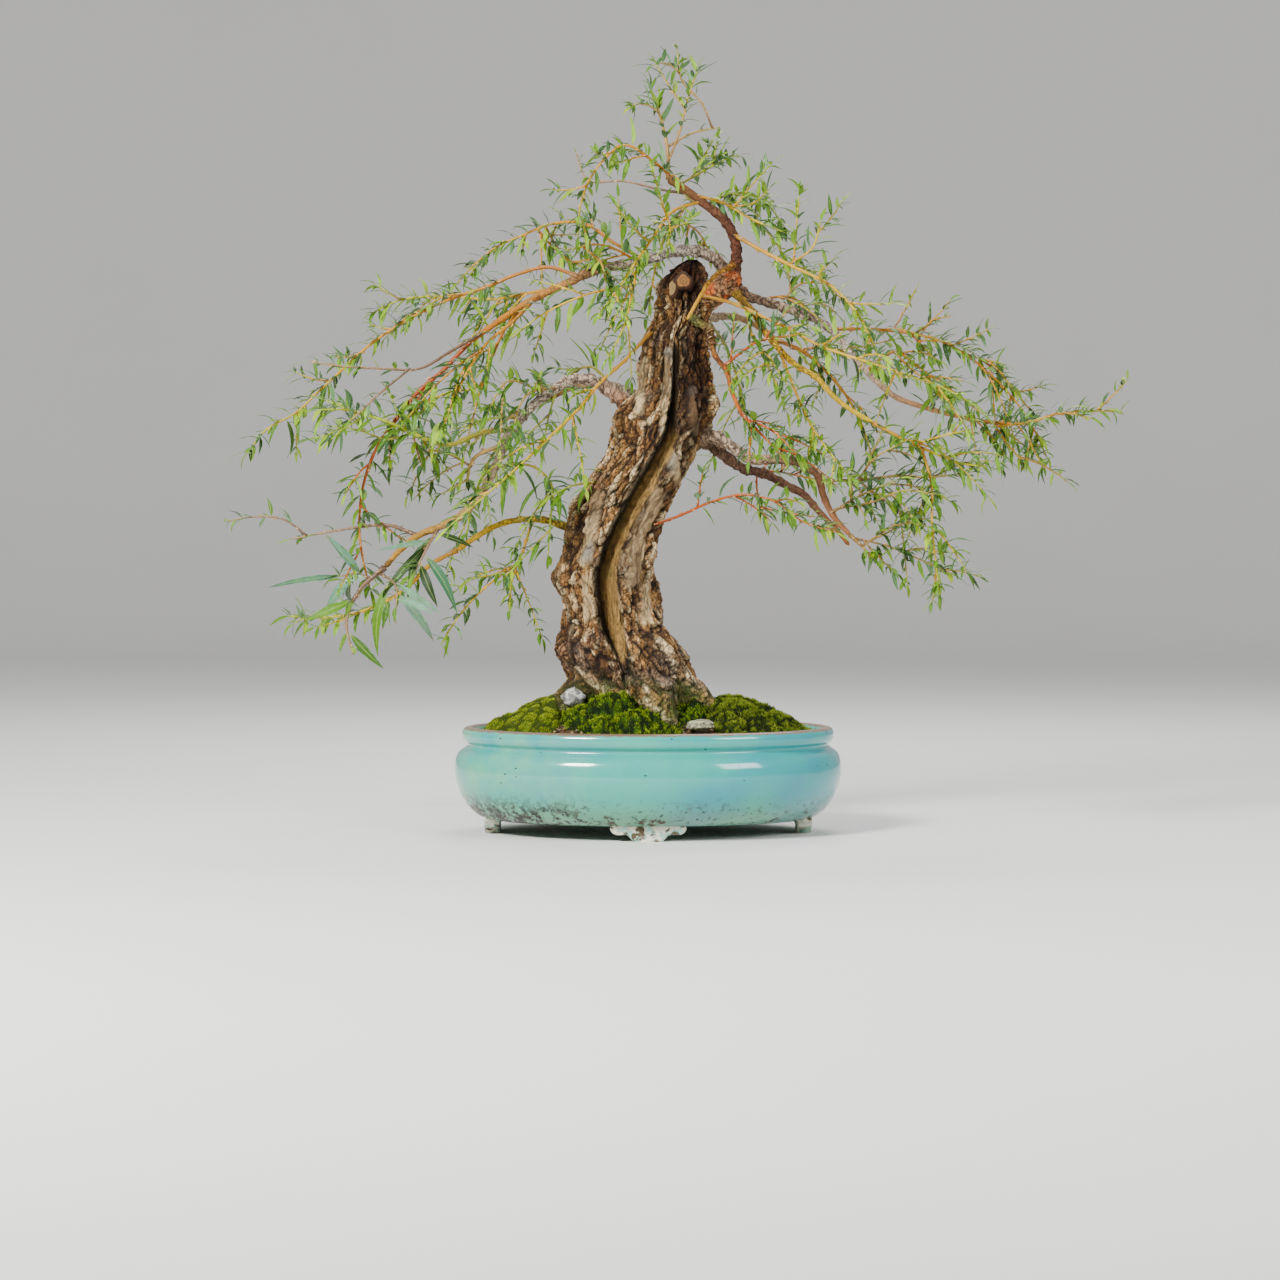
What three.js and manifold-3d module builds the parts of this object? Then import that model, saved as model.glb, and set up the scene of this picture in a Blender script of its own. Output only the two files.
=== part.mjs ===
// A weeping willow bonsai in its oval glazed pot, in millimetres, with +Z up and the pot's long side along X.
// Routes of limbs and shoots are written as they look from the front, as [across, up] from the pot's centre
// on the surface it stands on, and spot() then sets each one back or forward along its line of sight.
import * as THREE from 'three';
import { mergeVertices } from 'three/addons/utils/BufferGeometryUtils.js';
import Module from 'manifold-3d';

const wasm = await Module();
wasm.setup();

// Driving dimensions of the pot
const RIM_HALF_LENGTH = 185.5;
const RIM_HALF_DEPTH = 134.5;
const POT_HEIGHT = 105;
const FOOT_HEIGHT = 17;
const WALL = 11;
const FLOOR_TOP = 27;
const DRAIN_RADIUS = 11;
const DRAIN_SPACING = 140;
const POT_SIDES = 26;

// Driving dimensions of the tree and its bed
const BED_EDGE_HEIGHT = 97;
const MOUND_HEIGHT = 34;
const TRUNK_FOOT = 74;
const TRUNK_DEPTH_RATIO = 0.8;
const GAP = 0.3;
const VIEW_DISTANCE = 3400;
const EYE_ACROSS = -8;
const EYE_HEIGHT = 315;

// Sections of stems and blades
const LIMB_SIDES = 5;
const SHOOT_SIDES = 3;
const MIDRIB_HEIGHT = 1.1;
const CLEARANCE = 0.8;
const SMALLEST_EDGE = 0.05;
const UP = new THREE.Vector3(0, 0, 1);

// Leaves of each style: length and width in millimetres
const LEAF_STYLES = {
  bud: { long: [8, 15], wide: [3, 4.5] },
  small: { long: [15, 27], wide: [3.5, 5.5] },
  middle: { long: [27, 44], wide: [5, 8] },
  large: { long: [46, 74], wide: [9, 13] },
};

let randomState = 0;

// Every leaf draws from a start of its own, so that a change to one leaf leaves the others as they were
function seed(shoot, stem, leaf) {
  randomState = (Math.imul(shoot + 1, 7919) + Math.imul(stem + 1, 104729) + Math.imul(leaf + 1, 1299709)) >>> 0;
  random();
  random();
}

function random() {
  randomState = (Math.imul(randomState, 1664525) + 1013904223) >>> 0;
  return randomState / 4294967296;
}

function between(low, high) {
  return low + (high - low) * random();
}

function spot(across, up, depth) {
  const scale = 1 + depth / VIEW_DISTANCE;
  const x = EYE_ACROSS + (across - EYE_ACROSS) * scale;
  const z = EYE_HEIGHT + (up - EYE_HEIGHT) * scale;
  return new THREE.Vector3(x, depth, z);
}

// The value at share t of an evenly spaced list
function along(list, t) {
  const place = THREE.MathUtils.clamp(t, 0, 1) * (list.length - 1);
  const index = Math.min(Math.floor(place), list.length - 2);
  return THREE.MathUtils.lerp(list[index], list[index + 1], place - index);
}

// A closed body from rings of points, each ring counter-clockwise seen from the end of the row
function loft(rings, closeOnItself = false) {
  const sides = rings[0].length;
  const positions = [];
  const triangles = [];
  for (const ring of rings) {
    for (const point of ring) {
      positions.push(point.x, point.y, point.z);
    }
  }
  const rows = closeOnItself ? rings.length : rings.length - 1;
  for (let row = 0; row < rows; row += 1) {
    const next = (row + 1) % rings.length;
    for (let side = 0; side < sides; side += 1) {
      const a = row * sides + side;
      const b = row * sides + (side + 1) % sides;
      const c = next * sides + (side + 1) % sides;
      const d = next * sides + side;
      triangles.push(a, b, c, a, c, d);
    }
  }
  if (!closeOnItself) {
    const last = (rings.length - 1) * sides;
    for (let side = 1; side < sides - 1; side += 1) {
      triangles.push(0, side + 1, side);
      triangles.push(last, last + side, last + side + 1);
    }
  }
  const geometry = new THREE.BufferGeometry();
  geometry.setAttribute('position', new THREE.Float32BufferAttribute(positions, 3));
  geometry.setIndex(triangles);
  return geometry;
}

function solid(geometry) {
  const bare = geometry.clone();
  bare.deleteAttribute('normal');
  bare.deleteAttribute('uv');
  const merged = mergeVertices(bare, 1e-4);
  return new wasm.Manifold(new wasm.Mesh({
    numProp: 3,
    vertProperties: new Float32Array(merged.getAttribute('position').array),
    triVerts: new Uint32Array(merged.getIndex().array),
  }));
}

function join(solids) {
  return wasm.Manifold.union(solids);
}

// The one body that a cut leaves, without loose scraps
function largest(shape) {
  let kept = null;
  for (const piece of shape.decompose()) {
    if (!kept || piece.volume() > kept.volume()) {
      kept = piece;
    }
  }
  return kept;
}

// Sections across a line of points, turned with it and never twisted
function frames(points) {
  const result = [];
  let side = new THREE.Vector3(0, -1, 0);
  for (let index = 0; index < points.length; index += 1) {
    const before = points[Math.max(index - 1, 0)];
    const after = points[Math.min(index + 1, points.length - 1)];
    const tangent = after.clone().sub(before).normalize();
    if (index === 0 && Math.abs(tangent.dot(side)) > 0.9) {
      side = new THREE.Vector3(1, 0, 0);
    }
    side = side.clone().addScaledVector(tangent, -tangent.dot(side)).normalize();
    result.push({ tangent, side, other: tangent.clone().cross(side) });
  }
  return result;
}

// A stem with a radius at every point, longer at both ends by what it is grown by
function tubeRings(points, radii, sides, grow = 0) {
  const sections = frames(points);
  return points.map((point, index) => {
    const { tangent, side, other } = sections[index];
    const end = index === 0 ? -grow : index === points.length - 1 ? grow : 0;
    const centre = point.clone().addScaledVector(tangent, end);
    const ring = [];
    for (let step = 0; step < sides; step += 1) {
      const turn = (2 * Math.PI * step) / sides;
      const radius = radii[index] + grow / Math.cos(Math.PI / sides);
      ring.push(centre.clone()
        .addScaledVector(side, radius * Math.cos(turn))
        .addScaledVector(other, radius * Math.sin(turn)));
    }
    return ring;
  });
}

function tube(points, radii, sides, grow = 0) {
  return loft(tubeRings(points, radii, sides, grow));
}

// The pot: an oval profile carried round as [outward from the rim oval, height] pairs
const POT_PROFILE = [
  [-62, FOOT_HEIGHT], [-22, FOOT_HEIGHT - 2], [-9, 23], [2, 39], [8, 60],
  [5, 79], [-5, 88], [-0.5, 93], [0, 102], [-3, POT_HEIGHT],
  [-WALL + 1, POT_HEIGHT], [-WALL - 2, 86], [-WALL + 2, 66], [-WALL - 6, 40], [-32, FLOOR_TOP],
  [-62, FLOOR_TOP],
];

function ovalPoint(outward, height, turn) {
  const x = (RIM_HALF_LENGTH + outward) * Math.cos(turn);
  const y = (RIM_HALF_DEPTH + outward) * Math.sin(turn);
  return new THREE.Vector3(x, y, height);
}

function ovalRing(outward, height) {
  const ring = [];
  for (let side = 0; side < POT_SIDES; side += 1) {
    ring.push(ovalPoint(outward, height, (2 * Math.PI * side) / POT_SIDES));
  }
  return ring;
}

// A cloud foot: a bracket with a scalloped outline that narrows to a flat sole
function cloudFoot(thickness) {
  const outline = new THREE.Shape();
  outline.moveTo(-37, FOOT_HEIGHT + 6);
  outline.lineTo(-37, FOOT_HEIGHT - 5);
  outline.quadraticCurveTo(-35, 5.5, -26, 6.5);
  outline.quadraticCurveTo(-20, 7, -18, 4);
  outline.lineTo(-13.5, 0);
  outline.lineTo(13.5, 0);
  outline.lineTo(18, 4);
  outline.quadraticCurveTo(20, 7, 26, 6.5);
  outline.quadraticCurveTo(35, 5.5, 37, FOOT_HEIGHT - 5);
  outline.lineTo(37, FOOT_HEIGHT + 6);
  const geometry = new THREE.ExtrudeGeometry(outline, {
    depth: thickness,
    bevelEnabled: false,
    curveSegments: 2,
  });
  geometry.rotateX(Math.PI / 2);
  geometry.translate(0, thickness / 2, 0);
  return geometry;
}

const FOOT_THICKNESS = 15;
const FOOT_PLACES = [
  { x: 0, y: -(RIM_HALF_DEPTH - 31), turn: 0 },
  { x: 0, y: RIM_HALF_DEPTH - 31, turn: 0 },
  { x: -(RIM_HALF_LENGTH - 30), y: 0, turn: Math.PI / 2 },
  { x: RIM_HALF_LENGTH - 30, y: 0, turn: Math.PI / 2 },
];

function drainHole(x, radius) {
  const hole = new THREE.CylinderGeometry(radius, radius, 40, 12);
  hole.rotateX(Math.PI / 2);
  hole.translate(x, 0, FOOT_HEIGHT);
  return hole;
}

function makePot() {
  const lower = loft([ovalRing(...POT_PROFILE[0]), ovalRing(-62, FLOOR_TOP)]);
  const wall = loft(POT_PROFILE.map(([outward, height]) => ovalRing(outward, height)), true);
  const pieces = [solid(lower), solid(wall)];
  for (const { x, y, turn } of FOOT_PLACES) {
    const foot = cloudFoot(FOOT_THICKNESS);
    foot.rotateZ(turn);
    foot.translate(x, y, 0);
    pieces.push(solid(foot));
  }
  const holes = [-1, 1].map((way) => solid(drainHole((way * DRAIN_SPACING) / 2, DRAIN_RADIUS)));
  return join(pieces).subtract(join(holes));
}

// A drainage screen: a square plastic plate with four square openings
const SCREEN_SIZE = 34;
const SCREEN_THICKNESS = 1.2;

function makeScreen(x) {
  const plate = new THREE.BoxGeometry(SCREEN_SIZE, SCREEN_SIZE, SCREEN_THICKNESS);
  const openings = [];
  for (const row of [-1, 1]) {
    for (const column of [-1, 1]) {
      const opening = new THREE.BoxGeometry(9, 9, 3 * SCREEN_THICKNESS);
      opening.translate(column * 7, row * 7, 0);
      openings.push(solid(opening));
    }
  }
  return solid(plate).subtract(join(openings)).translate([x, 0, FLOOR_TOP + GAP + SCREEN_THICKNESS / 2]);
}

// The bed: a low dome of soil, higher behind the trunk, and its height at any place
function bedHeight(x, y) {
  const across = (x + 4) / (RIM_HALF_LENGTH - WALL);
  const deep = (y - 14) / (RIM_HALF_DEPTH - WALL + 4);
  const share = Math.max(0, 1 - across * across - deep * deep);
  const lumps = 1.6 * Math.sin(x / 23 + 1) * Math.cos(y / 19) * share;
  return BED_EDGE_HEIGHT + MOUND_HEIGHT * share ** 1.25 + lumps;
}

function makeBed(lift) {
  const steps = [0, 0.55, 1];
  const inner = -WALL - 2 - GAP;
  const rings = [];
  rings.push(ovalRing(-34, FLOOR_TOP + GAP));
  rings.push(ovalRing(-WALL - 6.5, 41));
  rings.push(ovalRing(-WALL + 1.4, 66));
  rings.push(ovalRing(inner, 86));
  for (const step of steps.slice().reverse()) {
    const share = Math.max(step, 0.04);
    rings.push(ovalRing(inner, 0).map((point) => {
      const x = point.x * share;
      const y = point.y * share;
      return new THREE.Vector3(x, y, bedHeight(x, y) + lift);
    }));
  }
  return solid(loft(rings));
}

// A moss cushion: a lumpy skin over the bed, raised inside its own oval, deep enough to be cut by the bed and
// ended left and right where the next cushion begins
function makeMoss({ x, y, halfLength, halfDepth, height, lump, lumpSize, rings, sides, left, right }) {
  const skin = [];
  const levels = [{ share: 1, drop: -8 }];
  for (let ring = 0; ring <= rings; ring += 1) {
    levels.push({ share: Math.max(1 - ring / rings, 0.05), drop: null });
  }
  for (const { share, drop } of levels) {
    const row = [];
    for (let side = 0; side < sides; side += 1) {
      const turn = (2 * Math.PI * side) / sides;
      const wave = 1 + 0.09 * Math.sin(3 * turn + x) + 0.06 * Math.sin(5 * turn + y);
      const px = x + halfLength * share * wave * Math.cos(turn);
      const py = y + halfDepth * share * wave * Math.sin(turn);
      const crown = height * (1 - share ** 4);
      const bumps = lump * Math.sin(px / lumpSize + 2 * py / lumpSize) * Math.cos(py / lumpSize - px / 29);
      const rise = drop === null ? -1.5 + crown + bumps * (1 - share ** 2) : drop;
      row.push(new THREE.Vector3(px, py, bedHeight(px, py) + rise));
    }
    skin.push(row);
  }
  const limits = new THREE.BoxGeometry(right - left - GAP, 3 * RIM_HALF_DEPTH, POT_HEIGHT);
  limits.translate((left + right) / 2, 0, BED_EDGE_HEIGHT + POT_HEIGHT / 4);
  return solid(loft(skin)).intersect(solid(limits));
}

const MOSS = {
  moss_left: {
    x: -112, y: -2, halfLength: 45, halfDepth: 64, height: 7, lump: 1.6, lumpSize: 15, rings: 3, sides: 14,
    left: -200, right: -88,
  },
  moss_middle: {
    x: -12, y: 2, halfLength: 88, halfDepth: 103, height: 10, lump: 3, lumpSize: 9, rings: 3, sides: 14,
    left: -88, right: 62,
  },
  moss_right: {
    x: 94, y: 2, halfLength: 58, halfDepth: 76, height: 8, lump: 2.2, lumpSize: 11, rings: 3, sides: 14,
    left: 62, right: 200,
  },
};

// A stone: a ball squeezed to its three half sizes and dented by its own waves
function makeStone({ at, half, seed }) {
  const ball = mergeVertices(bareGeometry(new THREE.IcosahedronGeometry(1, 1)), 1e-4);
  const places = ball.getAttribute('position');
  for (let index = 0; index < places.count; index += 1) {
    const p = new THREE.Vector3().fromBufferAttribute(places, index);
    const dent = 1 + 0.13 * Math.sin(3 * p.x + seed) * Math.cos(4 * p.y - seed) + 0.06 * Math.sin(7 * p.z + seed);
    places.setXYZ(index, at[0] + p.x * half[0] * dent, at[1] + p.y * half[1] * dent, at[2] + p.z * half[2] * dent);
  }
  return solid(ball);
}

function bareGeometry(geometry) {
  geometry.deleteAttribute('normal');
  geometry.deleteAttribute('uv');
  return geometry;
}

const STONES = {
  stone_grey: { at: [-74, -24, 136], half: [12, 10, 9], seed: 1 },
  stone_pale: { at: [51, -88, 112], half: [14, 10, 6], seed: 4 },
};

// The trunk's own body as [height, centre across, half width, centre back] sections, from foot to rotten top
const TRUNK_SECTIONS = [
  [TRUNK_FOOT, -6, 34, 2], [98, -6, 50, 2], [125, -5, 62, 2], [150, -12, 61, 2],
  [172, -22, 63, 2], [188, -29, 60, 2], [206, -35, 49, 1], [228, -37, 45.5, 0],
  [250, -42, 48.5, 0], [272, -42, 45.5, 0], [300, -35, 44.5, 0],
  [329, -24, 46, 0], [352, -11, 46, 0], [374, 1, 43, 0], [394, 9.5, 44.5, 0], [412, 14, 49, 0],
  [428, 21, 43.5, 0], [442, 27, 36.5, 0], [466, 24.5, 33.5, 0], [495, 27, 30, 0],
  [515, 35, 25, 2], [530, 37, 25.5, 4], [545, 33.5, 20, 5], [561, 34, 12, 7], [572, 34, 3, 8],
];
const TRUNK_SIDES = 14;

function barkRelief(turn, height) {
  const ridges = 0.05 * Math.sin(7 * turn + height / 31) + 0.035 * Math.sin(4 * turn - height / 13);
  return 1 + ridges + 0.03 * Math.sin(height / 7 + 3 * turn);
}

function trunkBody(grow) {
  const rings = TRUNK_SECTIONS.map(([height, centre, half, back], row) => {
    const end = row === 0 ? -grow : row === TRUNK_SECTIONS.length - 1 ? grow : 0;
    const ring = [];
    for (let side = 0; side < TRUNK_SIDES; side += 1) {
      const turn = (2 * Math.PI * side) / TRUNK_SIDES;
      const relief = barkRelief(turn, height);
      const x = centre + (half * relief + grow) * Math.cos(turn);
      const y = back + (half * TRUNK_DEPTH_RATIO * relief + grow) * Math.sin(turn);
      ring.push(new THREE.Vector3(x, y, height + end));
    }
    return ring;
  });
  return loft(rings);
}

// The hollow down the trunk's face, as [height, middle across, half width, front, how deep] sections
const HOLLOW_SECTIONS = [
  [489, 29, 3, 14], [460, 28, 3.5, 16], [430, 27, 4, 19], [405, 25, 5.5, 22], [392, 24, 9, 25],
  [368, 11, 10, 28], [342, -4, 11, 30], [323, -15, 10, 30], [306, -25, 10, 31], [283, -35, 9.5, 31],
  [260, -42, 11, 31], [240, -40.5, 11.5, 31], [215, -37, 12, 30], [200, -34, 11, 27], [186, -29, 8, 22],
  [172, -26, 4, 12],
];

function hollow() {
  const rings = HOLLOW_SECTIONS.map(([height, middle, half, deep]) => {
    const face = -46 * TRUNK_DEPTH_RATIO;
    const front = face - 30;
    const floor = face + deep;
    return [
      new THREE.Vector3(middle - half * 2.6, front, height),
      new THREE.Vector3(middle + half * 2.6, front, height),
      new THREE.Vector3(middle + half, face + deep * 0.45, height),
      new THREE.Vector3(middle + half * 0.5, floor, height),
      new THREE.Vector3(middle - half * 0.6, floor, height),
      new THREE.Vector3(middle - half, face + deep * 0.45, height),
    ];
  });
  return loft(rings.reverse());
}

// Surface roots that run from the flare down into the moss, as [x, y, z] points
const ROOTS = [
  { r: [24, 17, 9], at: [[-2, -22, 172], [6, -46, 150], [14, -62, 124], [20, -72, 100]] },
  { r: [17, 12, 7], at: [[26, -10, 160], [46, -18, 140], [66, -24, 120], [80, -30, 100]] },
  { r: [18, 12, 7], at: [[-52, -4, 158], [-74, -12, 140], [-92, -16, 120], [-104, -20, 100]] },
  { r: [18, 12, 6], at: [[-20, 22, 164], [-34, 46, 146], [-44, 66, 124], [-50, 80, 100]] },
  { r: [16, 11, 6], at: [[14, 22, 160], [32, 44, 142], [44, 62, 122], [52, 78, 100]] },
];

// Swellings, old cut stubs and the crook that carries the leader, as [x, y, z] points
const SWELLINGS = [
  { r: [13, 13, 11], at: [[52, 2, 528], [66, 0, 538], [80, 0, 548], [85, 0, 562]] },
  { r: [8, 7], at: [[35, -6, 549], [35, -19, 549]] },
  { r: [5, 4.5], at: [[24, -4, 542], [21, -17, 542]] },
  { r: [13, 9], at: [[-70, -8, 262], [-86, -10, 252]] },
  { r: [13, 8], at: [[-66, -10, 186], [-88, -12, 178]] },
  { r: [11, 7], at: [[48, -6, 428], [66, -8, 420]] },
  { r: [9, 7], at: [[6, -34, 480], [2, -38, 462]] },
];

// Limbs that are one with the trunk: depth and radius are evenly spaced along the route
const LIMBS = {
  leader: {
    depth: [0, -4, -8],
    r: [5.4, 4.6, 3.4],
    at: [[85, 548], [88, 572], [86, 593], [80, 607], [64, 620], [46, 635], [31, 645], [20, 651]],
  },
  arch_left: {
    depth: [0, -10, -26, -34, -38],
    r: [5.6, 5, 4.4, 3.4, 2.5],
    at: [[80, 557], [63, 575], [46, 580.5], [29, 580], [11, 575], [-5, 571], [-24, 567], [-53, 561],
      [-81, 548], [-111, 534], [-139, 517], [-168, 497], [-178, 490]],
  },
  main_right: {
    depth: [0, 12, 30, 44, 50],
    r: [5.2, 4.4, 3.5, 2.8, 2.2],
    at: [[84, 544], [95, 536], [111, 532], [140, 522], [169, 511], [188, 497], [203, 478], [225, 454],
      [247, 435], [278, 424], [312, 415]],
  },
  yellow_right: {
    depth: [-2, -34, -62, -80],
    r: [3.6, 2.8, 2.2],
    at: [[86, 540], [99, 527], [108, 513], [123, 492], [144, 469], [163, 459], [187, 434], [209, 418],
      [225, 409]],
  },
  low_left: {
    depth: [-6, -20, -40, -62, -80],
    r: [7.5, 4.8, 4.2, 3.6, 2.6],
    at: [[-16, 420], [-29, 433], [-42, 445], [-63, 453.5], [-77, 451], [-101, 438], [-122, 419],
      [-141, 393], [-152, 366], [-166, 339.5], [-185, 318], [-207, 306], [-229, 297], [-248, 282],
      [-263, 265]],
  },
  low_left_back: {
    depth: [6, 34, 58],
    r: [4.2, 3.1, 2.5],
    at: [[-58, 297], [-76, 303], [-95, 310], [-108, 313], [-138, 311], [-159, 303], [-178, 291],
      [-191, 282]],
  },
  low_right_front: {
    depth: [0, -14, -34, -58],
    r: [7.5, 5, 3.8, 2.4],
    at: [[38, 392], [60, 396], [78, 389], [92, 380], [104, 373], [131, 372.5], [150, 370], [161, 366],
      [170, 355], [175, 339], [180, 320], [191, 311], [202, 297]],
  },
  low_right_back: {
    depth: [4, 22, 40, 50],
    r: [7, 5, 3.8, 1.8],
    at: [[38, 388], [55, 391], [72, 382], [81, 371], [99, 362], [120, 357], [136, 348], [154, 339],
      [166, 325], [182, 310], [193, 297], [201, 287]],
  },
  wired: {
    depth: [-12, -40, -66],
    r: [3.6, 2.5, 1.8],
    at: [[44, 512], [58, 507], [65, 487], [67, 472], [74, 467], [78, 461], [82, 448], [87, 428], [93, 419]],
  },
  front_cross: {
    depth: [-6, -40, -60, -70],
    r: [2.6, 2, 1.4],
    at: [[84, 566], [70, 559], [61, 549], [55, 540], [47, 526], [39, 512]],
  },
  back_left: {
    depth: [18, 90, 160],
    r: [6, 4, 2.4],
    at: [[8, 412], [-8, 432], [-36, 446], [-70, 446], [-100, 432]],
  },
  back_right: {
    depth: [14, 86, 150],
    r: [5.5, 3.8, 2.2],
    at: [[30, 486], [48, 506], [76, 516], [104, 508], [128, 492]],
  },
};

const LIMB_STEP = 23;

// A smooth line through a route, with depth taken from its even list
function line(route, step, start = null) {
  const flat = route.at.map(([across, up]) => new THREE.Vector3(across, 0, up));
  const curve = new THREE.CatmullRomCurve3(flat, false, 'centripetal');
  const count = Math.max(2, Math.round(curve.getLength() / step));
  const seen = curve.getSpacedPoints(count);
  const depths = start === null ? route.depth : [start, ...route.depth];
  return seen.map((point, index) => spot(point.x, point.z, along(depths, index / count)));
}

function radiiOf(route, count) {
  const radii = [];
  for (let index = 0; index < count; index += 1) {
    radii.push(along(route.r, index / (count - 1)));
  }
  return radii;
}

function plainLine(at) {
  return at.map(([x, y, z]) => new THREE.Vector3(x, y, z));
}

const limbLines = {};
for (const [name, route] of Object.entries(LIMBS)) {
  limbLines[name] = line(route, LIMB_STEP);
}

function makeTrunk(grow) {
  const pieces = [solid(trunkBody(grow))];
  for (const { r, at } of ROOTS) {
    const points = plainLine(at);
    pieces.push(solid(tube(points, radiiOf({ r }, points.length), 5, grow)));
  }
  for (const { r, at } of SWELLINGS) {
    const points = plainLine(at);
    pieces.push(solid(tube(points, radiiOf({ r }, points.length), 5, grow)));
  }
  for (const [name, route] of Object.entries(LIMBS)) {
    const points = limbLines[name];
    pieces.push(solid(tube(points, radiiOf(route, points.length), LIMB_SIDES, grow)));
  }
  return join(pieces);
}

// The training wire: an open helix round the wired limb
const WIRE_RADIUS = 0.75;
const WIRE_TURNS = 3.5;
const WIRE_STEPS_PER_TURN = 7;
const WIRE_FROM = 0.16;
const WIRE_TO = 0.36;

function makeWire() {
  const limb = new THREE.CatmullRomCurve3(limbLines.wired);
  const count = Math.round(WIRE_TURNS * WIRE_STEPS_PER_TURN);
  const axis = [];
  for (let step = 0; step <= count; step += 1) {
    axis.push(limb.getPointAt(THREE.MathUtils.lerp(WIRE_FROM, WIRE_TO, step / count)));
  }
  const sections = frames(axis);
  const points = axis.map((point, index) => {
    const turn = (2 * Math.PI * index) / WIRE_STEPS_PER_TURN;
    const share = THREE.MathUtils.lerp(WIRE_FROM, WIRE_TO, index / count);
    const radius = along(LIMBS.wired.r, share) + WIRE_RADIUS + 4 * GAP;
    return point.clone()
      .addScaledVector(sections[index].side, radius * Math.cos(turn))
      .addScaledVector(sections[index].other, radius * Math.sin(turn));
  });
  return solid(tube(points, points.map(() => WIRE_RADIUS), 3));
}

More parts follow.
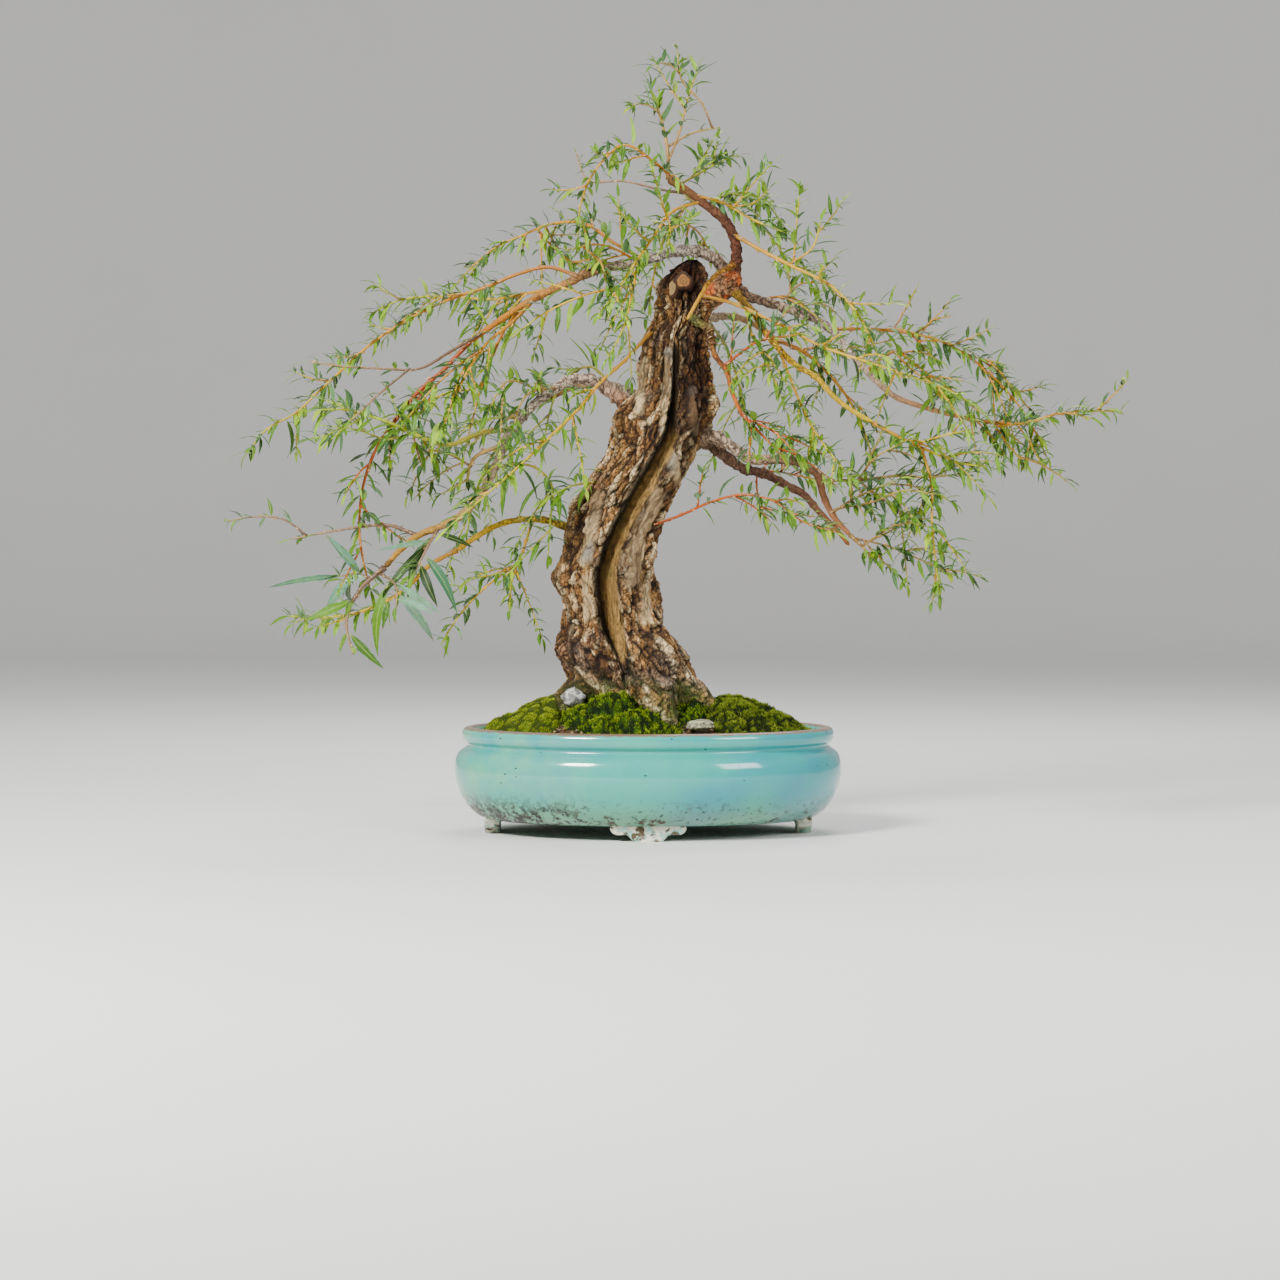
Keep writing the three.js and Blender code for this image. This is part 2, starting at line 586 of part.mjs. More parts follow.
// Leafy shoots. Each begins on a limb; its stems after the first begin on the stem before that `on` counts.
// leaves is [how many, style], or [how many, style, from this share of the stem on].
const SHOOTS = {
  shoot_top: [
    { from: 'leader', depth: [-8, -10, -14], r: [2, 0.9], leaves: [6, 'small', 0.3],
      at: [[20, 651], [21, 668], [19, 684], [14, 706], [8, 727], [1, 746]] },
    { on: 0, depth: [4, 12], r: [1.3, 0.9], leaves: [3, 'bud'],
      at: [[20, 684], [26, 693], [44, 697], [60, 696], [71, 703]] },
    { on: 1, depth: [18, 26], r: [1.1, 0.8], leaves: [5, 'small', 0.35],
      at: [[62, 697], [57, 722], [43, 736], [34, 748], [31, 766], [29, 781]] },
    { on: 0, depth: [-24, -34], r: [1.2, 0.8], leaves: [3, 'small', 0.3],
      at: [[20, 670], [29, 690], [36, 716], [42, 740], [50, 761]] },
  ],
  shoot_top_right: [
    { from: 'leader', depth: [-14, -26], r: [1.7, 0.8], leaves: [6, 'small'],
      at: [[42, 638], [62, 635], [76, 627], [90, 620], [105, 611], [120, 606], [135, 599]] },
    { on: 0, depth: [-4], r: [1.1, 0.8], leaves: [3, 'small'],
      at: [[83, 624], [98, 626], [110, 630], [121, 642]] },
  ],
  shoot_top_middle: [
    { from: 'leader', depth: [10, 30], r: [1.5, 0.8], leaves: [5, 'small'],
      at: [[31, 645], [40, 652], [56, 660], [70, 667], [82, 674]] },
    { on: 0, depth: [44, 60], r: [1.1, 0.8], leaves: [3, 'small'],
      at: [[44, 654], [52, 668], [59, 680], [66, 692]] },
  ],
  shoot_top_back: [
    { from: 'leader', depth: [30, 64, 84], r: [1.6, 0.8], leaves: [6, 'small'],
      at: [[58, 625], [74, 634], [90, 638], [108, 634], [124, 622], [136, 604]] },
  ],
  shoot_arch_top: [
    { from: 'leader', depth: [-20, -44, -60], r: [1.7, 0.8], leaves: [7, 'small'],
      at: [[34, 643], [24, 655], [10, 662], [-4, 672], [-18, 680], [-32, 678], [-46, 664], [-58, 648],
        [-66, 629], [-67, 612], [-70, 594]] },
  ],
  shoot_bare_left: [
    { from: 'leader', depth: [10, 36, 50], r: [1.5, 0.8], leaves: [4, 'bud', 0.5],
      at: [[46, 635], [30, 636], [6, 643], [-14, 648], [-40, 651], [-62, 651], [-74, 660], [-72, 678]] },
  ],
  shoot_front_fall: [
    { from: 'leader', depth: [-50, -104, -136], r: [1.7, 0.8], leaves: [6, 'small', 0.2],
      at: [[54, 628], [36, 626], [18, 614], [8, 598], [-6, 578], [-20, 558], [-34, 536], [-50, 516]] },
    { on: 0, depth: [-92, -96], r: [1.1, 0.8], leaves: [3, 'small'],
      at: [[14, 615], [22, 600], [20, 584]] },
  ],
  shoot_back_fall: [
    { from: 'leader', depth: [50, 110, 150, 168], r: [1.8, 0.8], leaves: [7, 'small'],
      at: [[74, 611], [60, 622], [44, 628], [30, 620], [20, 600], [10, 574], [4, 546], [0, 514]] },
    { on: 0, depth: [130, 158], r: [1.1, 0.8], leaves: [3, 'small'],
      at: [[27, 614], [44, 604], [58, 588], [66, 566]] },
  ],
  shoot_spread_left: [
    { from: 'arch_left', depth: [4, 44, 76, 90], r: [2, 0.9], leaves: [7, 'small'],
      at: [[-5, 571], [-21, 581], [-42, 593], [-65, 608], [-88, 609], [-105, 603], [-124, 596],
        [-148, 586], [-164, 574], [-178, 556]] },
    { on: 0, depth: [80, 84], r: [1.1, 0.8], leaves: [3, 'small'],
      at: [[-101, 604], [-95, 590], [-84, 575], [-76, 563]] },
    { on: 0, depth: [64, 58], r: [1.1, 0.8], leaves: [3, 'small'],
      at: [[-112, 600], [-94, 582], [-74, 570], [-62, 562]] },
  ],
  shoot_spread_inner: [
    { from: 'arch_left', depth: [-34, -60], r: [1.5, 0.8], leaves: [4, 'small'],
      at: [[-10, 570], [-28, 580], [-44, 586], [-62, 585], [-83, 581]] },
    { on: 0, depth: [-66, -70], r: [1.1, 0.8], leaves: [3, 'small'],
      at: [[-62, 585], [-50, 574], [-44, 562], [-42, 548]] },
  ],
  shoot_long_left: [
    { blades: [[-325, 443, -329, 414, 6, 2], [-361, 411, -352, 380, 6, 2], [-187, 535, -160, 505, 6, 4]],
      from: 'arch_left', depth: [-8, 18, 34, 40], r: [2.1, 0.9], leaves: [9, 'small', 0.15],
      at: [[-68, 555], [-95, 564], [-122, 560], [-145, 551], [-170, 541], [-196, 533], [-229, 518],
        [-248, 507], [-271, 492], [-302, 465], [-327, 442], [-361, 412], [-390, 397], [-401, 378]] },
  ],
  shoot_yellow_left: [
    { from: 'arch_left', depth: [30, 70, 96, 110], r: [1.7, 0.8], leaves: [6, 'small', 0.15],
      at: [[-93, 543], [-112, 541], [-139, 533], [-158, 532], [-185, 534], [-219, 535], [-252, 530],
        [-276, 518]] },
    { on: 0, depth: [84, 96], r: [1.1, 0.8], leaves: [3, 'middle'],
      at: [[-127, 536], [-145, 529], [-161, 520], [-176, 508]] },
  ],
  shoot_orange_left: [
    { blades: [[-130, 514, -146, 468, 7, 6], [-155, 493, -160, 432, 10, 8]],
      from: 'arch_left', depth: [-70, -104, -122], r: [1.9, 0.9], leaves: [5, 'middle', 0.3],
      at: [[-111, 534], [-130, 514], [-150, 498], [-165, 484], [-178, 464], [-190, 440], [-200, 420],
        [-208, 402]] },
    { blades: [[-185, 470, -236, 424, 12, 12]],
      on: 0, depth: [-90, -84], r: [1.1, 0.8], leaves: [3, 'middle'], at: [[-165, 484], [-186, 470],
        [-204, 452], [-222, 436], [-240, 414]] },
  ],
  shoot_hang_left: [
    { blades: [[-126, 522, -112, 494, 7, 4]],
      from: 'arch_left', depth: [-6, 6, 20], r: [1.6, 0.8], leaves: [4, 'middle', 0.3],
      at: [[-122, 528], [-134, 512], [-148, 496], [-157, 470], [-166, 448], [-186, 440], [-210, 438],
        [-228, 427]] },
  ],
  shoot_brown_left: [
    { from: 'arch_left', depth: [-70, -92, -104], r: [1.7, 0.8], leaves: [5, 'small', 0.4],
      at: [[-166, 499], [-186, 488], [-214, 469], [-238, 461], [-262, 463], [-300, 465], [-337, 470]] },
    { on: 0, depth: [-104, -116], r: [1.1, 0.8], leaves: [3, 'small'],
      at: [[-238, 461], [-264, 441], [-286, 424], [-296, 412]] },
  ],
  shoot_red_fall: [
    { from: 'arch_left', depth: [-44, -56, -64], r: [2.4, 0.9], leaves: [6, 'middle', 0.2],
      at: [[-178, 490], [-189, 478], [-203, 463], [-219, 450], [-242, 426], [-267, 388], [-279, 373],
        [-284, 349], [-288, 319], [-289, 299], [-286, 278], [-278, 243]] },
    { on: 0, depth: [-44, -30], r: [1.2, 0.8], leaves: [4, 'middle'],
      at: [[-219, 450], [-228, 436], [-236, 412], [-232, 388], [-226, 366]] },
  ],
  shoot_curtain_left: [
    { from: 'arch_left', depth: [-60, -86, -100], r: [1.6, 0.8], leaves: [5, 'small'],
      at: [[-8, 570], [-13, 548], [-18, 530], [-24, 505], [-31, 487], [-40, 474]] },
    { on: 0, depth: [-80, -70, -54], r: [1.2, 0.8], leaves: [5, 'middle'],
      at: [[-13, 548], [-30, 543], [-53, 540], [-69, 534], [-97, 522], [-124, 504], [-136, 493]] },
  ],
  shoot_orange_fall: [
    { from: [2, -18, 498], depth: [-60, -110, -150, -172], r: [1.9, 0.8], leaves: [8, 'middle', 0.2],
      at: [[2, 496], [-17, 477], [-38, 458], [-56, 441], [-66, 428], [-77, 414], [-95, 398], [-120, 374],
        [-146, 351], [-175, 326], [-198, 306]] },
  ],
  shoot_low_rise: [
    { blades: [[-106, 452, -128, 428, 6, -4], [-128, 424, -98, 400, 7, 6]],
      from: 'low_left', depth: [-60, -76], r: [1.5, 0.8], leaves: [4, 'middle', 0.2],
      at: [[-89, 446], [-106, 452], [-122, 436], [-131, 416], [-137, 396]] },
    { on: 0, depth: [-72, -92], r: [1.1, 0.8], leaves: [3, 'middle'],
      at: [[-106, 452], [-120, 456], [-138, 452], [-152, 440], [-160, 420]] },
  ],
  shoot_low_drop: [
    { blades: [[-124, 366, -106, 330, 7, 4], [-97, 361, -134, 316, 9, 6], [-98, 330, -80, 310, 9, -4],
      [-148, 366, -150, 316, 8, 10]],
      from: 'low_left', depth: [-50, -30, -20], r: [1.5, 0.8], leaves: [4, 'middle', 0.3],
      at: [[-151, 366], [-134, 366], [-118, 366], [-99, 364], [-96, 349], [-97, 330], [-98, 303],
        [-100, 276]] },
  ],
  shoot_trunk_twig: [
    { blades: [[-58, 350, -75, 322, 7, 4]],
      from: [-52, -14, 350], depth: [-38, -58], r: [1.3, 0.8], leaves: [3, 'middle', 0.3],
      at: [[-52, 350], [-72, 348], [-84, 340], [-96, 337]] },
  ],
  shoot_mid_left: [
    { from: 'low_left', depth: [-50, -70, -84, -90], r: [3, 1], leaves: [6, 'middle', 0.35],
      at: [[-135, 404], [-150, 406], [-160, 402], [-174, 396], [-196, 388], [-211, 384], [-233, 399],
        [-254, 408], [-286, 418], [-309, 428], [-321, 431]] },
    { on: 0, depth: [-104, -112], r: [1.1, 0.8], leaves: [3, 'middle'],
      at: [[-283, 416], [-302, 421], [-317, 425], [-330, 422]] },
    { on: 0, depth: [-60, -44], r: [1.2, 0.8], leaves: [3, 'middle'],
      at: [[-233, 399], [-250, 392], [-274, 396], [-296, 404], [-318, 406]] },
  ],
  shoot_mid_fork: [
    { from: 'low_left', depth: [-30, -20], r: [2.4, 1.2], leaves: [3, 'middle', 0.5],
      at: [[-144, 388], [-149, 390], [-158, 382], [-170, 375], [-183, 369], [-184, 360], [-182, 343]] },
    { on: 0, depth: [-10, 4], r: [1.3, 0.9], leaves: [3, 'middle'],
      at: [[-183, 369], [-198, 377], [-211, 382], [-230, 380]] },
  ],
  shoot_far_left: [
    { from: 'low_left', depth: [-64, -52, -44], r: [2, 0.9], leaves: [3, 'small', 0.6],
      at: [[-229, 298], [-244, 305], [-268, 307], [-289, 305], [-311, 302], [-341, 296], [-357, 293]] },
    { on: 0, depth: [-40, -30], r: [1.2, 0.8], leaves: [3, 'small'],
      at: [[-341, 296], [-352, 306], [-365, 313], [-382, 316], [-402, 314], [-421, 311]] },
  ],
  shoot_low_left_tip: [
    { from: 'low_left', depth: [-84, -90], r: [2.6, 1], leaves: [2, 'large', 0.1],
      at: [[-263, 265], [-278, 252], [-291, 239], [-299, 223], [-302, 206], [-298, 191], [-295, 177]] },
    { blades: [[-255, 267, -272, 184, 13, 6]],
      on: 0, depth: [-104, -116], r: [1.3, 0.9], leaves: [3, 'large'], at: [[-268, 261], [-256, 252],
        [-250, 240], [-252, 226]] },
    { blades: [[-307, 256, -374, 249, 8, 2], [-276, 262, -307, 251, 9, 6]],
      on: 0, depth: [-76, -66], r: [1.3, 0.9], leaves: [3, 'large'], at: [[-274, 255], [-292, 258],
        [-308, 256]] },
  ],
  shoot_low_left_mid: [
    { blades: [[-209, 303, -236, 252, 13, 12], [-228, 282, -265, 238, 10, 4], [-209, 305, -178, 290, 8, 0]],
      from: 'low_left', depth: [-78, -86], r: [1.8, 0.9], leaves: [3, 'large', 0.1],
      at: [[-207, 306], [-216, 292], [-226, 276], [-232, 262]] },
  ],
  shoot_yellow_low: [
    { from: 'low_left_back', depth: [70, 88, 98], r: [2.4, 1], leaves: [6, 'middle'],
      at: [[-191, 282], [-216, 269], [-233, 252], [-248, 239], [-268, 228], [-289, 219], [-313, 217],
        [-337, 214], [-361, 216]] },
  ],
  shoot_low_hang: [
    { from: 'low_left_back', depth: [26, 20, 12], r: [1.6, 0.9], leaves: [4, 'small', 0.3],
      at: [[-115, 313], [-116, 301], [-124, 284], [-133, 267], [-136, 250], [-137, 236], [-139, 222]] },
    { on: 0, depth: [34, 44, 50], r: [1.3, 0.8], leaves: [5, 'small', 0.3],
      at: [[-133, 267], [-148, 254], [-159, 247], [-176, 236], [-185, 221], [-196, 210], [-208, 187]] },
    { on: 0, depth: [2], r: [1.1, 0.8], leaves: [3, 'small'], at: [[-133, 267], [-150, 259], [-172, 254]] },
  ],
  shoot_back_left: [
    { from: 'back_left', depth: [190, 218, 232], r: [2.4, 0.9], leaves: [9, 'middle'],
      at: [[-100, 432], [-126, 416], [-146, 392], [-164, 360], [-176, 326], [-182, 292]] },
    { on: 0, depth: [220, 236], r: [1.3, 0.8], leaves: [4, 'middle'],
      at: [[-126, 416], [-154, 414], [-184, 402], [-212, 382]] },
  ],
  shoot_back_left_inner: [
    { from: 'back_left', depth: [120, 150, 166], r: [1.7, 0.8], leaves: [6, 'middle'],
      at: [[-36, 446], [-46, 462], [-66, 464], [-86, 448], [-98, 420], [-104, 390]] },
  ],
  shoot_back_right: [
    { from: 'back_right', depth: [180, 212, 230], r: [2.5, 0.9], leaves: [9, 'small'],
      at: [[128, 492], [152, 482], [176, 462], [198, 436], [214, 406], [224, 374]] },
    { on: 0, depth: [206, 226], r: [1.3, 0.8], leaves: [4, 'small'],
      at: [[152, 482], [180, 484], [208, 474], [236, 456]] },
  ],
  shoot_back_right_inner: [
    { from: 'back_right', depth: [130, 168, 190], r: [1.6, 0.8], leaves: [6, 'small'],
      at: [[62, 512], [72, 496], [84, 470], [92, 440], [96, 408]] },
  ],
  shoot_upper_right: [
    { from: 'leader', depth: [-30, -60, -76, -84], r: [2.2, 0.9], leaves: [7, 'small', 0.15],
      at: [[87, 597], [107, 586], [130, 570], [153, 561], [167, 555], [182, 546], [194, 535], [202, 526],
        [212, 515], [218, 503], [230, 474], [235, 459]] },
    { on: 0, depth: [-44, -38], r: [1.2, 0.8], leaves: [5, 'small', 0.1],
      at: [[143, 565], [156, 572], [163, 582], [170, 596], [174, 605], [172, 609]] },
    { on: 0, depth: [-84], r: [1.1, 0.8], leaves: [2, 'bud'],
      at: [[182, 546], [171, 553], [174, 562], [176, 567]] },
  ],
  shoot_inner_right: [
    { from: 'main_right', depth: [34, 62, 74], r: [1.6, 0.8], leaves: [5, 'small', 0.2],
      at: [[111, 532], [124, 537], [136, 536], [149, 531], [159, 522], [167, 511], [173, 502], [176, 490],
        [177, 475]] },
    { on: 0, depth: [70, 84], r: [1.1, 0.8], leaves: [3, 'small'],
      at: [[136, 536], [150, 546], [162, 550], [176, 548]] },
  ],
  shoot_high_right: [
    { from: 'main_right', depth: [64, 90, 106], r: [2, 0.9], leaves: [7, 'small'],
      at: [[180, 504], [190, 505], [212, 503], [241, 501], [263, 498], [278, 495], [299, 488], [320, 477],
        [332, 473], [345, 472], [357, 467]] },
    { on: 0, depth: [104, 116], r: [1.1, 0.8], leaves: [4, 'bud', 0.3],
      at: [[248, 501], [252, 508], [255, 519], [261, 530], [269, 546]] },
    { on: 0, depth: [80, 74], r: [1.1, 0.8], leaves: [3, 'small'],
      at: [[263, 498], [269, 494], [274, 486], [279, 480], [287, 472]] },
    { on: 0, depth: [112, 126], r: [1.1, 0.8], leaves: [3, 'bud'],
      at: [[275, 496], [285, 511], [294, 516], [302, 516]] },
    { on: 0, depth: [96, 84], r: [1.3, 0.8], leaves: [6, 'small'],
      at: [[310, 482], [331, 467], [345, 454], [357, 442], [369, 428], [381, 411], [392, 386],
        [398, 376]] },
    { on: 0, depth: [124, 130], r: [1.2, 0.8], leaves: [4, 'small'],
      at: [[332, 473], [348, 462], [360, 448], [375, 430], [392, 409]] },
  ],
  shoot_yellow_long: [
    { from: [52, -8, 536], depth: [-46, -88, -118, -136], r: [1.9, 0.8], leaves: [7, 'small', 0.1],
      at: [[52, 536], [79, 530], [107, 518], [137, 505], [158, 491], [192, 480], [204, 474], [232, 466],
        [260, 456], [290, 446], [321, 430]] },
  ],
  shoot_wired_side: [
    { from: 'wired', depth: [-60, -90], r: [1.4, 0.8], leaves: [4, 'small'],
      at: [[74, 467], [88, 479], [101, 487], [115, 491], [134, 496], [150, 497]] },
  ],
  shoot_front_hang: [
    { from: 'yellow_right', depth: [-70, -124, -160], r: [1.5, 0.8], leaves: [5, 'small', 0.2],
      at: [[98, 528], [96, 512], [102, 503], [113, 491], [121, 478], [133, 460], [139, 447]] },
  ],
  shoot_long_fall: [
    { from: 'yellow_right', depth: [-78, -120, -150], r: [1.6, 0.8], leaves: [6, 'small', 0.2],
      at: [[130, 484], [145, 446], [153, 428], [161, 410], [170, 397], [178, 384], [188, 370], [196, 361],
        [202, 355]] },
  ],
  shoot_right_fan: [
    { from: 'main_right', depth: [20, 0, -14], r: [1.7, 0.8], leaves: [7, 'small', 0.15],
      at: [[218, 462], [232, 474], [240, 482], [251, 476], [261, 471], [283, 455], [302, 442], [320, 429],
        [334, 418]] },
    { on: 0, depth: [-24, -34], r: [1.1, 0.8], leaves: [3, 'small'],
      at: [[245, 480], [262, 462], [283, 451], [297, 442]] },
    { on: 0, depth: [16, 30], r: [1.1, 0.8], leaves: [3, 'small'],
      at: [[283, 455], [300, 462], [296, 446], [283, 438], [277, 426]] },
  ],
  shoot_right_tip: [
    { from: 'main_right', depth: [54, 60, 64], r: [2.1, 0.9], leaves: [7, 'small', 0.05],
      at: [[312, 415], [340, 410], [375, 409], [392, 408], [403, 416], [417, 420], [434, 421], [459, 419],
        [473, 421]] },
    { on: 0, depth: [40, 34], r: [1.2, 0.8], leaves: [4, 'small'],
      at: [[343, 409], [351, 396], [360, 387], [370, 376], [377, 368]] },
    { on: 0, depth: [76, 88], r: [1.2, 0.8], leaves: [4, 'small'],
      at: [[347, 409], [360, 398], [372, 390], [386, 378]] },
  ],
  shoot_right_low: [
    { from: 'low_right_front', depth: [-44, -66, -80], r: [1.9, 0.8], leaves: [7, 'small', 0.05],
      at: [[172, 350], [194, 350], [209, 352], [228, 355], [245, 356], [263, 356], [283, 355], [298, 357],
        [322, 360]] },
    { on: 0, depth: [-92, -104], r: [1.2, 0.8], leaves: [5, 'small'],
      at: [[209, 352], [217, 364], [227, 374], [245, 386], [258, 391]] },
    { on: 0, depth: [-48, -40], r: [1.1, 0.8], leaves: [3, 'small'],
      at: [[209, 352], [222, 343], [236, 332], [250, 322], [264, 315]] },
  ],
  shoot_yellow_tip: [
    { from: 'yellow_right', depth: [-84, -90], r: [2, 0.8], leaves: [6, 'small'],
      at: [[225, 409], [245, 397], [261, 391], [273, 384], [293, 377], [317, 367], [340, 365]] },
    { on: 0, depth: [-108, -116], r: [1.1, 0.8], leaves: [3, 'small'],
      at: [[268, 387], [286, 394], [306, 399], [321, 402]] },
    { on: 0, depth: [-96, -106, -112], r: [1.4, 0.8], leaves: [7, 'small', 0.1],
      at: [[276, 383], [283, 360], [283, 336], [284, 309], [286, 286], [289, 262], [292, 239]] },
  ],
  shoot_right_under: [
    { from: 'low_right_front', depth: [-70, -88], r: [1.4, 0.8], leaves: [4, 'small'],
      at: [[180, 320], [194, 318], [214, 338], [232, 344], [248, 352]] },
    { on: 0, depth: [-100, -112], r: [1.1, 0.8], leaves: [3, 'small'],
      at: [[194, 318], [206, 322], [224, 330], [252, 341], [270, 341], [288, 338]] },
  ],
  shoot_inner_low: [
    { from: 'low_right_back', depth: [50, 60], r: [1.4, 0.8], leaves: [4, 'small'],
      at: [[98, 362], [116, 362], [130, 360], [142, 359], [156, 355], [166, 353]] },
    { on: 0, depth: [70, 84], r: [1.1, 0.8], leaves: [3, 'small'],
      at: [[130, 360], [140, 369], [150, 377], [158, 366]] },
    { on: 0, depth: [50, 40], r: [1.2, 0.8], leaves: [3, 'middle', 0.3],
      at: [[106, 362], [108, 344], [112, 330], [116, 316]] },
  ],
  shoot_low_right_tip: [
    { from: 'low_right_front', depth: [-64, -70], r: [2, 0.9], leaves: [2, 'small', 0.4],
      at: [[202, 297], [214, 286], [225, 274]] },
    { on: 0, depth: [-84, -96], r: [1.1, 0.8], leaves: [3, 'small'],
      at: [[213, 287], [231, 298], [246, 306], [263, 311], [279, 314]] },
    { on: 0, depth: [-50, -44], r: [1.1, 0.8], leaves: [3, 'small'],
      at: [[206, 294], [237, 287], [269, 274], [304, 258]] },
  ],
  shoot_red_low: [
    { from: [2, -14, 306], depth: [-50, -84, -104], r: [1.5, 0.8], leaves: [6, 'small', 0.25],
      at: [[2, 306], [33, 317], [56, 327], [79, 336], [106, 337], [124, 332], [141, 320], [163, 306],
        [186, 300]] },
  ],
  shoot_wired_tip: [
    { from: 'wired', depth: [-84, -96], r: [1.8, 0.8], leaves: [4, 'small'],
      at: [[93, 419], [101, 409], [113, 398], [123, 389], [132, 378]] },
    { on: 0, depth: [-112, -128], r: [1.1, 0.8], leaves: [4, 'small'],
      at: [[97, 415], [113, 407], [125, 400], [138, 393], [151, 375]] },
  ],
};

// Capsules of everything built so far, for keeping nodes clear of each other
const capsules = [];

function addCapsules(owner, points, radii) {
  for (let index = 1; index < points.length; index += 1) {
    const radius = Math.max(radii[index - 1], radii[index]);
    capsules.push({ ...owner, segment: index - 1, a: points[index - 1], b: points[index], radius });
  }
}

function segmentDistance(p1, q1, p2, q2) {
  const d1 = q1.clone().sub(p1);
  const d2 = q2.clone().sub(p2);
  const r = p1.clone().sub(p2);
  const a = d1.dot(d1);
  const e = d2.dot(d2);
  const f = d2.dot(r);
  const c = d1.dot(r);
  const b = d1.dot(d2);
  const denominator = a * e - b * b;
  let s = denominator > 1e-9 ? THREE.MathUtils.clamp((b * f - c * e) / denominator, 0, 1) : 0;
  let t = e > 1e-9 ? (b * s + f) / e : 0;
  if (t < 0 || t > 1) {
    t = THREE.MathUtils.clamp(t, 0, 1);
    s = a > 1e-9 ? THREE.MathUtils.clamp((b * t - c) / a, 0, 1) : 0;
  }
  return p1.clone().addScaledVector(d1, s).distanceTo(p2.clone().addScaledVector(d2, t));
}

function isClear(node, a, b, radius, nearLimb) {
  return capsules.every((other) => {
    if (other.node === node || (nearLimb && other.node === 'trunk')) {
      return true;
    }
    return segmentDistance(a, b, other.a, other.b) > radius + other.radius + CLEARANCE;
  });
}

function nearestOn(points, across, up) {
  let best = points[0];
  let bestDistance = Infinity;
  for (let index = 1; index < points.length; index += 1) {
    for (const share of [0, 0.25, 0.5, 0.75, 1]) {
      const point = points[index - 1].clone().lerp(points[index], share);
      const target = spot(across, up, point.y);
      const distance = target.distanceTo(point);
      if (distance < bestDistance) {
        bestDistance = distance;
        best = point;
      }
    }
  }
  return best;
}

const STEM_STEP = 34;
const FREE_START = 16;
const BEND_TRIES = [0, 7, -7, 14, -14, 22, -22, 32, -32, 44, -44];

// The stem's line from where it begins, bent forward or back until it passes clear of other nodes
function stemLine(node, route, start) {
  const straight = line(route, STEM_STEP, start.y);
  straight[0] = start.clone();
  for (const bend of BEND_TRIES) {
    const points = straight.map((point, index) => {
      const share = index / (straight.length - 1);
      return point.clone().setY(point.y + bend * Math.sin(Math.PI * Math.min(share * 1.2, 1)) ** 0.7);
    });
    const clear = points.every((point, index) => {
      if (index === 0) {
        return true;
      }
      const nearLimb = points[index - 1].distanceTo(start) < FREE_START;
      return isClear(node, points[index - 1], point, route.r[0], nearLimb);
    });
    if (clear) {
      return points;
    }
  }
  return straight;
}

// Sections of a blade: flat underneath, with a raised midrib, counter-clockwise seen from its tip
function bladeRings({ base, tip, face, width, sag }) {
  const length = base.distanceTo(tip);
  const stations = length > LONG_LEAF ? [0.32, 0.7] : [0.42];
  const forward = tip.clone().sub(base).normalize();
  const side = forward.clone().cross(face).normalize();
  const top = side.clone().cross(forward).normalize();
  return stations.map((share) => {
    const half = (width / 2) * Math.sin(Math.PI * share ** 0.8) ** 0.7;
    const centre = base.clone().lerp(tip, share).addScaledVector(top, sag * length * Math.sin(Math.PI * share));
    return [
      centre.clone().addScaledVector(side, -half),
      centre.clone().addScaledVector(top, MIDRIB_HEIGHT),
      centre.clone().addScaledVector(side, half),
    ];
  });
}

// The leafy stem is one skin: a blade's foot is a small triangle inside one facet of the stem, and the blade
// rises from it, so that stem and leaves need no joining
function leafyStem(rings, leaves) {
  const bare = loft(rings);
  const positions = Array.from(bare.getAttribute('position').array);
  const corners = Array.from(bare.getIndex().array);
  const triangles = [];
  const at = (index) => new THREE.Vector3().fromArray(positions, 3 * index);
  const push = (point) => positions.push(point.x, point.y, point.z) / 3 - 1;
  for (let facet = 0; facet < corners.length / 3; facet += 1) {
    const outer = corners.slice(3 * facet, 3 * facet + 3);
    const leaf = leaves.find((one) => one.facet === facet);
    if (!leaf) {
      triangles.push(...outer);
      continue;
    }
    const foot = leaf.foot.map(push);
    for (let step = 0; step < 3; step += 1) {
      const next = (step + 1) % 3;
      triangles.push(outer[step], outer[next], foot[next], outer[step], foot[next], foot[step]);
    }
    let below = foot;
    for (const ring of bladeRings(leaf)) {
      const turned = turnToMatch(below.map(at), ring).map(push);
      for (let step = 0; step < 3; step += 1) {
        const next = (step + 1) % 3;
        triangles.push(below[step], below[next], turned[next], below[step], turned[next], turned[step]);
      }
      below = turned;
    }
    const tip = push(leaf.tip);
    for (let step = 0; step < 3; step += 1) {
      triangles.push(below[step], below[(step + 1) % 3], tip);
    }
  }
  const geometry = new THREE.BufferGeometry();
  geometry.setAttribute('position', new THREE.Float32BufferAttribute(positions, 3));
  geometry.setIndex(triangles);
  return solid(geometry);
}

function middleOf(points) {
  const sum = new THREE.Vector3();
  for (const point of points) {
    sum.add(point);
  }
  return sum.divideScalar(points.length);
}

// The ring started from the corner that twists the skin least
function turnToMatch(below, ring) {
  const low = middleOf(below);
  const high = middleOf(ring);
  let best = ring;
  let bestFit = -Infinity;
  for (let shift = 0; shift < 3; shift += 1) {
    const turned = [0, 1, 2].map((step) => ring[(step + shift) % 3]);
    let fit = 0;
    turned.forEach((point, step) => {
      fit += point.clone().sub(high).normalize().dot(below[step].clone().sub(low).normalize());
    });
    if (fit > bestFit) {
      bestFit = fit;
      best = turned;
    }
  }
  return best;
}

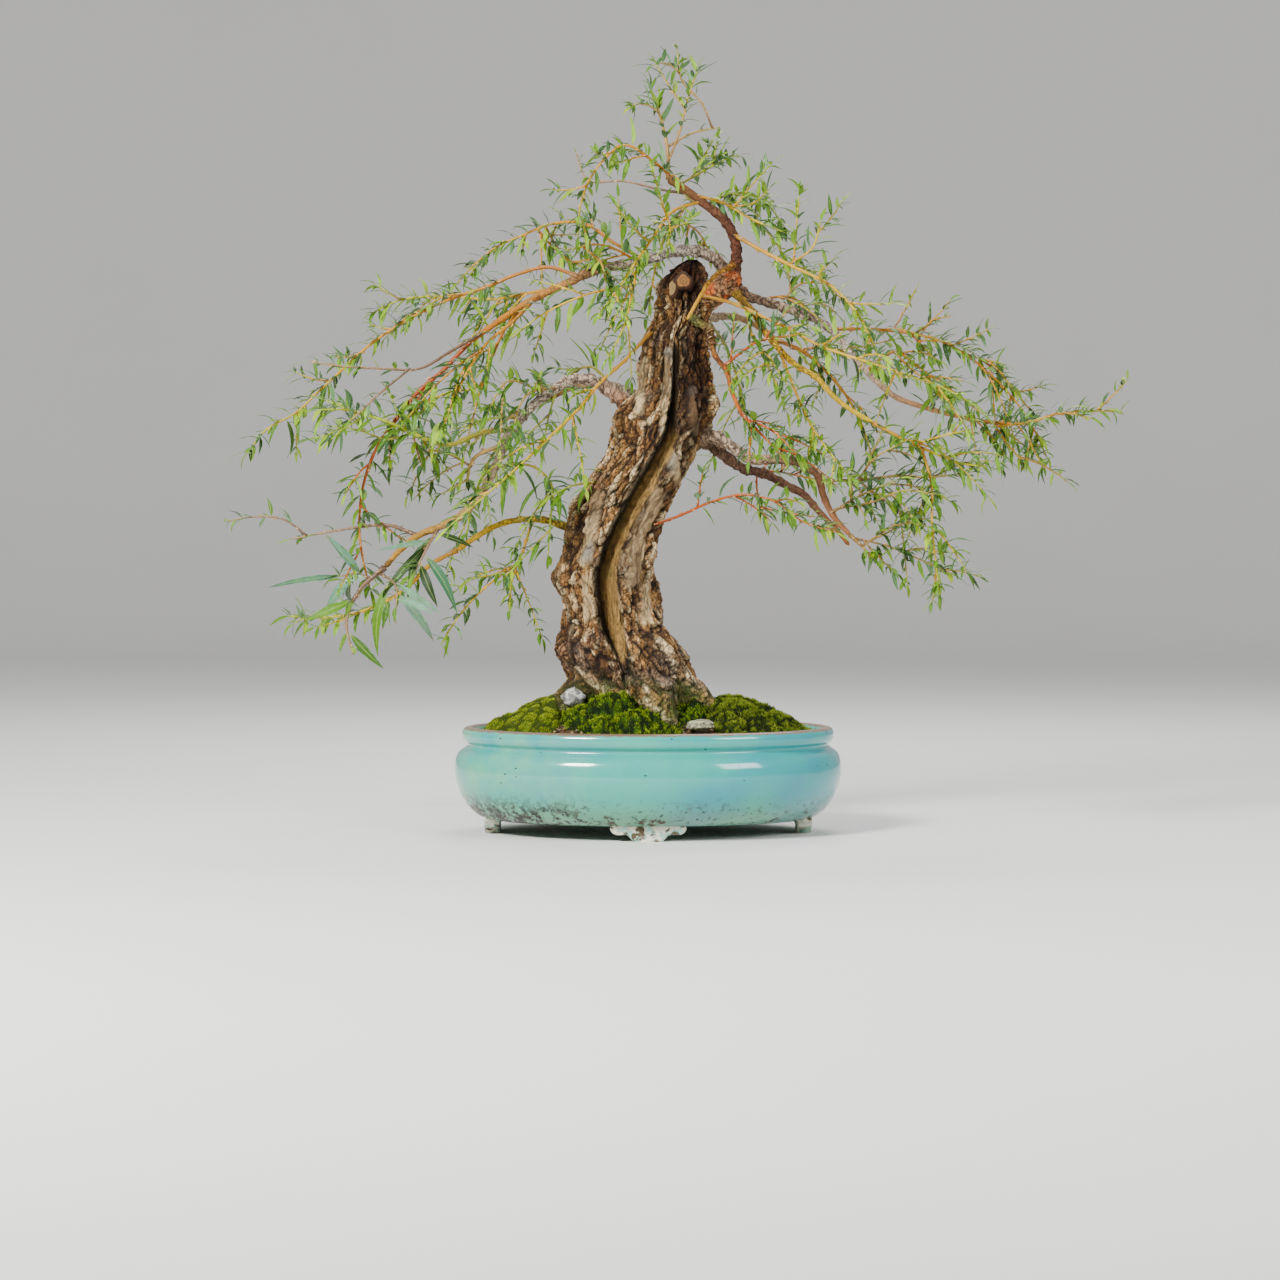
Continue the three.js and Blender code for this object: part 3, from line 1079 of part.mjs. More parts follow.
// A blade's foot in a long facet: the facet drawn in towards its middle, most of all along the stem
function footIn(corners, tangent) {
  const middle = middleOf(corners);
  return corners.map((corner) => {
    const reach = corner.clone().sub(middle);
    const lengthwise = tangent.clone().multiplyScalar(reach.dot(tangent));
    const across = reach.clone().sub(lengthwise);
    const drawn = THREE.MathUtils.clamp(FOOT_REACH / Math.max(lengthwise.length(), 1e-6), 0, 0.5);
    return middle.clone().addScaledVector(across, 0.5).addScaledVector(lengthwise, drawn);
  });
}

const LEAF_TRIES = 12;
const LONG_LEAF = 27;
const FOOT_REACH = 0.9;

function facetCorners(stem, segment, facetSide, later) {
  const low = stem.rings[segment];
  const high = stem.rings[segment + 1];
  const next = (facetSide + 1) % SHOOT_SIDES;
  return later
    ? [low[facetSide], high[next], high[facetSide]]
    : [low[facetSide], low[next], high[next]];
}

function facetNormal([first, second, third]) {
  return second.clone().sub(first).cross(third.clone().sub(first)).normalize();
}

// One leaf at a share of a stem: the facet it stands on, its tip and its upper side, tried until it is clear
function growLeaf(node, stem, share, count, style, taken) {
  const segments = stem.points.length - 1;
  const place = share * segments;
  const segment = Math.min(Math.floor(place), segments - 1);
  const tangent = stem.points[segment + 1].clone().sub(stem.points[segment]).normalize();
  const { long, wide } = LEAF_STYLES[style];
  for (let attempt = 0; attempt < LEAF_TRIES; attempt += 1) {
    const lean = between(0.45, 1.05);
    const swing = between(-0.6, 0.6);
    const droop = between(0, 0.55);
    const length = between(...long) * (1 - 0.3 * share);
    const width = between(...wide);
    const sag = between(0.03, 0.1);
    const facetSide = (count + Math.floor(attempt / 2)) % SHOOT_SIDES;
    const later = (place - segment >= 0.5) !== (attempt % 2 === 1) ? 1 : 0;
    const facet = 2 * (segment * SHOOT_SIDES + facetSide) + later;
    if (taken.has(facet)) {
      continue;
    }
    const corners = facetCorners(stem, segment, facetSide, later);
    const normal = facetNormal(corners);
    const across = normal.clone().cross(tangent);
    const direction = tangent.clone().multiplyScalar(lean).add(normal)
      .addScaledVector(across, swing).addScaledVector(UP, -droop).normalize();
    const foot = footIn(corners, tangent);
    const base = middleOf(foot);
    const tip = base.clone().addScaledVector(direction, length);
    const leaf = { facet, foot, base, tip, width, sag, face: UP.clone().addScaledVector(normal, 0.35) };
    const steep = direction.dot(normal) > 0.4;
    if (steep && tip.z > LOWEST_TIP && isLeafClear(node, stem, segment, leaf)) {
      taken.add(facet);
      return leaf;
    }
  }
  return null;
}

const LOWEST_TIP = 168;

function isLeafClear(node, stem, segment, { base, tip, width }) {
  const from = base.clone().lerp(tip, Math.min(4 / base.distanceTo(tip), 0.3));
  const middle = base.clone().lerp(tip, 0.3);
  return capsules.every((other) => {
    if (other.node !== node) {
      return segmentDistance(from, tip, other.a, other.b) > width * 0.4 + other.radius + CLEARANCE;
    }
    if (other.leaf) {
      return segmentDistance(middle, tip, other.a, other.b) > width * 0.35 + other.radius * 0.8 + 0.4;
    }
    if (other.stem === stem && Math.abs(other.segment - segment) < 2) {
      return true;
    }
    return segmentDistance(from, tip, other.a, other.b) > width * 0.35 + other.radius + 0.4;
  });
}

function addLeafCapsule(node, { base, tip, width }) {
  addCapsules({ node, leaf: true }, [base.clone().lerp(tip, 0.3), tip], [width * 0.4, width * 0.4]);
}

// A leaf whose place is set by hand, [across, up] to [across, up] as seen from the front, its width, and how far
// its tip comes forward: it stands on the free facet that lies nearest and faces its tip
function placeLeaf(stem, [across, up, tipAcross, tipUp, width, forward], taken) {
  let best = null;
  for (let segment = 0; segment < stem.points.length - 1; segment += 1) {
    const tangent = stem.points[segment + 1].clone().sub(stem.points[segment]).normalize();
    for (let choice = 0; choice < 2 * SHOOT_SIDES; choice += 1) {
      const facet = 2 * segment * SHOOT_SIDES + choice;
      const corners = facetCorners(stem, segment, Math.floor(choice / 2), choice % 2);
      const foot = footIn(corners, tangent);
      const base = middleOf(foot);
      const tip = spot(tipAcross, tipUp, base.y - forward);
      const normal = facetNormal(corners);
      const facing = tip.clone().sub(base).normalize().dot(normal);
      const miss = spot(across, up, base.y).distanceTo(base) + 14 * Math.max(0, 0.75 - facing);
      if (!taken.has(facet) && facing > 0.25 && (!best || miss < best.miss)) {
        const face = UP.clone().addScaledVector(normal, 0.35);
        best = { facet, foot, base, tip, width, face, sag: 0.07, miss };
      }
    }
  }
  taken.add(best.facet);
  return best;
}

function makeShoot(node, routes, shootNumber) {
  const stems = [];
  for (const route of routes) {
    let start;
    if (Array.isArray(route.from)) {
      start = new THREE.Vector3(...route.from);
    } else {
      const parent = route.from ? limbLines[route.from] : stems[route.on].points;
      start = nearestOn(parent, ...route.at[0]);
    }
    const points = stemLine(node, route, start);
    const radii = radiiOf(route, points.length);
    const stem = { points, rings: tubeRings(points, radii, SHOOT_SIDES) };
    stems.push(stem);
    addCapsules({ node, stem }, points, radii);
  }
  const pieces = stems.map((stem, number) => {
    const [count, style, from = 0.12] = routes[number].leaves;
    const taken = new Set();
    const leaves = (routes[number].blades ?? []).map((seen) => placeLeaf(stem, seen, taken));
    for (const leaf of leaves) {
      addLeafCapsule(node, leaf);
    }
    for (let step = 0; step < count; step += 1) {
      seed(shootNumber, number, step);
      const share = from + ((0.985 - from) * (step + 0.6)) / count;
      const leaf = growLeaf(node, stem, share, step, style, taken);
      if (leaf) {
        leaves.push(leaf);
        addLeafCapsule(node, leaf);
      }
    }
    return leafyStem(stem.rings, leaves);
  });
  return join(pieces);
}

// The whole tree, bed and pot
const MATERIALS = {
  glaze: { color: 0x82c8be, roughness: 0.18, metalness: 0 },
  soil: { color: 0x4a3626, roughness: 0.95, metalness: 0 },
  mossYellow: { color: 0x8f9a1e, roughness: 0.9, metalness: 0 },
  mossGreen: { color: 0x6f9418, roughness: 0.9, metalness: 0 },
  mossDark: { color: 0x55641c, roughness: 0.9, metalness: 0 },
  stoneGrey: { color: 0xa5a49c, roughness: 0.85, metalness: 0 },
  bark: { color: 0x93765a, roughness: 0.88, metalness: 0 },
  leaf: { color: 0x5f8a3a, roughness: 0.6, metalness: 0 },
  wire: { color: 0x7a5a44, roughness: 0.45, metalness: 0.9 },
  screen: { color: 0x1c1c1c, roughness: 0.6, metalness: 0 },
};

const group = new THREE.Group();

function addPart(name, shape, material) {
  const mesh = shape.asOriginal().simplify(SMALLEST_EDGE).getMesh();
  const geometry = new THREE.BufferGeometry();
  geometry.setAttribute('position', new THREE.BufferAttribute(mesh.vertProperties, 3));
  geometry.setIndex(new THREE.BufferAttribute(mesh.triVerts, 1));
  const part = new THREE.Mesh(geometry, new THREE.MeshStandardMaterial({ ...material, flatShading: true }));
  part.name = name;
  group.add(part);
}

const trunkGrown = makeTrunk(GAP);
addPart('pot', makePot(), MATERIALS.glaze);
addPart('drain_screen_left', makeScreen(-DRAIN_SPACING / 2), MATERIALS.screen);
addPart('drain_screen_right', makeScreen(DRAIN_SPACING / 2), MATERIALS.screen);

const stones = {};
for (const [name, stone] of Object.entries(STONES)) {
  stones[name] = makeStone(stone);
}
const screenRooms = [-1, 1].map((way) => {
  const width = SCREEN_SIZE + 2 * GAP;
  const room = new THREE.BoxGeometry(width, width, 2 * (SCREEN_THICKNESS + 2 * GAP));
  room.translate((way * DRAIN_SPACING) / 2, 0, FLOOR_TOP);
  return solid(room);
});
addPart('soil', makeBed(0).subtract(join([trunkGrown, ...screenRooms])), MATERIALS.soil);

const bedCutter = makeBed(GAP);
const mossColours = {
  moss_left: MATERIALS.mossYellow,
  moss_middle: MATERIALS.mossGreen,
  moss_right: MATERIALS.mossDark,
};
const mossShapes = {};
for (const [name, cushion] of Object.entries(MOSS)) {
  mossShapes[name] = largest(makeMoss(cushion).subtract(join([bedCutter, trunkGrown])));
  addPart(name, mossShapes[name], mossColours[name]);
}
const bedAndMoss = join([bedCutter, ...Object.values(mossShapes)]);
for (const [name, shape] of Object.entries(stones)) {
  addPart(name, largest(shape.subtract(join([bedAndMoss, trunkGrown]))), MATERIALS.stoneGrey);
}
addPart('trunk', largest(makeTrunk(0).subtract(solid(hollow()))), MATERIALS.bark);
addPart('training_wire', makeWire(), MATERIALS.wire);

for (const [name, route] of Object.entries(LIMBS)) {
  addCapsules({ node: 'trunk' }, limbLines[name], radiiOf(route, limbLines[name].length));
}
for (let row = 1; row < TRUNK_SECTIONS.length; row += 1) {
  const [lowHeight, lowCentre, lowHalf] = TRUNK_SECTIONS[row - 1];
  const [height, centre, half] = TRUNK_SECTIONS[row];
  const ends = [new THREE.Vector3(lowCentre, 0, lowHeight), new THREE.Vector3(centre, 0, height)];
  addCapsules({ node: 'trunk' }, ends, [lowHalf * 0.9, half * 0.9]);
}
Object.entries(SHOOTS).forEach(([name, stems], number) => {
  const shape = largest(makeShoot(name, stems, number).subtract(trunkGrown));
  addPart(name, shape, MATERIALS.leaf);
});

// The origin is the middle of the whole part's box, on the surface that it stands on
const box = new THREE.Box3().setFromObject(group);
group.position.set(-(box.min.x + box.max.x) / 2, -(box.min.y + box.max.y) / 2, -box.min.z);
group.updateMatrixWorld(true);

export default group;
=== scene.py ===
"""The looks of a weeping willow bonsai in its oval glazed pot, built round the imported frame.

Routes, sections and the leaf rule are those of the CAD source, in millimetres from the pot's centre on the
surface it stands on; add_piece() turns them into metres in the row frame.
"""
import math

import bpy
import numpy as np
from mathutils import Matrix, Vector


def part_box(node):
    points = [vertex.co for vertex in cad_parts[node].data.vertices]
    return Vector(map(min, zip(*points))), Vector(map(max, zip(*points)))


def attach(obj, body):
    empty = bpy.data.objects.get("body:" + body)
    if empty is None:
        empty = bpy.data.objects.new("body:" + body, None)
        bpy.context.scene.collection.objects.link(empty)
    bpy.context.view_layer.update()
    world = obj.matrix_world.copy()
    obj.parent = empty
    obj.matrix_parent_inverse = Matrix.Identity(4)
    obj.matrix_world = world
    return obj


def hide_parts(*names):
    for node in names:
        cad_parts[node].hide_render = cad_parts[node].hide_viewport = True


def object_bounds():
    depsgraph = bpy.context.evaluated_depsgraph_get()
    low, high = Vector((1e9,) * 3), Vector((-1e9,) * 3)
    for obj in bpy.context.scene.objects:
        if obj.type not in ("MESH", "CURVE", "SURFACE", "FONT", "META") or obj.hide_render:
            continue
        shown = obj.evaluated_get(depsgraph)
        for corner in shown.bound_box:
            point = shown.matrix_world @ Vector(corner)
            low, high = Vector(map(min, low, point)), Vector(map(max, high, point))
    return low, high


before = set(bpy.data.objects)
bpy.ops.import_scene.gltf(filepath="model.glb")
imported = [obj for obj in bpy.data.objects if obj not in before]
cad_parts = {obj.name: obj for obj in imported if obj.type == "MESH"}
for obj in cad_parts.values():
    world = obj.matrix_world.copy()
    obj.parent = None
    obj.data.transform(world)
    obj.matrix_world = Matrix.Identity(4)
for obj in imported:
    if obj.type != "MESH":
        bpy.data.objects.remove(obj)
CAD_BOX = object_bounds()

MM = 0.001
POT_LOW, POT_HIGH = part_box("pot")
POT_CENTRE = np.array([(POT_LOW.x + POT_HIGH.x) / 2, (POT_LOW.y + POT_HIGH.y) / 2, 0.0])
UP = np.array([0.0, 0.0, 1.0])

# Driving dimensions of the pot, the bed and the tree, as in the CAD source
RIM_HALF_LENGTH = 185.5
RIM_HALF_DEPTH = 134.5
POT_HEIGHT = 105
FOOT_HEIGHT = 17
WALL = 11
FLOOR_TOP = 27
DRAIN_RADIUS = 11
DRAIN_SPACING = 140
BED_EDGE_HEIGHT = 97
MOUND_HEIGHT = 34
TRUNK_FOOT = 74
TRUNK_DEPTH_RATIO = 0.8
GAP = 0.3
# The place that the photo was taken from
VIEW_DISTANCE = 3400
EYE_ACROSS = -8
EYE_HEIGHT = 315


# Colours

def rgb(code):
    """Linear red, green and blue of a six-digit colour."""
    values = [int(code[i : i + 2], 16) / 255 for i in (0, 2, 4)]
    return np.array([v / 12.92 if v <= 0.04045 else ((v + 0.055) / 1.055) ** 2.4 for v in values])


def mix(low, high, share):
    """From low to high by share, also for whole lists of shares; either may be a colour's code."""
    share = np.clip(np.asarray(share, float), 0, 1)
    low, high = (rgb(end) if isinstance(end, str) else np.asarray(end, float) for end in (low, high))
    if low.ndim and share.ndim:
        share = share[..., None]
    return low + (high - low) * share


def smooth_step(low, high, value):
    """0 at low, 1 at high and smooth between them; low may be the larger one."""
    t = np.clip((np.asarray(value, float) - low) / (high - low), 0, 1)
    return t * t * (3 - 2 * t)


# Noise that is the same at every run

def scatter(cell, salt):
    """One number from 0 to 1 for each whole-number cell."""
    n = cell[..., 0] * 73856093 ^ cell[..., 1] * 19349663 ^ cell[..., 2] * 83492791 ^ salt * 26544357
    n = ((n ^ (n >> 13)) * 1274126177) & 0xFFFFFFFF
    n = ((n ^ (n >> 15)) * 2246822519) & 0xFFFFFFFF
    return ((n ^ (n >> 16)) & 0xFFFFFF) / 0xFFFFFF


def noise(points, salt=0):
    """Smooth noise from -1 to 1, about one bump for each unit."""
    base = np.floor(points).astype(np.int64)
    t = points - base
    t = t * t * (3 - 2 * t)
    total = np.zeros(points.shape[:-1])
    for corner in np.ndindex(2, 2, 2):
        weight = np.prod(np.where(corner, t, 1 - t), axis=-1)
        total += weight * scatter(base + np.array(corner), salt)
    return 2 * total - 1


def layered_noise(points, layers=3, salt=0):
    """Noise with finer and weaker layers on top."""
    total, size, height = 0, 1.0, 1.0
    for layer in range(layers):
        total = total + height * noise(points * size, salt + 11 * layer)
        size, height = size * 2.1, height * 0.5
    return total / 1.75


def plates(points, salt=0):
    """How far each point is from the crack between two plates, and a random number for its plate."""
    base = np.floor(points).astype(np.int64)
    nearest = np.full(points.shape[:-1], 9.0)
    second = np.full(points.shape[:-1], 9.0)
    tint = np.zeros(points.shape[:-1])
    for step in np.ndindex(3, 3, 3):
        cell = base + np.array(step) - 1
        centre = cell + np.stack([scatter(cell, salt + k) for k in (1, 2, 3)], axis=-1)
        distance = np.linalg.norm(points - centre, axis=-1)
        closer = distance < nearest
        second = np.where(closer, nearest, np.minimum(second, distance))
        tint = np.where(closer, scatter(cell, salt + 4), tint)
        nearest = np.where(closer, distance, nearest)
    return second - nearest, tint


# Meshes

def link(name, data):
    """An object of the scene that holds the data."""
    holder = bpy.data.objects.new(name, data)
    bpy.context.scene.collection.objects.link(holder)
    return holder


def add_piece(name, points, faces, material, replaces, tones=None, blade=None):
    """One piece from points in millimetres, with its colours and its leaf coordinates point by point."""
    mesh = bpy.data.meshes.new(name)
    mesh.from_pydata((np.asarray(points, float) * MM + POT_CENTRE).tolist(), [], faces)
    mesh.validate()
    if tones is not None:
        colours = np.ones((len(points), 4), np.float32)
        colours[:, :3] = tones
        mesh.attributes.new("tone", "FLOAT_COLOR", "POINT").data.foreach_set("color", colours.ravel())
    if blade is not None:
        values = np.asarray(blade, np.float32)
        mesh.attributes.new("blade", "FLOAT_VECTOR", "POINT").data.foreach_set("vector", values.ravel())
    mesh.polygons.foreach_set("use_smooth", [True] * len(mesh.polygons))
    mesh.materials.append(material)
    piece = link(name, mesh)
    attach(piece, "root")
    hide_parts(replaces)


class Skin:
    """Points, faces, colours and leaf coordinates of one piece, gathered part by part."""

    def __init__(self):
        self.points, self.faces, self.tones, self.blade, self.count = [], [], [], [], 0

    def add(self, points, faces, tones=1.0, blade=0.0):
        points = np.asarray(points, float).reshape(-1, 3)
        self.points.append(points)
        self.faces.extend([tuple(self.count + corner for corner in face) for face in faces])
        for gathered, values in ((self.tones, tones), (self.blade, blade)):
            values = np.asarray(values, float)
            values = values.reshape(-1, 3) if values.ndim > 1 else values
            gathered.append(np.broadcast_to(values, points.shape))
        self.count += len(points)

    def piece(self, name, material, replaces, slot):
        points, tones, blade = (np.concatenate(parts) for parts in (self.points, self.tones, self.blade))
        add_piece(name, points, self.faces, material, replaces, tones, blade)


def sheet_faces(rows, columns, around=True, flip=False):
    """Faces of a grid of rows by columns, closed round its columns or open."""
    faces = []
    for row in range(rows - 1):
        for column in range(columns if around else columns - 1):
            after = (column + 1) % columns
            face = (row * columns + column, row * columns + after,
                    (row + 1) * columns + after, (row + 1) * columns + column)
            faces.append(face[::-1] if flip else face)
    return faces


# Lines and tubes

def circle(count):
    """Evenly spaced directions of a full turn."""
    return 2 * np.pi * np.arange(count) / count


def unit(vector):
    return vector / np.linalg.norm(vector)


def turned(points, turn):
    """Points turned round the vertical, by an angle in radians."""
    c, s = math.cos(turn), math.sin(turn)
    x, y, z = points.T
    return np.column_stack([c * x - s * y, s * x + c * y, z])


def flat_points(x, y):
    return np.stack([x, y, np.zeros_like(x)], axis=-1)


def spot(across, up, depth):
    """The place that is seen from the front at [across, up] and lies that deep."""
    scale = 1 + depth / VIEW_DISTANCE
    x = EYE_ACROSS + (across - EYE_ACROSS) * scale
    z = EYE_HEIGHT + (up - EYE_HEIGHT) * scale
    return np.array([x, depth, z])


def along(values, share):
    """The value at a share of the way along an even list."""
    return np.interp(share, np.linspace(0, 1, len(values)), values)


def curve_points(route, count):
    """A centripetal Catmull-Rom curve through the route at count + 1 places, evenly spaced."""
    p = np.asarray(route, float)
    first, last = 2 * p[0] - p[1], 2 * p[-1] - p[-2]
    p = np.vstack([first, p, last])
    dense = []
    steps = np.linspace(0, 1, 201)
    pieces = len(p) - 3
    for t in steps * pieces:
        k = min(int(t), pieces - 1)
        dense.append(curve_at(p[k : k + 4], t - k if t < pieces else 1.0))
    dense = np.array(dense)
    reach = np.concatenate([[0], np.cumsum(np.linalg.norm(np.diff(dense, axis=0), axis=1))])
    wanted = np.linspace(0, reach[-1], count + 1)
    places = np.interp(wanted, reach, steps) * pieces
    found = []
    for t in places:
        k = min(int(t), pieces - 1)
        found.append(curve_at(p[k : k + 4], t - k))
    return np.array(found), reach[-1]


def curve_at(four, t):
    """The curve's place between the second and third of four points."""
    p0, p1, p2, p3 = four
    d0, d1, d2 = (max(np.sum((b - a) ** 2) ** 0.25, 1e-4) for a, b in ((p0, p1), (p1, p2), (p2, p3)))
    t1 = ((p1 - p0) / d0 - (p2 - p0) / (d0 + d1) + (p2 - p1) / d1) * d1
    t2 = ((p2 - p1) / d1 - (p3 - p1) / (d1 + d2) + (p3 - p2) / d2) * d1
    return p1 + t1 * t + (3 * (p2 - p1) - 2 * t1 - t2) * t**2 + (2 * (p1 - p2) + t1 + t2) * t**3


def line(route, step, start=None):
    """A smooth line through a route, with depth taken from its even list."""
    flat = [[across, 0, up] for across, up in route["at"]]
    length = curve_points(flat, 2)[1]
    count = max(2, round(length / step))
    seen = curve_points(flat, count)[0]
    depths = route["depth"] if start is None else [start, *route["depth"]]
    return np.array([spot(p[0], p[2], along(depths, i / count)) for i, p in enumerate(seen)])


def frames(points):
    """Tangents and two cross directions along a line, turned with it and never twisted."""
    points = np.asarray(points, float)
    ahead = np.vstack([points[1:], points[-1:]]) - np.vstack([points[:1], points[:-1]])
    ahead /= np.linalg.norm(ahead, axis=1)[:, None]
    side = np.array([0.0, -1.0, 0.0])
    if abs(ahead[0] @ side) > 0.9:
        side = np.array([1.0, 0.0, 0.0])
    sides = []
    for tangent in ahead:
        side = side - tangent * (tangent @ side)
        side = side / np.linalg.norm(side)
        sides.append(side)
    sides = np.array(sides)
    return ahead, sides, np.cross(ahead, sides)


def tube_rings(points, radii, sides):
    """Rings of points round a line; radii is one number a point, or one a point and side."""
    _, side, other = frames(points)
    turn = circle(sides)
    radii = np.asarray(radii, float)
    if radii.ndim == 1:
        radii = radii[:, None] * np.ones(sides)
    around = np.cos(turn)[:, None] * side[:, None, :] + np.sin(turn)[:, None] * other[:, None, :]
    return np.asarray(points)[:, None, :] + radii[:, :, None] * around


def tube_faces(rings, sides):
    """Faces of a tube with both ends closed, its rings counter-clockwise seen from its end."""
    last = (rings - 1) * sides
    caps = [tuple(range(sides))[::-1], tuple(range(last, last + sides))]
    return sheet_faces(rings, sides) + caps


# Materials

class Look:
    """A material's node tree: each call adds a node and gives back its socket."""

    def __init__(self, name, **constants):
        self.material = bpy.data.materials.new(name)
        self.material.use_nodes = True
        self.tree = self.material.node_tree
        self.shader = self.tree.nodes["Principled BSDF"]
        for socket, value in constants.items():
            self.shader.inputs[socket.replace("_", " ")].default_value = value
        self.place = self.node("TexCoord", out="Object")

    def node(self, kind, inputs=None, out=0, **settings):
        node = self.tree.nodes.new("ShaderNode" + kind)
        for key, value in settings.items():
            setattr(node, key, value)
        for key, value in (inputs or {}).items():
            self.feed(node.inputs[key], value)
        return node.outputs[out]

    def feed(self, socket, value):
        """Link a socket, or set its constant; a string is a colour's code."""
        if isinstance(value, bpy.types.NodeSocket):
            self.tree.links.new(value, socket)
        elif isinstance(value, str):
            socket.default_value = (*rgb(value), 1.0)
        else:
            socket.default_value = value

    def finish(self, colour, roughness, normal):
        """Set what every look sets, and give back the material."""
        for socket, value in (("Base Color", colour), ("Roughness", roughness), ("Normal", normal)):
            self.feed(self.shader.inputs[socket], value)
        return self.material

    def attribute(self, name, out="Color"):
        return self.node("Attribute", out=out, attribute_name=name)

    def axis(self, vector, index):
        """The vector's X, Y or Z as index 0, 1 or 2."""
        return self.node("SeparateXYZ", {"Vector": vector}, out=index)

    def math(self, operation, *values):
        return self.node("Math", dict(enumerate(values)), operation=operation)

    def times(self, first, second):
        return self.math("MULTIPLY", first, second)

    def band(self, value, low, high):
        """0 below low, 1 above high, smooth between them."""
        inputs = {"Value": value, "From Min": low, "From Max": high}
        return self.node("MapRange", inputs, interpolation_type="SMOOTHSTEP")

    def ramp(self, value, low, high, start=0.0, end=1.0):
        """From low to high while value goes from start to end."""
        inputs = {"Value": value, "From Min": start, "From Max": end, "To Min": low, "To Max": high}
        return self.node("MapRange", inputs)

    def grain(self, size, detail=3.0, roughness=0.55):
        """Noise whose bumps are size metres across."""
        inputs = {"Vector": self.place, "Scale": 1 / size, "Detail": detail, "Roughness": roughness}
        return self.node("TexNoise", inputs)

    def cells(self, size, feature="F1", out="Distance", vector=None):
        """Cells that are size metres across."""
        inputs = {"Vector": vector or self.place, "Scale": 1 / size}
        return self.node("TexVoronoi", inputs, out=out, feature=feature)

    def blend(self, share, low, high, kind="MIX"):
        node = self.tree.nodes.new("ShaderNodeMix")
        node.data_type, node.blend_type = "RGBA", kind
        for index, value in ((0, share), (6, low), (7, high)):
            self.feed(node.inputs[index], value)
        return node.outputs[2]

    def shaded(self, colour, pattern, dark, light, start=0.3, end=0.7):
        """The colour made darker or lighter while the pattern goes from start to end."""
        return self.blend(1.0, colour, self.ramp(pattern, dark, light, start, end), "MULTIPLY")

    def bump(self, height, distance, strength=1.0, normal=None):
        inputs = {"Height": height, "Distance": distance, "Strength": strength}
        if normal:
            inputs["Normal"] = normal
        return self.node("Bump", inputs)


def glaze_look():
    """A worn turquoise glaze, cloudy, crazed and specked, with a bare brown rim and crusts of lime below."""
    look = Look("glaze", Coat_Weight=0.5, Coat_Roughness=0.06)
    x, z = look.axis(look.place, 0), look.axis(look.place, 2)
    middle = POT_CENTRE[0]
    colour = look.blend(look.band(look.grain(0.09, 2.0), 0.35, 0.68), "2fa08e", "1b8a95")
    left = look.band(x, middle + 0.06, middle - 0.2)
    pale = look.times(left, look.band(look.grain(0.05, 3.0), 0.3, 0.7))
    colour = look.blend(look.times(pale, 0.75), colour, "6cb583")
    crazing = look.band(look.cells(0.009, "DISTANCE_TO_EDGE"), 0.035, 0.0)
    colour = look.blend(look.times(crazing, 0.16), colour, "3f7f7c")
    dashes = {"Vector": look.place, "Scale": (0.6, 0.6, 1.3), "Rotation": (0.3, 0.5, 0.2)}
    dashes = look.node("Mapping", dashes)
    speck = look.band(look.cells(0.012, vector=dashes), 0.1, 0.06)
    rare = look.band(look.grain(0.02, 1.0), 0.44, 0.49)
    colour = look.blend(look.times(speck, rare), colour, "1e3a35")
    low = look.band(z, 0.047, 0.018)
    leftward = look.band(x, middle + 0.08, middle - 0.14)
    spread = look.math("ADD", look.grain(0.018, 5.0, 0.7), look.times(leftward, 0.08))
    crust = look.times(low, look.band(spread, 0.58, 0.64))
    colour = look.blend(look.times(low, 0.3), colour, "8c9448")
    colour = look.blend(crust, colour, "33220d")
    left_more = look.times(look.band(x, middle, middle - 0.14), 0.09)
    black = look.math("ADD", look.grain(0.006, 5.0, 0.75), left_more)
    black = look.times(look.band(black, 0.575, 0.62), look.band(z, 0.05, 0.024))
    colour = look.blend(black, colour, "140d06")
    rim = look.math("ADD", z, look.times(look.grain(0.006, 3.0), 0.003))
    rim = look.band(rim, 0.1046, 0.1058)
    colour = look.blend(rim, colour, "6d5742")
    rough = look.math("MAXIMUM", look.math("MAXIMUM", crust, black), rim)
    relief = look.bump(look.grain(0.03, 2.0), 0.0012, 0.25)
    relief = look.bump(look.math("ADD", crust, black), 0.0006, 0.5, relief)
    return look.finish(colour, look.math("MULTIPLY_ADD", rough, 0.55, 0.14), relief)


def foot_look():
    """The feet's glaze is nearly hidden under a flaking white crust."""
    look = Look("foot_crust", Specular_IOR_Level=0.35)
    crust = look.band(look.grain(0.012, 5.0, 0.7), 0.4, 0.52)
    flakes = look.band(look.cells(0.011), 0.52, 0.38)
    bare = look.times(flakes, look.band(look.grain(0.01, 4.0, 0.7), 0.46, 0.56))
    colour = look.blend(bare, look.blend(crust, "8ec7b6", "d5d3c0"), "50422a")
    relief = look.bump(look.math("SUBTRACT", crust, bare), 0.0012, 0.8)
    return look.finish(colour, look.ramp(crust, 0.3, 0.8), relief)


def toned_look(name, roughness, grains, specks=None, **constants):
    """A surface coloured point by point, broken up by grains given as (size, darkest, bump depth)."""
    look = Look(name, **constants)
    colour, normal = look.attribute("tone"), None
    for size, darkest, depth in grains:
        pattern = look.grain(size, 4.0, 0.65)
        colour = look.shaded(colour, pattern, darkest, 2 - darkest)
        normal = look.bump(pattern, depth, 1.0, normal)
    if specks:
        size, tint, share = specks
        spots = look.band(look.cells(size), 0.22, 0.12)
        colour = look.blend(look.times(spots, share), colour, tint)
    uneven = look.ramp(look.grain(0.01, 3.0), roughness - 0.08, roughness + 0.08, 0.3, 0.7)
    return look.finish(colour, uneven, normal)


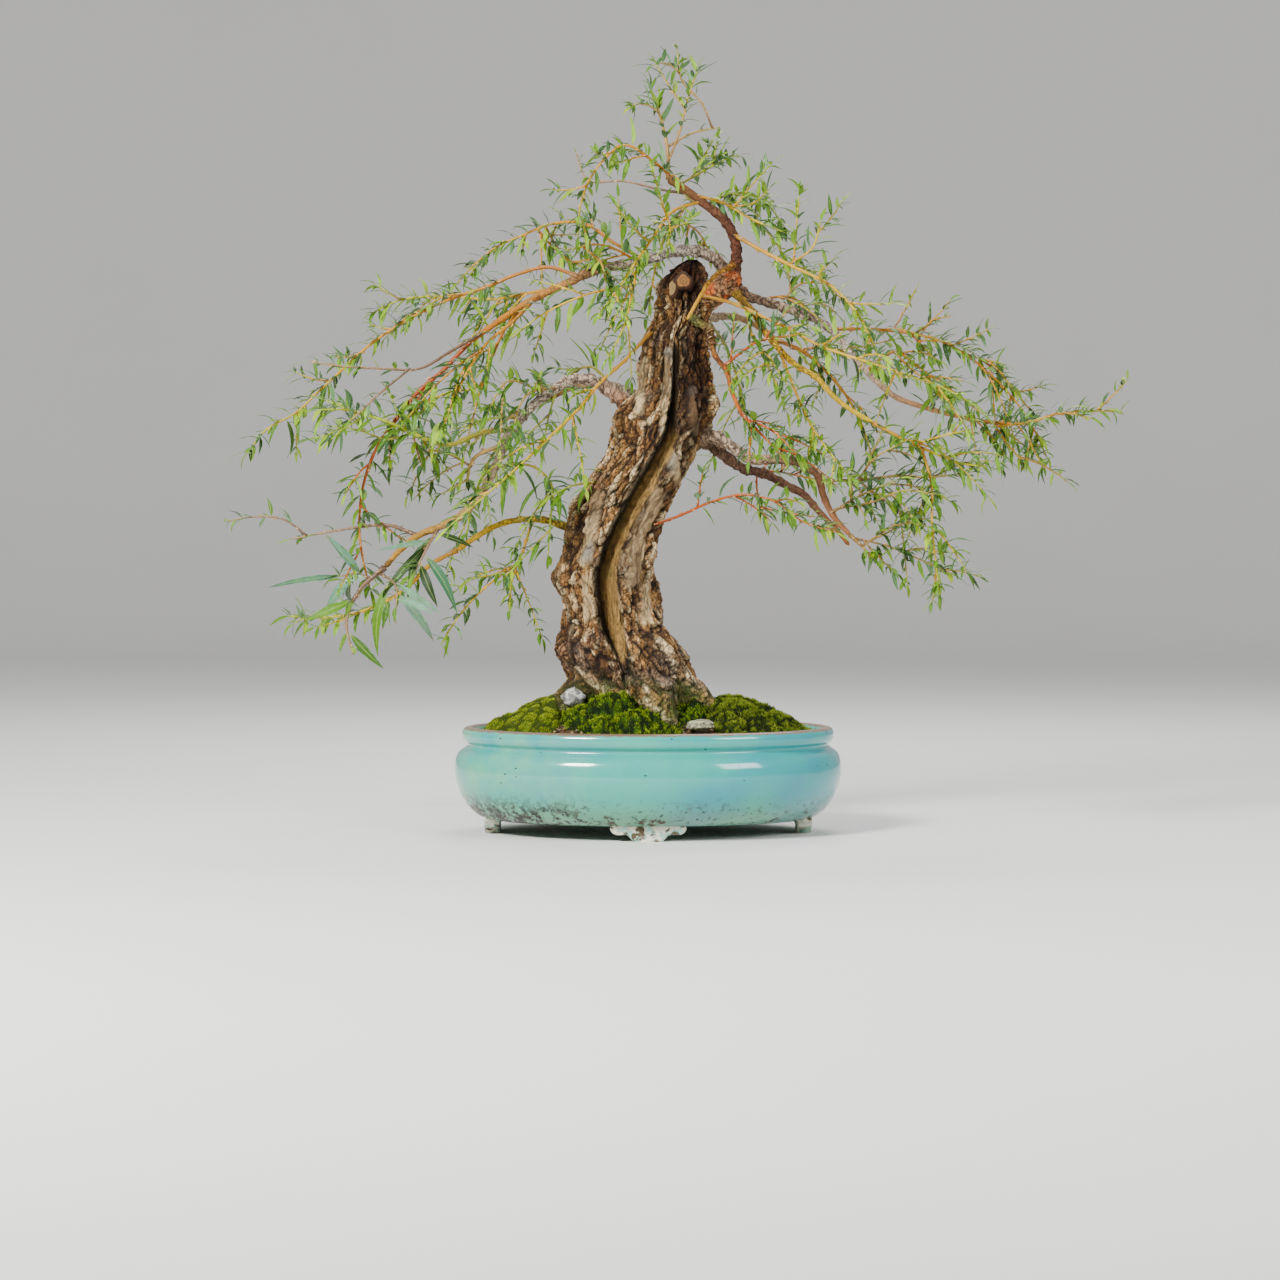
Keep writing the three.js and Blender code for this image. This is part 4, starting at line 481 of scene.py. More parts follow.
def bark_look():
    """Corky bark: small flakes with cracks between them darkened with painted shade, on the colours of the
    trunk's own points.
    """
    look = Look("bark", Specular_IOR_Level=0.25)
    tall = look.node("Mapping", {"Vector": look.place, "Scale": (1.0, 1.0, 0.55)})
    bent = look.node("TexNoise", {"Vector": tall, "Scale": 120.0, "Detail": 3.0}, out=1)
    bent = look.node("VectorMath", {0: bent, 1: (0.006, 0.006, 0.006)}, operation="MULTIPLY")
    bent = look.node("VectorMath", {0: tall, 1: bent}, operation="ADD")
    crack = look.band(look.cells(0.0042, "DISTANCE_TO_EDGE", vector=bent), 0.09, 0.01)
    rough = look.axis(look.attribute("blade", "Vector"), 0)
    fine = look.grain(0.0016, 4.0, 0.7)
    colour = look.shaded(look.attribute("tone"), fine, 0.66, 1.3)
    flake = look.node("SeparateColor", {"Color": look.cells(0.0042, "F1", "Color", bent)}, out=0)
    colour = look.blend(look.times(rough, 0.8), colour, look.shaded(colour, flake, 0.75, 1.25, 0.0, 1.0))
    # Painted shade: the cracks between the flakes are darkened to 2a1a10.
    colour = look.blend(look.times(crack, look.times(rough, 0.75)), colour, "2a1a10")
    depth = look.times(look.math("SUBTRACT", 1.0, crack), rough)
    normal = look.bump(fine, 0.0008, 0.8, look.bump(depth, 0.0012, 0.9))
    return look.finish(colour, look.ramp(fine, 0.72, 0.95), normal)


def leaf_look():
    """Willow leaves: a pale midrib and faint side veins, glossier above than below."""
    look = Look("willow_leaf", Specular_IOR_Level=0.3)
    across, length, under = (look.axis(look.attribute("blade", "Vector"), i) for i in range(3))
    from_rib = look.math("ABSOLUTE", across)
    rib = look.band(from_rib, 0.13, 0.05)
    veins = look.math("MULTIPLY_ADD", from_rib, -0.35, length)
    veins = look.math("SINE", look.times(veins, 90.0))
    colour = look.shaded(look.attribute("tone"), veins, 0.92, 1.06, -1.0, 1.0)
    colour = look.shaded(colour, look.grain(0.004, 3.0), 0.86, 1.14)
    colour = look.blend(look.times(rib, 0.36), colour, "a9bc66")
    relief = look.bump(look.math("ADD", veins, look.times(rib, 3.0)), 0.00012, 0.6)
    return look.finish(colour, look.ramp(under, 0.42, 0.66), relief)


def stone_look(name, ground, patch, dark):
    """Stone under a crust of lichen."""
    look = Look(name, Specular_IOR_Level=0.3)
    lichen = look.band(look.grain(0.006, 5.0, 0.7), 0.42, 0.52)
    pits = look.band(look.grain(0.0025, 4.0, 0.7), 0.56, 0.64)
    colour = look.blend(pits, look.blend(lichen, ground, patch), dark)
    relief = look.bump(look.math("SUBTRACT", lichen, pits), 0.0009, 0.9)
    return look.finish(colour, look.ramp(lichen, 0.7, 0.95), relief)


def wire_look():
    """Annealed wire, rubbed brighter in places."""
    look = Look("annealed_wire", Metallic=0.9)
    worn = look.band(look.grain(0.003, 3.0), 0.45, 0.6)
    relief = look.bump(look.grain(0.0012, 2.0), 0.0001, 0.5)
    return look.finish(look.blend(worn, "6b4a34", "a07c5c"), look.ramp(worn, 0.5, 0.35), relief)


def screen_look():
    """Black plastic with soil dust on it."""
    look = Look("screen_plastic", Specular_IOR_Level=0.4)
    dust = look.band(look.grain(0.004, 4.0), 0.45, 0.65)
    colour = look.blend(look.times(dust, 0.5), "1c1c1c", "4a4034")
    relief = look.bump(look.grain(0.002, 2.0), 0.0001, 0.5)
    return look.finish(colour, look.ramp(dust, 0.45, 0.8), relief)


GLAZE = glaze_look()
FOOT = foot_look()
SCREEN = screen_look()
BARK = bark_look()
LEAF = leaf_look()
YOUNG_BARK = toned_look("young_bark", 0.5, [(0.004, 0.85, 0.0003), (0.0012, 0.9, 0.0001)],
                        (0.0035, "e6d3a0", 0.5), Specular_IOR_Level=0.35)
MOSS_LOOK = toned_look("moss", 0.85, [(0.004, 0.7, 0.0012), (0.0012, 0.7, 0.0006)], Specular_IOR_Level=0.15)
SOIL_LOOK = toned_look("soil", 0.9, [(0.005, 0.6, 0.0015), (0.0015, 0.7, 0.0007)], Specular_IOR_Level=0.2)


# The pot

# Its wall as [outward from the rim's oval, height], from under the floor over the lip and down again
POT_PROFILE = [
    [-62, FOOT_HEIGHT], [-22, FOOT_HEIGHT - 2], [-9, 23], [2, 39], [8, 60],
    [5, 79], [-5, 88], [-0.5, 93], [0, 102], [-3, POT_HEIGHT],
    [-WALL + 1, POT_HEIGHT], [-WALL - 2, 86], [-WALL + 2, 66], [-WALL - 6, 40], [-32, FLOOR_TOP],
    [-62, FLOOR_TOP],
]
FLOOR_INSET = 62
WALL_ROWS = 131
POT_SIDES = 200
DRAIN_SIDES = 72
FOOT_THICKNESS = 15
FOOT_PLACES = [
    (0, -(RIM_HALF_DEPTH - 31), 0), (0, RIM_HALF_DEPTH - 31, math.pi),
    (-(RIM_HALF_LENGTH - 30), 0, -math.pi / 2), (RIM_HALF_LENGTH - 30, 0, math.pi / 2),
]


def oval_ring(outward, height, sides):
    """A ring of points outward from the rim's oval."""
    turn = circle(sides)
    x = (RIM_HALF_LENGTH + outward) * np.cos(turn)
    y = (RIM_HALF_DEPTH + outward) * np.sin(turn)
    return np.stack([x, y, np.broadcast_to(height, turn.shape)], axis=-1)


def pot_wall(skin):
    """The outer and inner wall in one sweep."""
    profile = curve_points([[a, 0, b] for a, b in POT_PROFILE], WALL_ROWS - 1)[0]
    rings = [oval_ring(p[0], p[2], POT_SIDES) for p in profile]
    skin.add(rings, sheet_faces(WALL_ROWS, POT_SIDES))


def pot_floor(skin):
    """The floor in two halves, each a band from its drainage hole out to the wall and the middle line."""
    turn = circle(DRAIN_SIDES)
    for way in (-1, 1):
        hole = np.array([way * DRAIN_SPACING / 2, 0.0])
        ray = np.stack([np.cos(turn), np.sin(turn)], axis=-1)
        half = np.array([RIM_HALF_LENGTH - FLOOR_INSET, RIM_HALF_DEPTH - FLOOR_INSET])
        a = np.sum((ray / half) ** 2, axis=1)
        b = np.sum(hole / half * ray / half, axis=1)
        c = np.sum((hole / half) ** 2) - 1
        reach = (-b + np.sqrt(b * b - a * c)) / a
        inward = -way * ray[:, 0]
        to_middle = abs(hole[0]) / np.maximum(inward, 1e-6)
        reach = np.where(inward > 1e-6, np.minimum(reach, to_middle), reach)
        rings = []
        for distance, height in ((reach, FLOOR_TOP), (DRAIN_RADIUS + 1.0, FLOOR_TOP),
                                 (DRAIN_RADIUS, FLOOR_TOP - 1), (DRAIN_RADIUS, FOOT_HEIGHT + 1),
                                 (DRAIN_RADIUS + 1.0, FOOT_HEIGHT), (reach, FOOT_HEIGHT)):
            flat = hole + ray * np.broadcast_to(distance, turn.shape)[:, None]
            rings.append(np.column_stack([flat, np.full(len(turn), float(height))]))
        skin.add(rings, sheet_faces(len(rings), DRAIN_SIDES))


def foot_outline():
    """Half the cloud foot's outline from the pot down to its sole, as [across, up]."""
    shoulder = [[37, FOOT_HEIGHT + 6], [37, FOOT_HEIGHT - 5]]
    for t in np.linspace(0, 1, 9):
        shoulder.append([37 * (1 - t) ** 2 + 70 * t * (1 - t) + 26 * t**2,
                         12 * (1 - t) ** 2 + 11 * t * (1 - t) + 6.5 * t**2])
    for t in np.linspace(0.15, 1, 5):
        shoulder.append([26 * (1 - t) ** 2 + 40 * t * (1 - t) + 18 * t**2,
                         6.5 * (1 - t) ** 2 + 14 * t * (1 - t) + 4 * t**2])
    return shoulder + [[15, 0.9], [13.5, 0]]


def pot_foot(skin, x, y, turn):
    """A bracket foot with rounded edges, lumpy with lime."""
    right = np.array(foot_outline())
    outline = np.vstack([right, right[::-1] * [-1, 1]])
    middle = np.array([0, FOOT_HEIGHT - 2.0])
    half = FOOT_THICKNESS / 2
    rings = []
    for depth, inset in ((half, 5), (half, 1.6), (half - 0.7, 0.6), (half - 2, 0.0), (0, 0.0),
                         (2 - half, 0.0), (0.7 - half, 0.6), (-half, 1.6), (-half, 5)):
        away = outline - middle
        size = np.linalg.norm(away, axis=1)[:, None]
        drawn = middle + away * np.maximum(1 - inset / size, 0.3)
        on_sole = outline[:, 1] <= 0.9
        drawn[:, 1] = np.where(on_sole, np.minimum(outline[:, 1], drawn[:, 1]), drawn[:, 1])
        rings.append(np.column_stack([drawn[:, 0], np.full(len(drawn), depth), drawn[:, 1]]))
    points = np.array(rings)
    lumps = 0.7 * layered_noise(points / 4.0, 3, 5) * (points[..., 2] > 0.5)
    points[..., 1] += lumps * np.sign(points[..., 1])
    skin.add(turned(points.reshape(-1, 3), turn) + [x, y, 0], tube_faces(len(rings), len(outline)))


def make_pot():
    """The glazed body and its four crusted feet."""
    body, feet = Skin(), Skin()
    pot_wall(body)
    pot_floor(body)
    for place in FOOT_PLACES:
        pot_foot(feet, *place)
    body.piece("pot_body", GLAZE, "pot", "pot_glaze")
    feet.piece("pot_feet", FOOT, "pot", "pot_glaze")


# The bed, its moss and its stones

SOIL_SIDES = 140
SOIL_ROWS = 70
CRUMBS = 900
CRUMB_TONES = ["6e5135", "8a6a48", "4a3524", "3a2a1e", "9a8260", "776a5c"]
CRUMB_CORNERS = np.array([[1, 0, 0], [-1, 0, 0], [0, 1, 0], [0, -1, 0], [0, 0, 1], [0, 0, -1]], float)
CRUMB_FACES = [(0, 2, 4), (2, 1, 4), (1, 3, 4), (3, 0, 4), (2, 0, 5), (1, 2, 5), (3, 1, 5), (0, 3, 5)]


def bed_height(x, y):
    """The soil's height, by the source's formula."""
    across = (x + 4) / (RIM_HALF_LENGTH - WALL)
    deep = (y - 14) / (RIM_HALF_DEPTH - WALL + 4)
    share = np.maximum(0, 1 - across**2 - deep**2)
    lumps = 1.6 * np.sin(x / 23 + 1) * np.cos(y / 19) * share
    return BED_EDGE_HEIGHT + MOUND_HEIGHT * share**1.25 + lumps


def make_soil():
    """Dark gritty soil with crumbs and chips of bark lying on it."""
    skin = Skin()
    inner = -WALL - 2 - GAP
    rings = [oval_ring(outward, height, SOIL_SIDES) for outward, height in (
        (-34, FLOOR_TOP + GAP), (-WALL - 6.5, 41), (-WALL + 1.4, 66), (inner, 84))]
    for share in np.linspace(1, 0.02, SOIL_ROWS):
        ring = oval_ring(inner, 0, SOIL_SIDES) * share
        ring[:, 2] = bed_height(ring[:, 0], ring[:, 1]) - 0.6
        ring[:, 2] += 1.5 * layered_noise(ring / 5.0, 4, 21)
        rings.append(ring)
    shade = layered_noise(np.array(rings) / 9.0, 3, 31)
    skin.add(rings, tube_faces(len(rings), SOIL_SIDES), mix("2b1d13", "5b432e", 0.5 + 0.6 * shade))
    draw = np.random.default_rng(7)
    for _ in range(CRUMBS):
        turn, share = draw.uniform(0, 2 * np.pi), draw.uniform(0.5, 1) ** 0.5
        x = (RIM_HALF_LENGTH + inner - 3) * share * math.cos(turn)
        y = (RIM_HALF_DEPTH + inner - 3) * share * math.sin(turn)
        size = draw.uniform(0.8, 2.6) * np.array([draw.uniform(0.8, 2.2), 1.0, 0.6])
        turn = draw.uniform(0, 6.3)
        tone = rgb(CRUMB_TONES[draw.integers(len(CRUMB_TONES))])
        corners = turned(CRUMB_CORNERS * size * draw.uniform(0.7, 1.2, (6, 1)), turn)
        skin.add(corners + [x, y, bed_height(x, y) + 0.3], CRUMB_FACES, tone * draw.uniform(0.7, 1.2))
    skin.piece("soil_bed", SOIL_LOOK, "soil", "soil")


# Moss cushions: the source's places and heights between a left and a right limit, with lobes
# (x, y, half length, half depth, height) on them; tones go from the gaps, dark with painted shade, to the
# tips of the tufts
MOSS = {
    "moss_left": {
        "x": -112, "y": -2, "half_length": 62, "half_depth": 92, "height": 7, "left": -200, "right": -86,
        "lobes": [(-120, -36, 34, 32, 9), (-104, 16, 30, 30, 10), (-150, -4, 16, 30, 5),
                  (-98, -70, 18, 16, 6), (-88, -14, 16, 20, 8)],
        "tones": ["3c4c08", "86a010", "c8d034"],
        "tuft": 1.7, "tufts": 18000, "clump": 15.0, "relief": 1.6,
    },
    "moss_middle": {
        "x": -12, "y": 2, "half_length": 92, "half_depth": 116, "height": 9, "left": -91, "right": 66,
        "lobes": [(-64, -4, 30, 22, 15), (-50, 30, 40, 34, 12), (-36, -50, 26, 16, 14),
                  (-14, -88, 17, 13, 12), (26, -94, 20, 12, 10), (-52, -86, 16, 13, 9), (40, 30, 30, 40, 6),
                  (52, -46, 14, 26, 13), (8, -72, 13, 12, 9), (-74, -58, 14, 16, 10)],
        "tones": ["122602", "5c8a0a", "c4d82a"],
        "tuft": 3.2, "tufts": 23000, "clump": 10.0, "relief": 4.4,
    },
    "moss_right": {
        "x": 94, "y": 2, "half_length": 74, "half_depth": 98, "height": 8, "left": 56, "right": 200,
        "lobes": [(90, -32, 30, 28, 9), (98, 22, 32, 32, 9), (136, -6, 22, 36, 5), (76, -68, 22, 18, 8),
                  (120, -58, 22, 16, 5)],
        "tones": ["1a2604", "5c7a12", "aebc38"],
        "tuft": 3.3, "tufts": 21000, "clump": 11.0, "relief": 3.6,
    },
}
MOSS_ROWS = 72
MOSS_SIDES = 156
LEAFLETS = 3
LEAFLET_HALF_WIDTH = 0.42


def moss_wave(cushion, turn):
    """How far the cushion's edge waves in and out of its oval."""
    return 1 + 0.09 * np.sin(3 * turn + cushion["x"]) + 0.06 * np.sin(5 * turn + cushion["y"])


def oval_share(x, y, inset):
    """The square of how far out places lie in an oval inset from the pot's wall, 1 at its edge."""
    return (x / (RIM_HALF_LENGTH - WALL - inset)) ** 2 + (y / (RIM_HALF_DEPTH - WALL - inset)) ** 2


def moss_clumps(cushion, x, y):
    """How far each place is from the gap between two clumps."""
    spread = flat_points(x, y)
    swirl = flat_points(noise(spread / 9.0, 53), noise(spread / 9.0, 54))
    return plates((spread + 3 * swirl) / cushion["clump"], 51)[0]


def moss_height(cushion, x, y):
    """How high the moss stands over the bed: the cushion's crown, its lobes and its clumps."""
    across = (x - cushion["x"]) / cushion["half_length"]
    deep = (y - cushion["y"]) / cushion["half_depth"]
    share = np.hypot(across, deep) / moss_wave(cushion, np.arctan2(deep, across))
    rise = cushion["height"] * (1 - np.clip(share, 0, 1.2) ** 4)
    for cx, cy, half_length, half_depth, height in cushion["lobes"]:
        away = ((x - cx) / half_length) ** 2 + ((y - cy) / half_depth) ** 2
        rise = rise + height * np.sqrt(np.maximum(0, 1 - away)) * smooth_step(0.0, 0.3, 1 - share)
    spread = flat_points(x, y)
    edge = 5 * layered_noise(spread / 22.0, 2, 43)
    for limit in (x - cushion["left"], cushion["right"] - x):
        rise = rise - 7 * (1 - smooth_step(0, 7, limit + edge))
    rise = rise + cushion["relief"] * (np.sqrt(np.minimum(moss_clumps(cushion, x, y), 0.6)) - 0.55)
    return rise + 0.8 * layered_noise(spread / 2.6, 2, 57) - 1.0


def moss_dip(cushion, x, y):
    """1 in the gaps between clumps, where painted shade darkens the moss and the tufts are shorter, 0 on
    their crowns.
    """
    return smooth_step(0.3, 0.02, moss_clumps(cushion, x, y))


def make_moss(name, cushion):
    """A cushion's ground, darkened with painted shade under the tufts and in the gaps between clumps, with
    tufts growing all over it.
    """
    skin = Skin()
    share = np.linspace(1.03, 0.0, MOSS_ROWS)[:, None]
    turn = circle(MOSS_SIDES)[None, :]
    wave = moss_wave(cushion, turn)
    x = cushion["x"] + cushion["half_length"] * share * wave * np.cos(turn)
    y = cushion["y"] + cushion["half_depth"] * share * wave * np.sin(turn)
    x = np.clip(x, cushion["left"] - 8, cushion["right"] + 8)
    drawn = np.sqrt(np.minimum(1.0, 1.0 / np.maximum(oval_share(x, y, 3), 1e-6)))
    x, y = x * drawn, y * drawn
    points = np.stack([x, y, bed_height(x, y) + moss_height(cushion, x, y)], axis=-1)
    low, middle, high = (rgb(code) for code in cushion["tones"])
    lush = 0.3 + 0.5 * layered_noise(points / 16.0, 3, 61) + 0.3 * layered_noise(points / 4.0, 2, 67)
    # Painted shade: the ground under the tufts is darkened to about half of the cushion's tones, and darker
    # still in the gaps between clumps.
    tones = mix(low * 0.5, middle * 0.6, lush - 0.8 * moss_dip(cushion, x, y))
    skin.add(points, sheet_faces(MOSS_ROWS, MOSS_SIDES), tones)
    grow_tufts(skin, cushion, low, middle, high)
    skin.piece(name + "_cushion", MOSS_LOOK, name, name)


def grow_tufts(skin, cushion, low, middle, high):
    """Each tuft is a spray of narrow leaflets, brighter to their tips; the dark roots, and the duller tips in
    the gaps between clumps, are painted shade.
    """
    draw = np.random.default_rng(int(abs(cushion["x"])))
    count = cushion["tufts"]
    turn = draw.uniform(0, 2 * np.pi, count)
    share = np.sqrt(draw.uniform(0, 1, count)) * 0.99
    x = cushion["x"] + cushion["half_length"] * share * 1.05 * np.cos(turn)
    y = cushion["y"] + cushion["half_depth"] * share * 1.05 * np.sin(turn)
    rise = moss_height(cushion, x, y)
    kept = (oval_share(x, y, 4) < 1) & (rise > -0.3) & (x > cushion["left"]) & (x < cushion["right"])
    x, y, rise = x[kept], y[kept], rise[kept]
    count = len(x)
    root = np.stack([x, y, bed_height(x, y) + rise - 0.3], axis=-1)
    # Painted shade: the tufts are dark at their roots, and their tips are duller and darker in the gaps
    # between clumps.
    dip = moss_dip(cushion, x, y)
    lush = 0.55 + 0.5 * layered_noise(root / 16.0, 3, 61) + draw.normal(0, 0.2, count) - 0.6 * dip
    tip_tone = mix(mix(low, middle, 1 - dip), high, lush)
    root_tone = np.broadcast_to(low, root.shape)
    faces = np.arange(3 * count).reshape(-1, 3).tolist()
    for _ in range(LEAFLETS):
        heading = draw.uniform(0, 2 * np.pi, count)
        lean = draw.uniform(0.25, 1.0, count)
        length = cushion["tuft"] * draw.uniform(0.5, 1.3, count) * (1 - 0.5 * dip)
        out = np.stack([np.cos(heading) * lean, np.sin(heading) * lean, np.ones(count)], axis=-1)
        out /= np.linalg.norm(out, axis=1)[:, None]
        side = flat_points(-np.sin(heading), np.cos(heading)) * LEAFLET_HALF_WIDTH
        points = np.stack([root - side, root + side, root + out * length[:, None]], axis=1)
        skin.add(points, faces, np.stack([root_tone, root_tone, tip_tone], axis=1))


STONES = {
    "stone_grey": {
        "at": [-74, -24, 136], "half": [12, 10, 9], "seed": 1, "colours": ("77746a", "bcbbb4", "3c3833"),
    },
    "stone_pale": {
        "at": [51, -88, 112], "half": [14, 10, 6], "seed": 4, "colours": ("7d7862", "a5a684", "524d3c"),
    },
}
STONE_ROWS = 48
STONE_SIDES = 72


def make_stone(name, stone):
    """The source's dented ball with a fine, chipped surface."""
    polar = np.pi * np.linspace(0.01, 0.99, STONE_ROWS)[:, None]
    turn = circle(STONE_SIDES)[None, :]
    p = np.stack([np.sin(polar) * np.cos(turn), np.sin(polar) * np.sin(turn),
                  -np.cos(polar) * np.ones_like(turn)], axis=-1)
    seed = stone["seed"]
    dent = 1 + 0.13 * np.sin(3 * p[..., 0] + seed) * np.cos(4 * p[..., 1] - seed)
    dent = dent + 0.06 * np.sin(7 * p[..., 2] + seed)
    chips, _ = plates(p * 3.0, 71 + seed)
    dent = dent * (0.97 + 0.05 * np.minimum(chips, 0.5)) + 0.03 * layered_noise(p * 6.0, 3, 73)
    points = np.array(stone["at"]) + p * np.array(stone["half"]) * dent[..., None]
    look = stone_look(name + "_lichen", *stone["colours"])
    add_piece(name + "_rock", points.reshape(-1, 3), tube_faces(STONE_ROWS, STONE_SIDES), look, name)


# The trunk with its roots, scars and hollow

# Its own body as [height, centre across, half width, centre back] sections, as in the source
TRUNK_SECTIONS = [
    [TRUNK_FOOT, -6, 34, 2], [98, -6, 50, 2], [125, -5, 62, 2], [150, -12, 61, 2],
    [172, -22, 63, 2], [188, -29, 60, 2], [206, -35, 49, 1], [228, -37, 45.5, 0],
    [250, -42, 48.5, 0], [272, -42, 45.5, 0], [300, -35, 44.5, 0],
    [329, -24, 46, 0], [352, -11, 46, 0], [374, 1, 43, 0], [394, 9.5, 44.5, 0], [412, 14, 49, 0],
    [428, 21, 43.5, 0], [442, 27, 36.5, 0], [466, 24.5, 33.5, 0], [495, 27, 30, 0],
    [515, 35, 25, 2], [530, 37, 25.5, 4], [545, 33.5, 20, 5], [561, 34, 12, 7], [572, 34, 3, 8],
]
# The hollow down its face as [height, middle across, half width, how deep] sections
HOLLOW_SECTIONS = [
    [489, 29, 3, 14], [460, 28, 3.5, 16], [430, 27, 4, 19], [405, 25, 5.5, 22], [392, 24, 9, 25],
    [368, 11, 10, 28], [342, -4, 11, 30], [323, -15, 10, 30], [306, -25, 10, 31], [283, -35, 9.5, 31],
    [260, -42, 11, 31], [240, -40.5, 11.5, 31], [215, -37, 12, 30], [200, -34, 11, 27], [186, -29, 8, 22],
    [172, -26, 4, 12],
]
HOLLOW_FACE = -46 * TRUNK_DEPTH_RATIO
# Surface roots with their radii from the trunk out
ROOTS = [
    {"r": [24, 17, 9], "at": [[-2, -22, 172], [6, -46, 150], [14, -62, 124], [20, -72, 100]]},
    {"r": [17, 12, 7], "at": [[26, -10, 160], [46, -18, 140], [66, -24, 120], [80, -30, 100]]},
    {"r": [18, 12, 7], "at": [[-52, -4, 158], [-74, -12, 140], [-92, -16, 120], [-104, -20, 100]]},
    {"r": [18, 12, 6], "at": [[-20, 22, 164], [-34, 46, 146], [-44, 66, 124], [-50, 80, 100]]},
    {"r": [16, 11, 6], "at": [[14, 22, 160], [32, 44, 142], [44, 62, 122], [52, 78, 100]]},
]
# Knobs on the trunk as [turn in degrees from +X, height, reach along the bark, how far they stand out]
KNOBS = [
    [183, 256, 19, 9], [186, 182, 17, 8], [352, 425, 14, 8], [262, 470, 12, 4], [200, 420, 16, 5],
    [335, 205, 15, 5], [300, 168, 18, 5], [170, 330, 16, 4], [100, 300, 22, 6], [60, 220, 24, 6],
    [120, 420, 18, 5], [80, 480, 15, 4], [20, 300, 12, 3],
]
# Smooth pale strips of healed bark, seen from the front as [across, up, across, up, half width]
PALE_STRIPS = [
    [19, 478, 16, 402, 5], [-3, 470, -8, 420, 4.5], [-50, 336, -62, 272, 7], [12, 338, -4, 306, 8],
    [-8, 300, -16, 252, 8], [-62, 252, -58, 216, 5.5], [-2, 245, -4, 212, 6], [44, 440, 46, 400, 4],
    [20, 392, 30, 352, 5],
]
# How deep the hollow is across its width: steep on its left, a slope of bare wood on its right
HOLLOW_PROFILE = [-1, -0.8, -0.55, -0.25, 0.3, 0.75, 1.0, 1.01], [0, 0.9, 1.0, 0.85, 0.5, 0.26, 0, 0]
# Darker patches of bark as [across, up, half width, half height, share]
DARK_PATCHES = [
    [48, 448, 17, 62, 0.8], [36, 557, 34, 32, 1.0], [-84, 186, 16, 26, 0.7], [-50, 344, 18, 34, 0.5],
    [16, 256, 12, 40, 0.5], [-20, 160, 30, 16, 0.6],
]
# Cut faces of old limbs at the rotten top, as [centre, half width, half height, turn to the left, colour]
TOP_SCARS = [
    [(35, -21, 549), 6.8, 6.6, 0.05, "9c6c3c"],
    [(24, -18, 542), 3.8, 7.4, 0.5, "94784a"],
]
SCAR_SIDES = 28
# The blunt, leaning head at the top, and where its wood begins to rot
HEAD_FOOT = 522
HEAD_HEIGHT = 50
HEAD_WIDTH = 24
LEAN_FOOT = 530
LEAN_HEIGHT = 42
HEAD_LEAN = 10
ROT_FROM = 498
ROT_TO = 528
ROOT_BLEND = 9.0
TRUNK_ROWS = 345
HOLLOW_COLUMNS = 44
OUTER_COLUMNS = 196


def smoothed(table, heights, column):
    """A section table's column at each height, without the corners of straight steps."""
    table = np.array(sorted(table, key=lambda row: row[0]), float)
    fine = np.linspace(table[0, 0], table[-1, 0], 400)
    values = np.interp(fine, table[:, 0], table[:, column])
    kernel = np.hanning(15)
    padded = np.pad(values, 7, mode="edge")
    values = np.convolve(padded, kernel / kernel.sum(), mode="valid")
    return np.interp(heights, fine, values)


def root_reach(turn, heights, centre, back):
    """How far out a root's skin lies along each direction from the trunk's middle at each height."""
    reach = np.zeros((len(heights), turn.shape[1]))
    for root in ROOTS:
        route = curve_points(root["at"], 24)[0]
        order = np.argsort(route[:, 2])
        x = np.interp(heights, route[order, 2], route[order, 0]) - centre
        y = np.interp(heights, route[order, 2], route[order, 1]) - back
        radius = np.interp(heights, route[order, 2], [along(root["r"], k / 24) for k in order]) * 1.15
        x, y, radius = x[:, None], y[:, None], radius[:, None]
        forward = x * np.cos(turn) + y * np.sin(turn)
        beside = np.abs(y * np.cos(turn) - x * np.sin(turn))
        hit = (beside < radius) & (forward > 0)
        inside = np.sqrt(np.maximum(radius**2 - beside**2, 0))
        above = smooth_step(176, 150, heights)[:, None]
        reach = np.maximum(reach, np.where(hit, (forward + inside) * above, 0))
    return reach


def trunk_columns(heights, centre, half):
    """Each row's directions round the trunk, close together down the hollow, and each column's place across
    the hollow from -1 to 1, or 2 outside it."""
    middle = smoothed(HOLLOW_SECTIONS, heights, 1)
    width = smoothed(HOLLOW_SECTIONS, heights, 2) * 1.45
    left = -np.arccos(np.clip((middle - width - centre) / half, -0.98, 0.98))
    right = -np.arccos(np.clip((middle + width - centre) / half, -0.98, 0.98))
    across = np.linspace(-1, 1, HOLLOW_COLUMNS)
    eased = np.sign(across) * np.abs(across) ** 0.75
    hollow = left[:, None] + (right - left)[:, None] * (eased + 1) / 2
    steps = np.arange(1, OUTER_COLUMNS + 1) / (OUTER_COLUMNS + 1)
    outer = right[:, None] + (left + 2 * np.pi - right)[:, None] * steps
    turn = np.concatenate([hollow, outer], axis=1)
    place = np.concatenate([eased, np.full(OUTER_COLUMNS, 2.0)])
    return turn, np.broadcast_to(place, turn.shape)


def pale_mask(x, z, front):
    """Where healed bark is smooth and pale, with ragged edges."""
    mask = np.zeros_like(x)
    ragged = 3.5 * layered_noise(flat_points(x / 7.0, z / 16.0), 4, 19)
    for x0, z0, x1, z1, half in PALE_STRIPS:
        share = ((x - x0) * (x1 - x0) + (z - z0) * (z1 - z0)) / ((x1 - x0) ** 2 + (z1 - z0) ** 2)
        share = np.clip(share, 0, 1)
        away = np.hypot(x - x0 - share * (x1 - x0), z - z0 - share * (z1 - z0))
        mask = np.maximum(mask, smooth_step(half * 1.2, half * 0.5, away + ragged))
    return mask * front


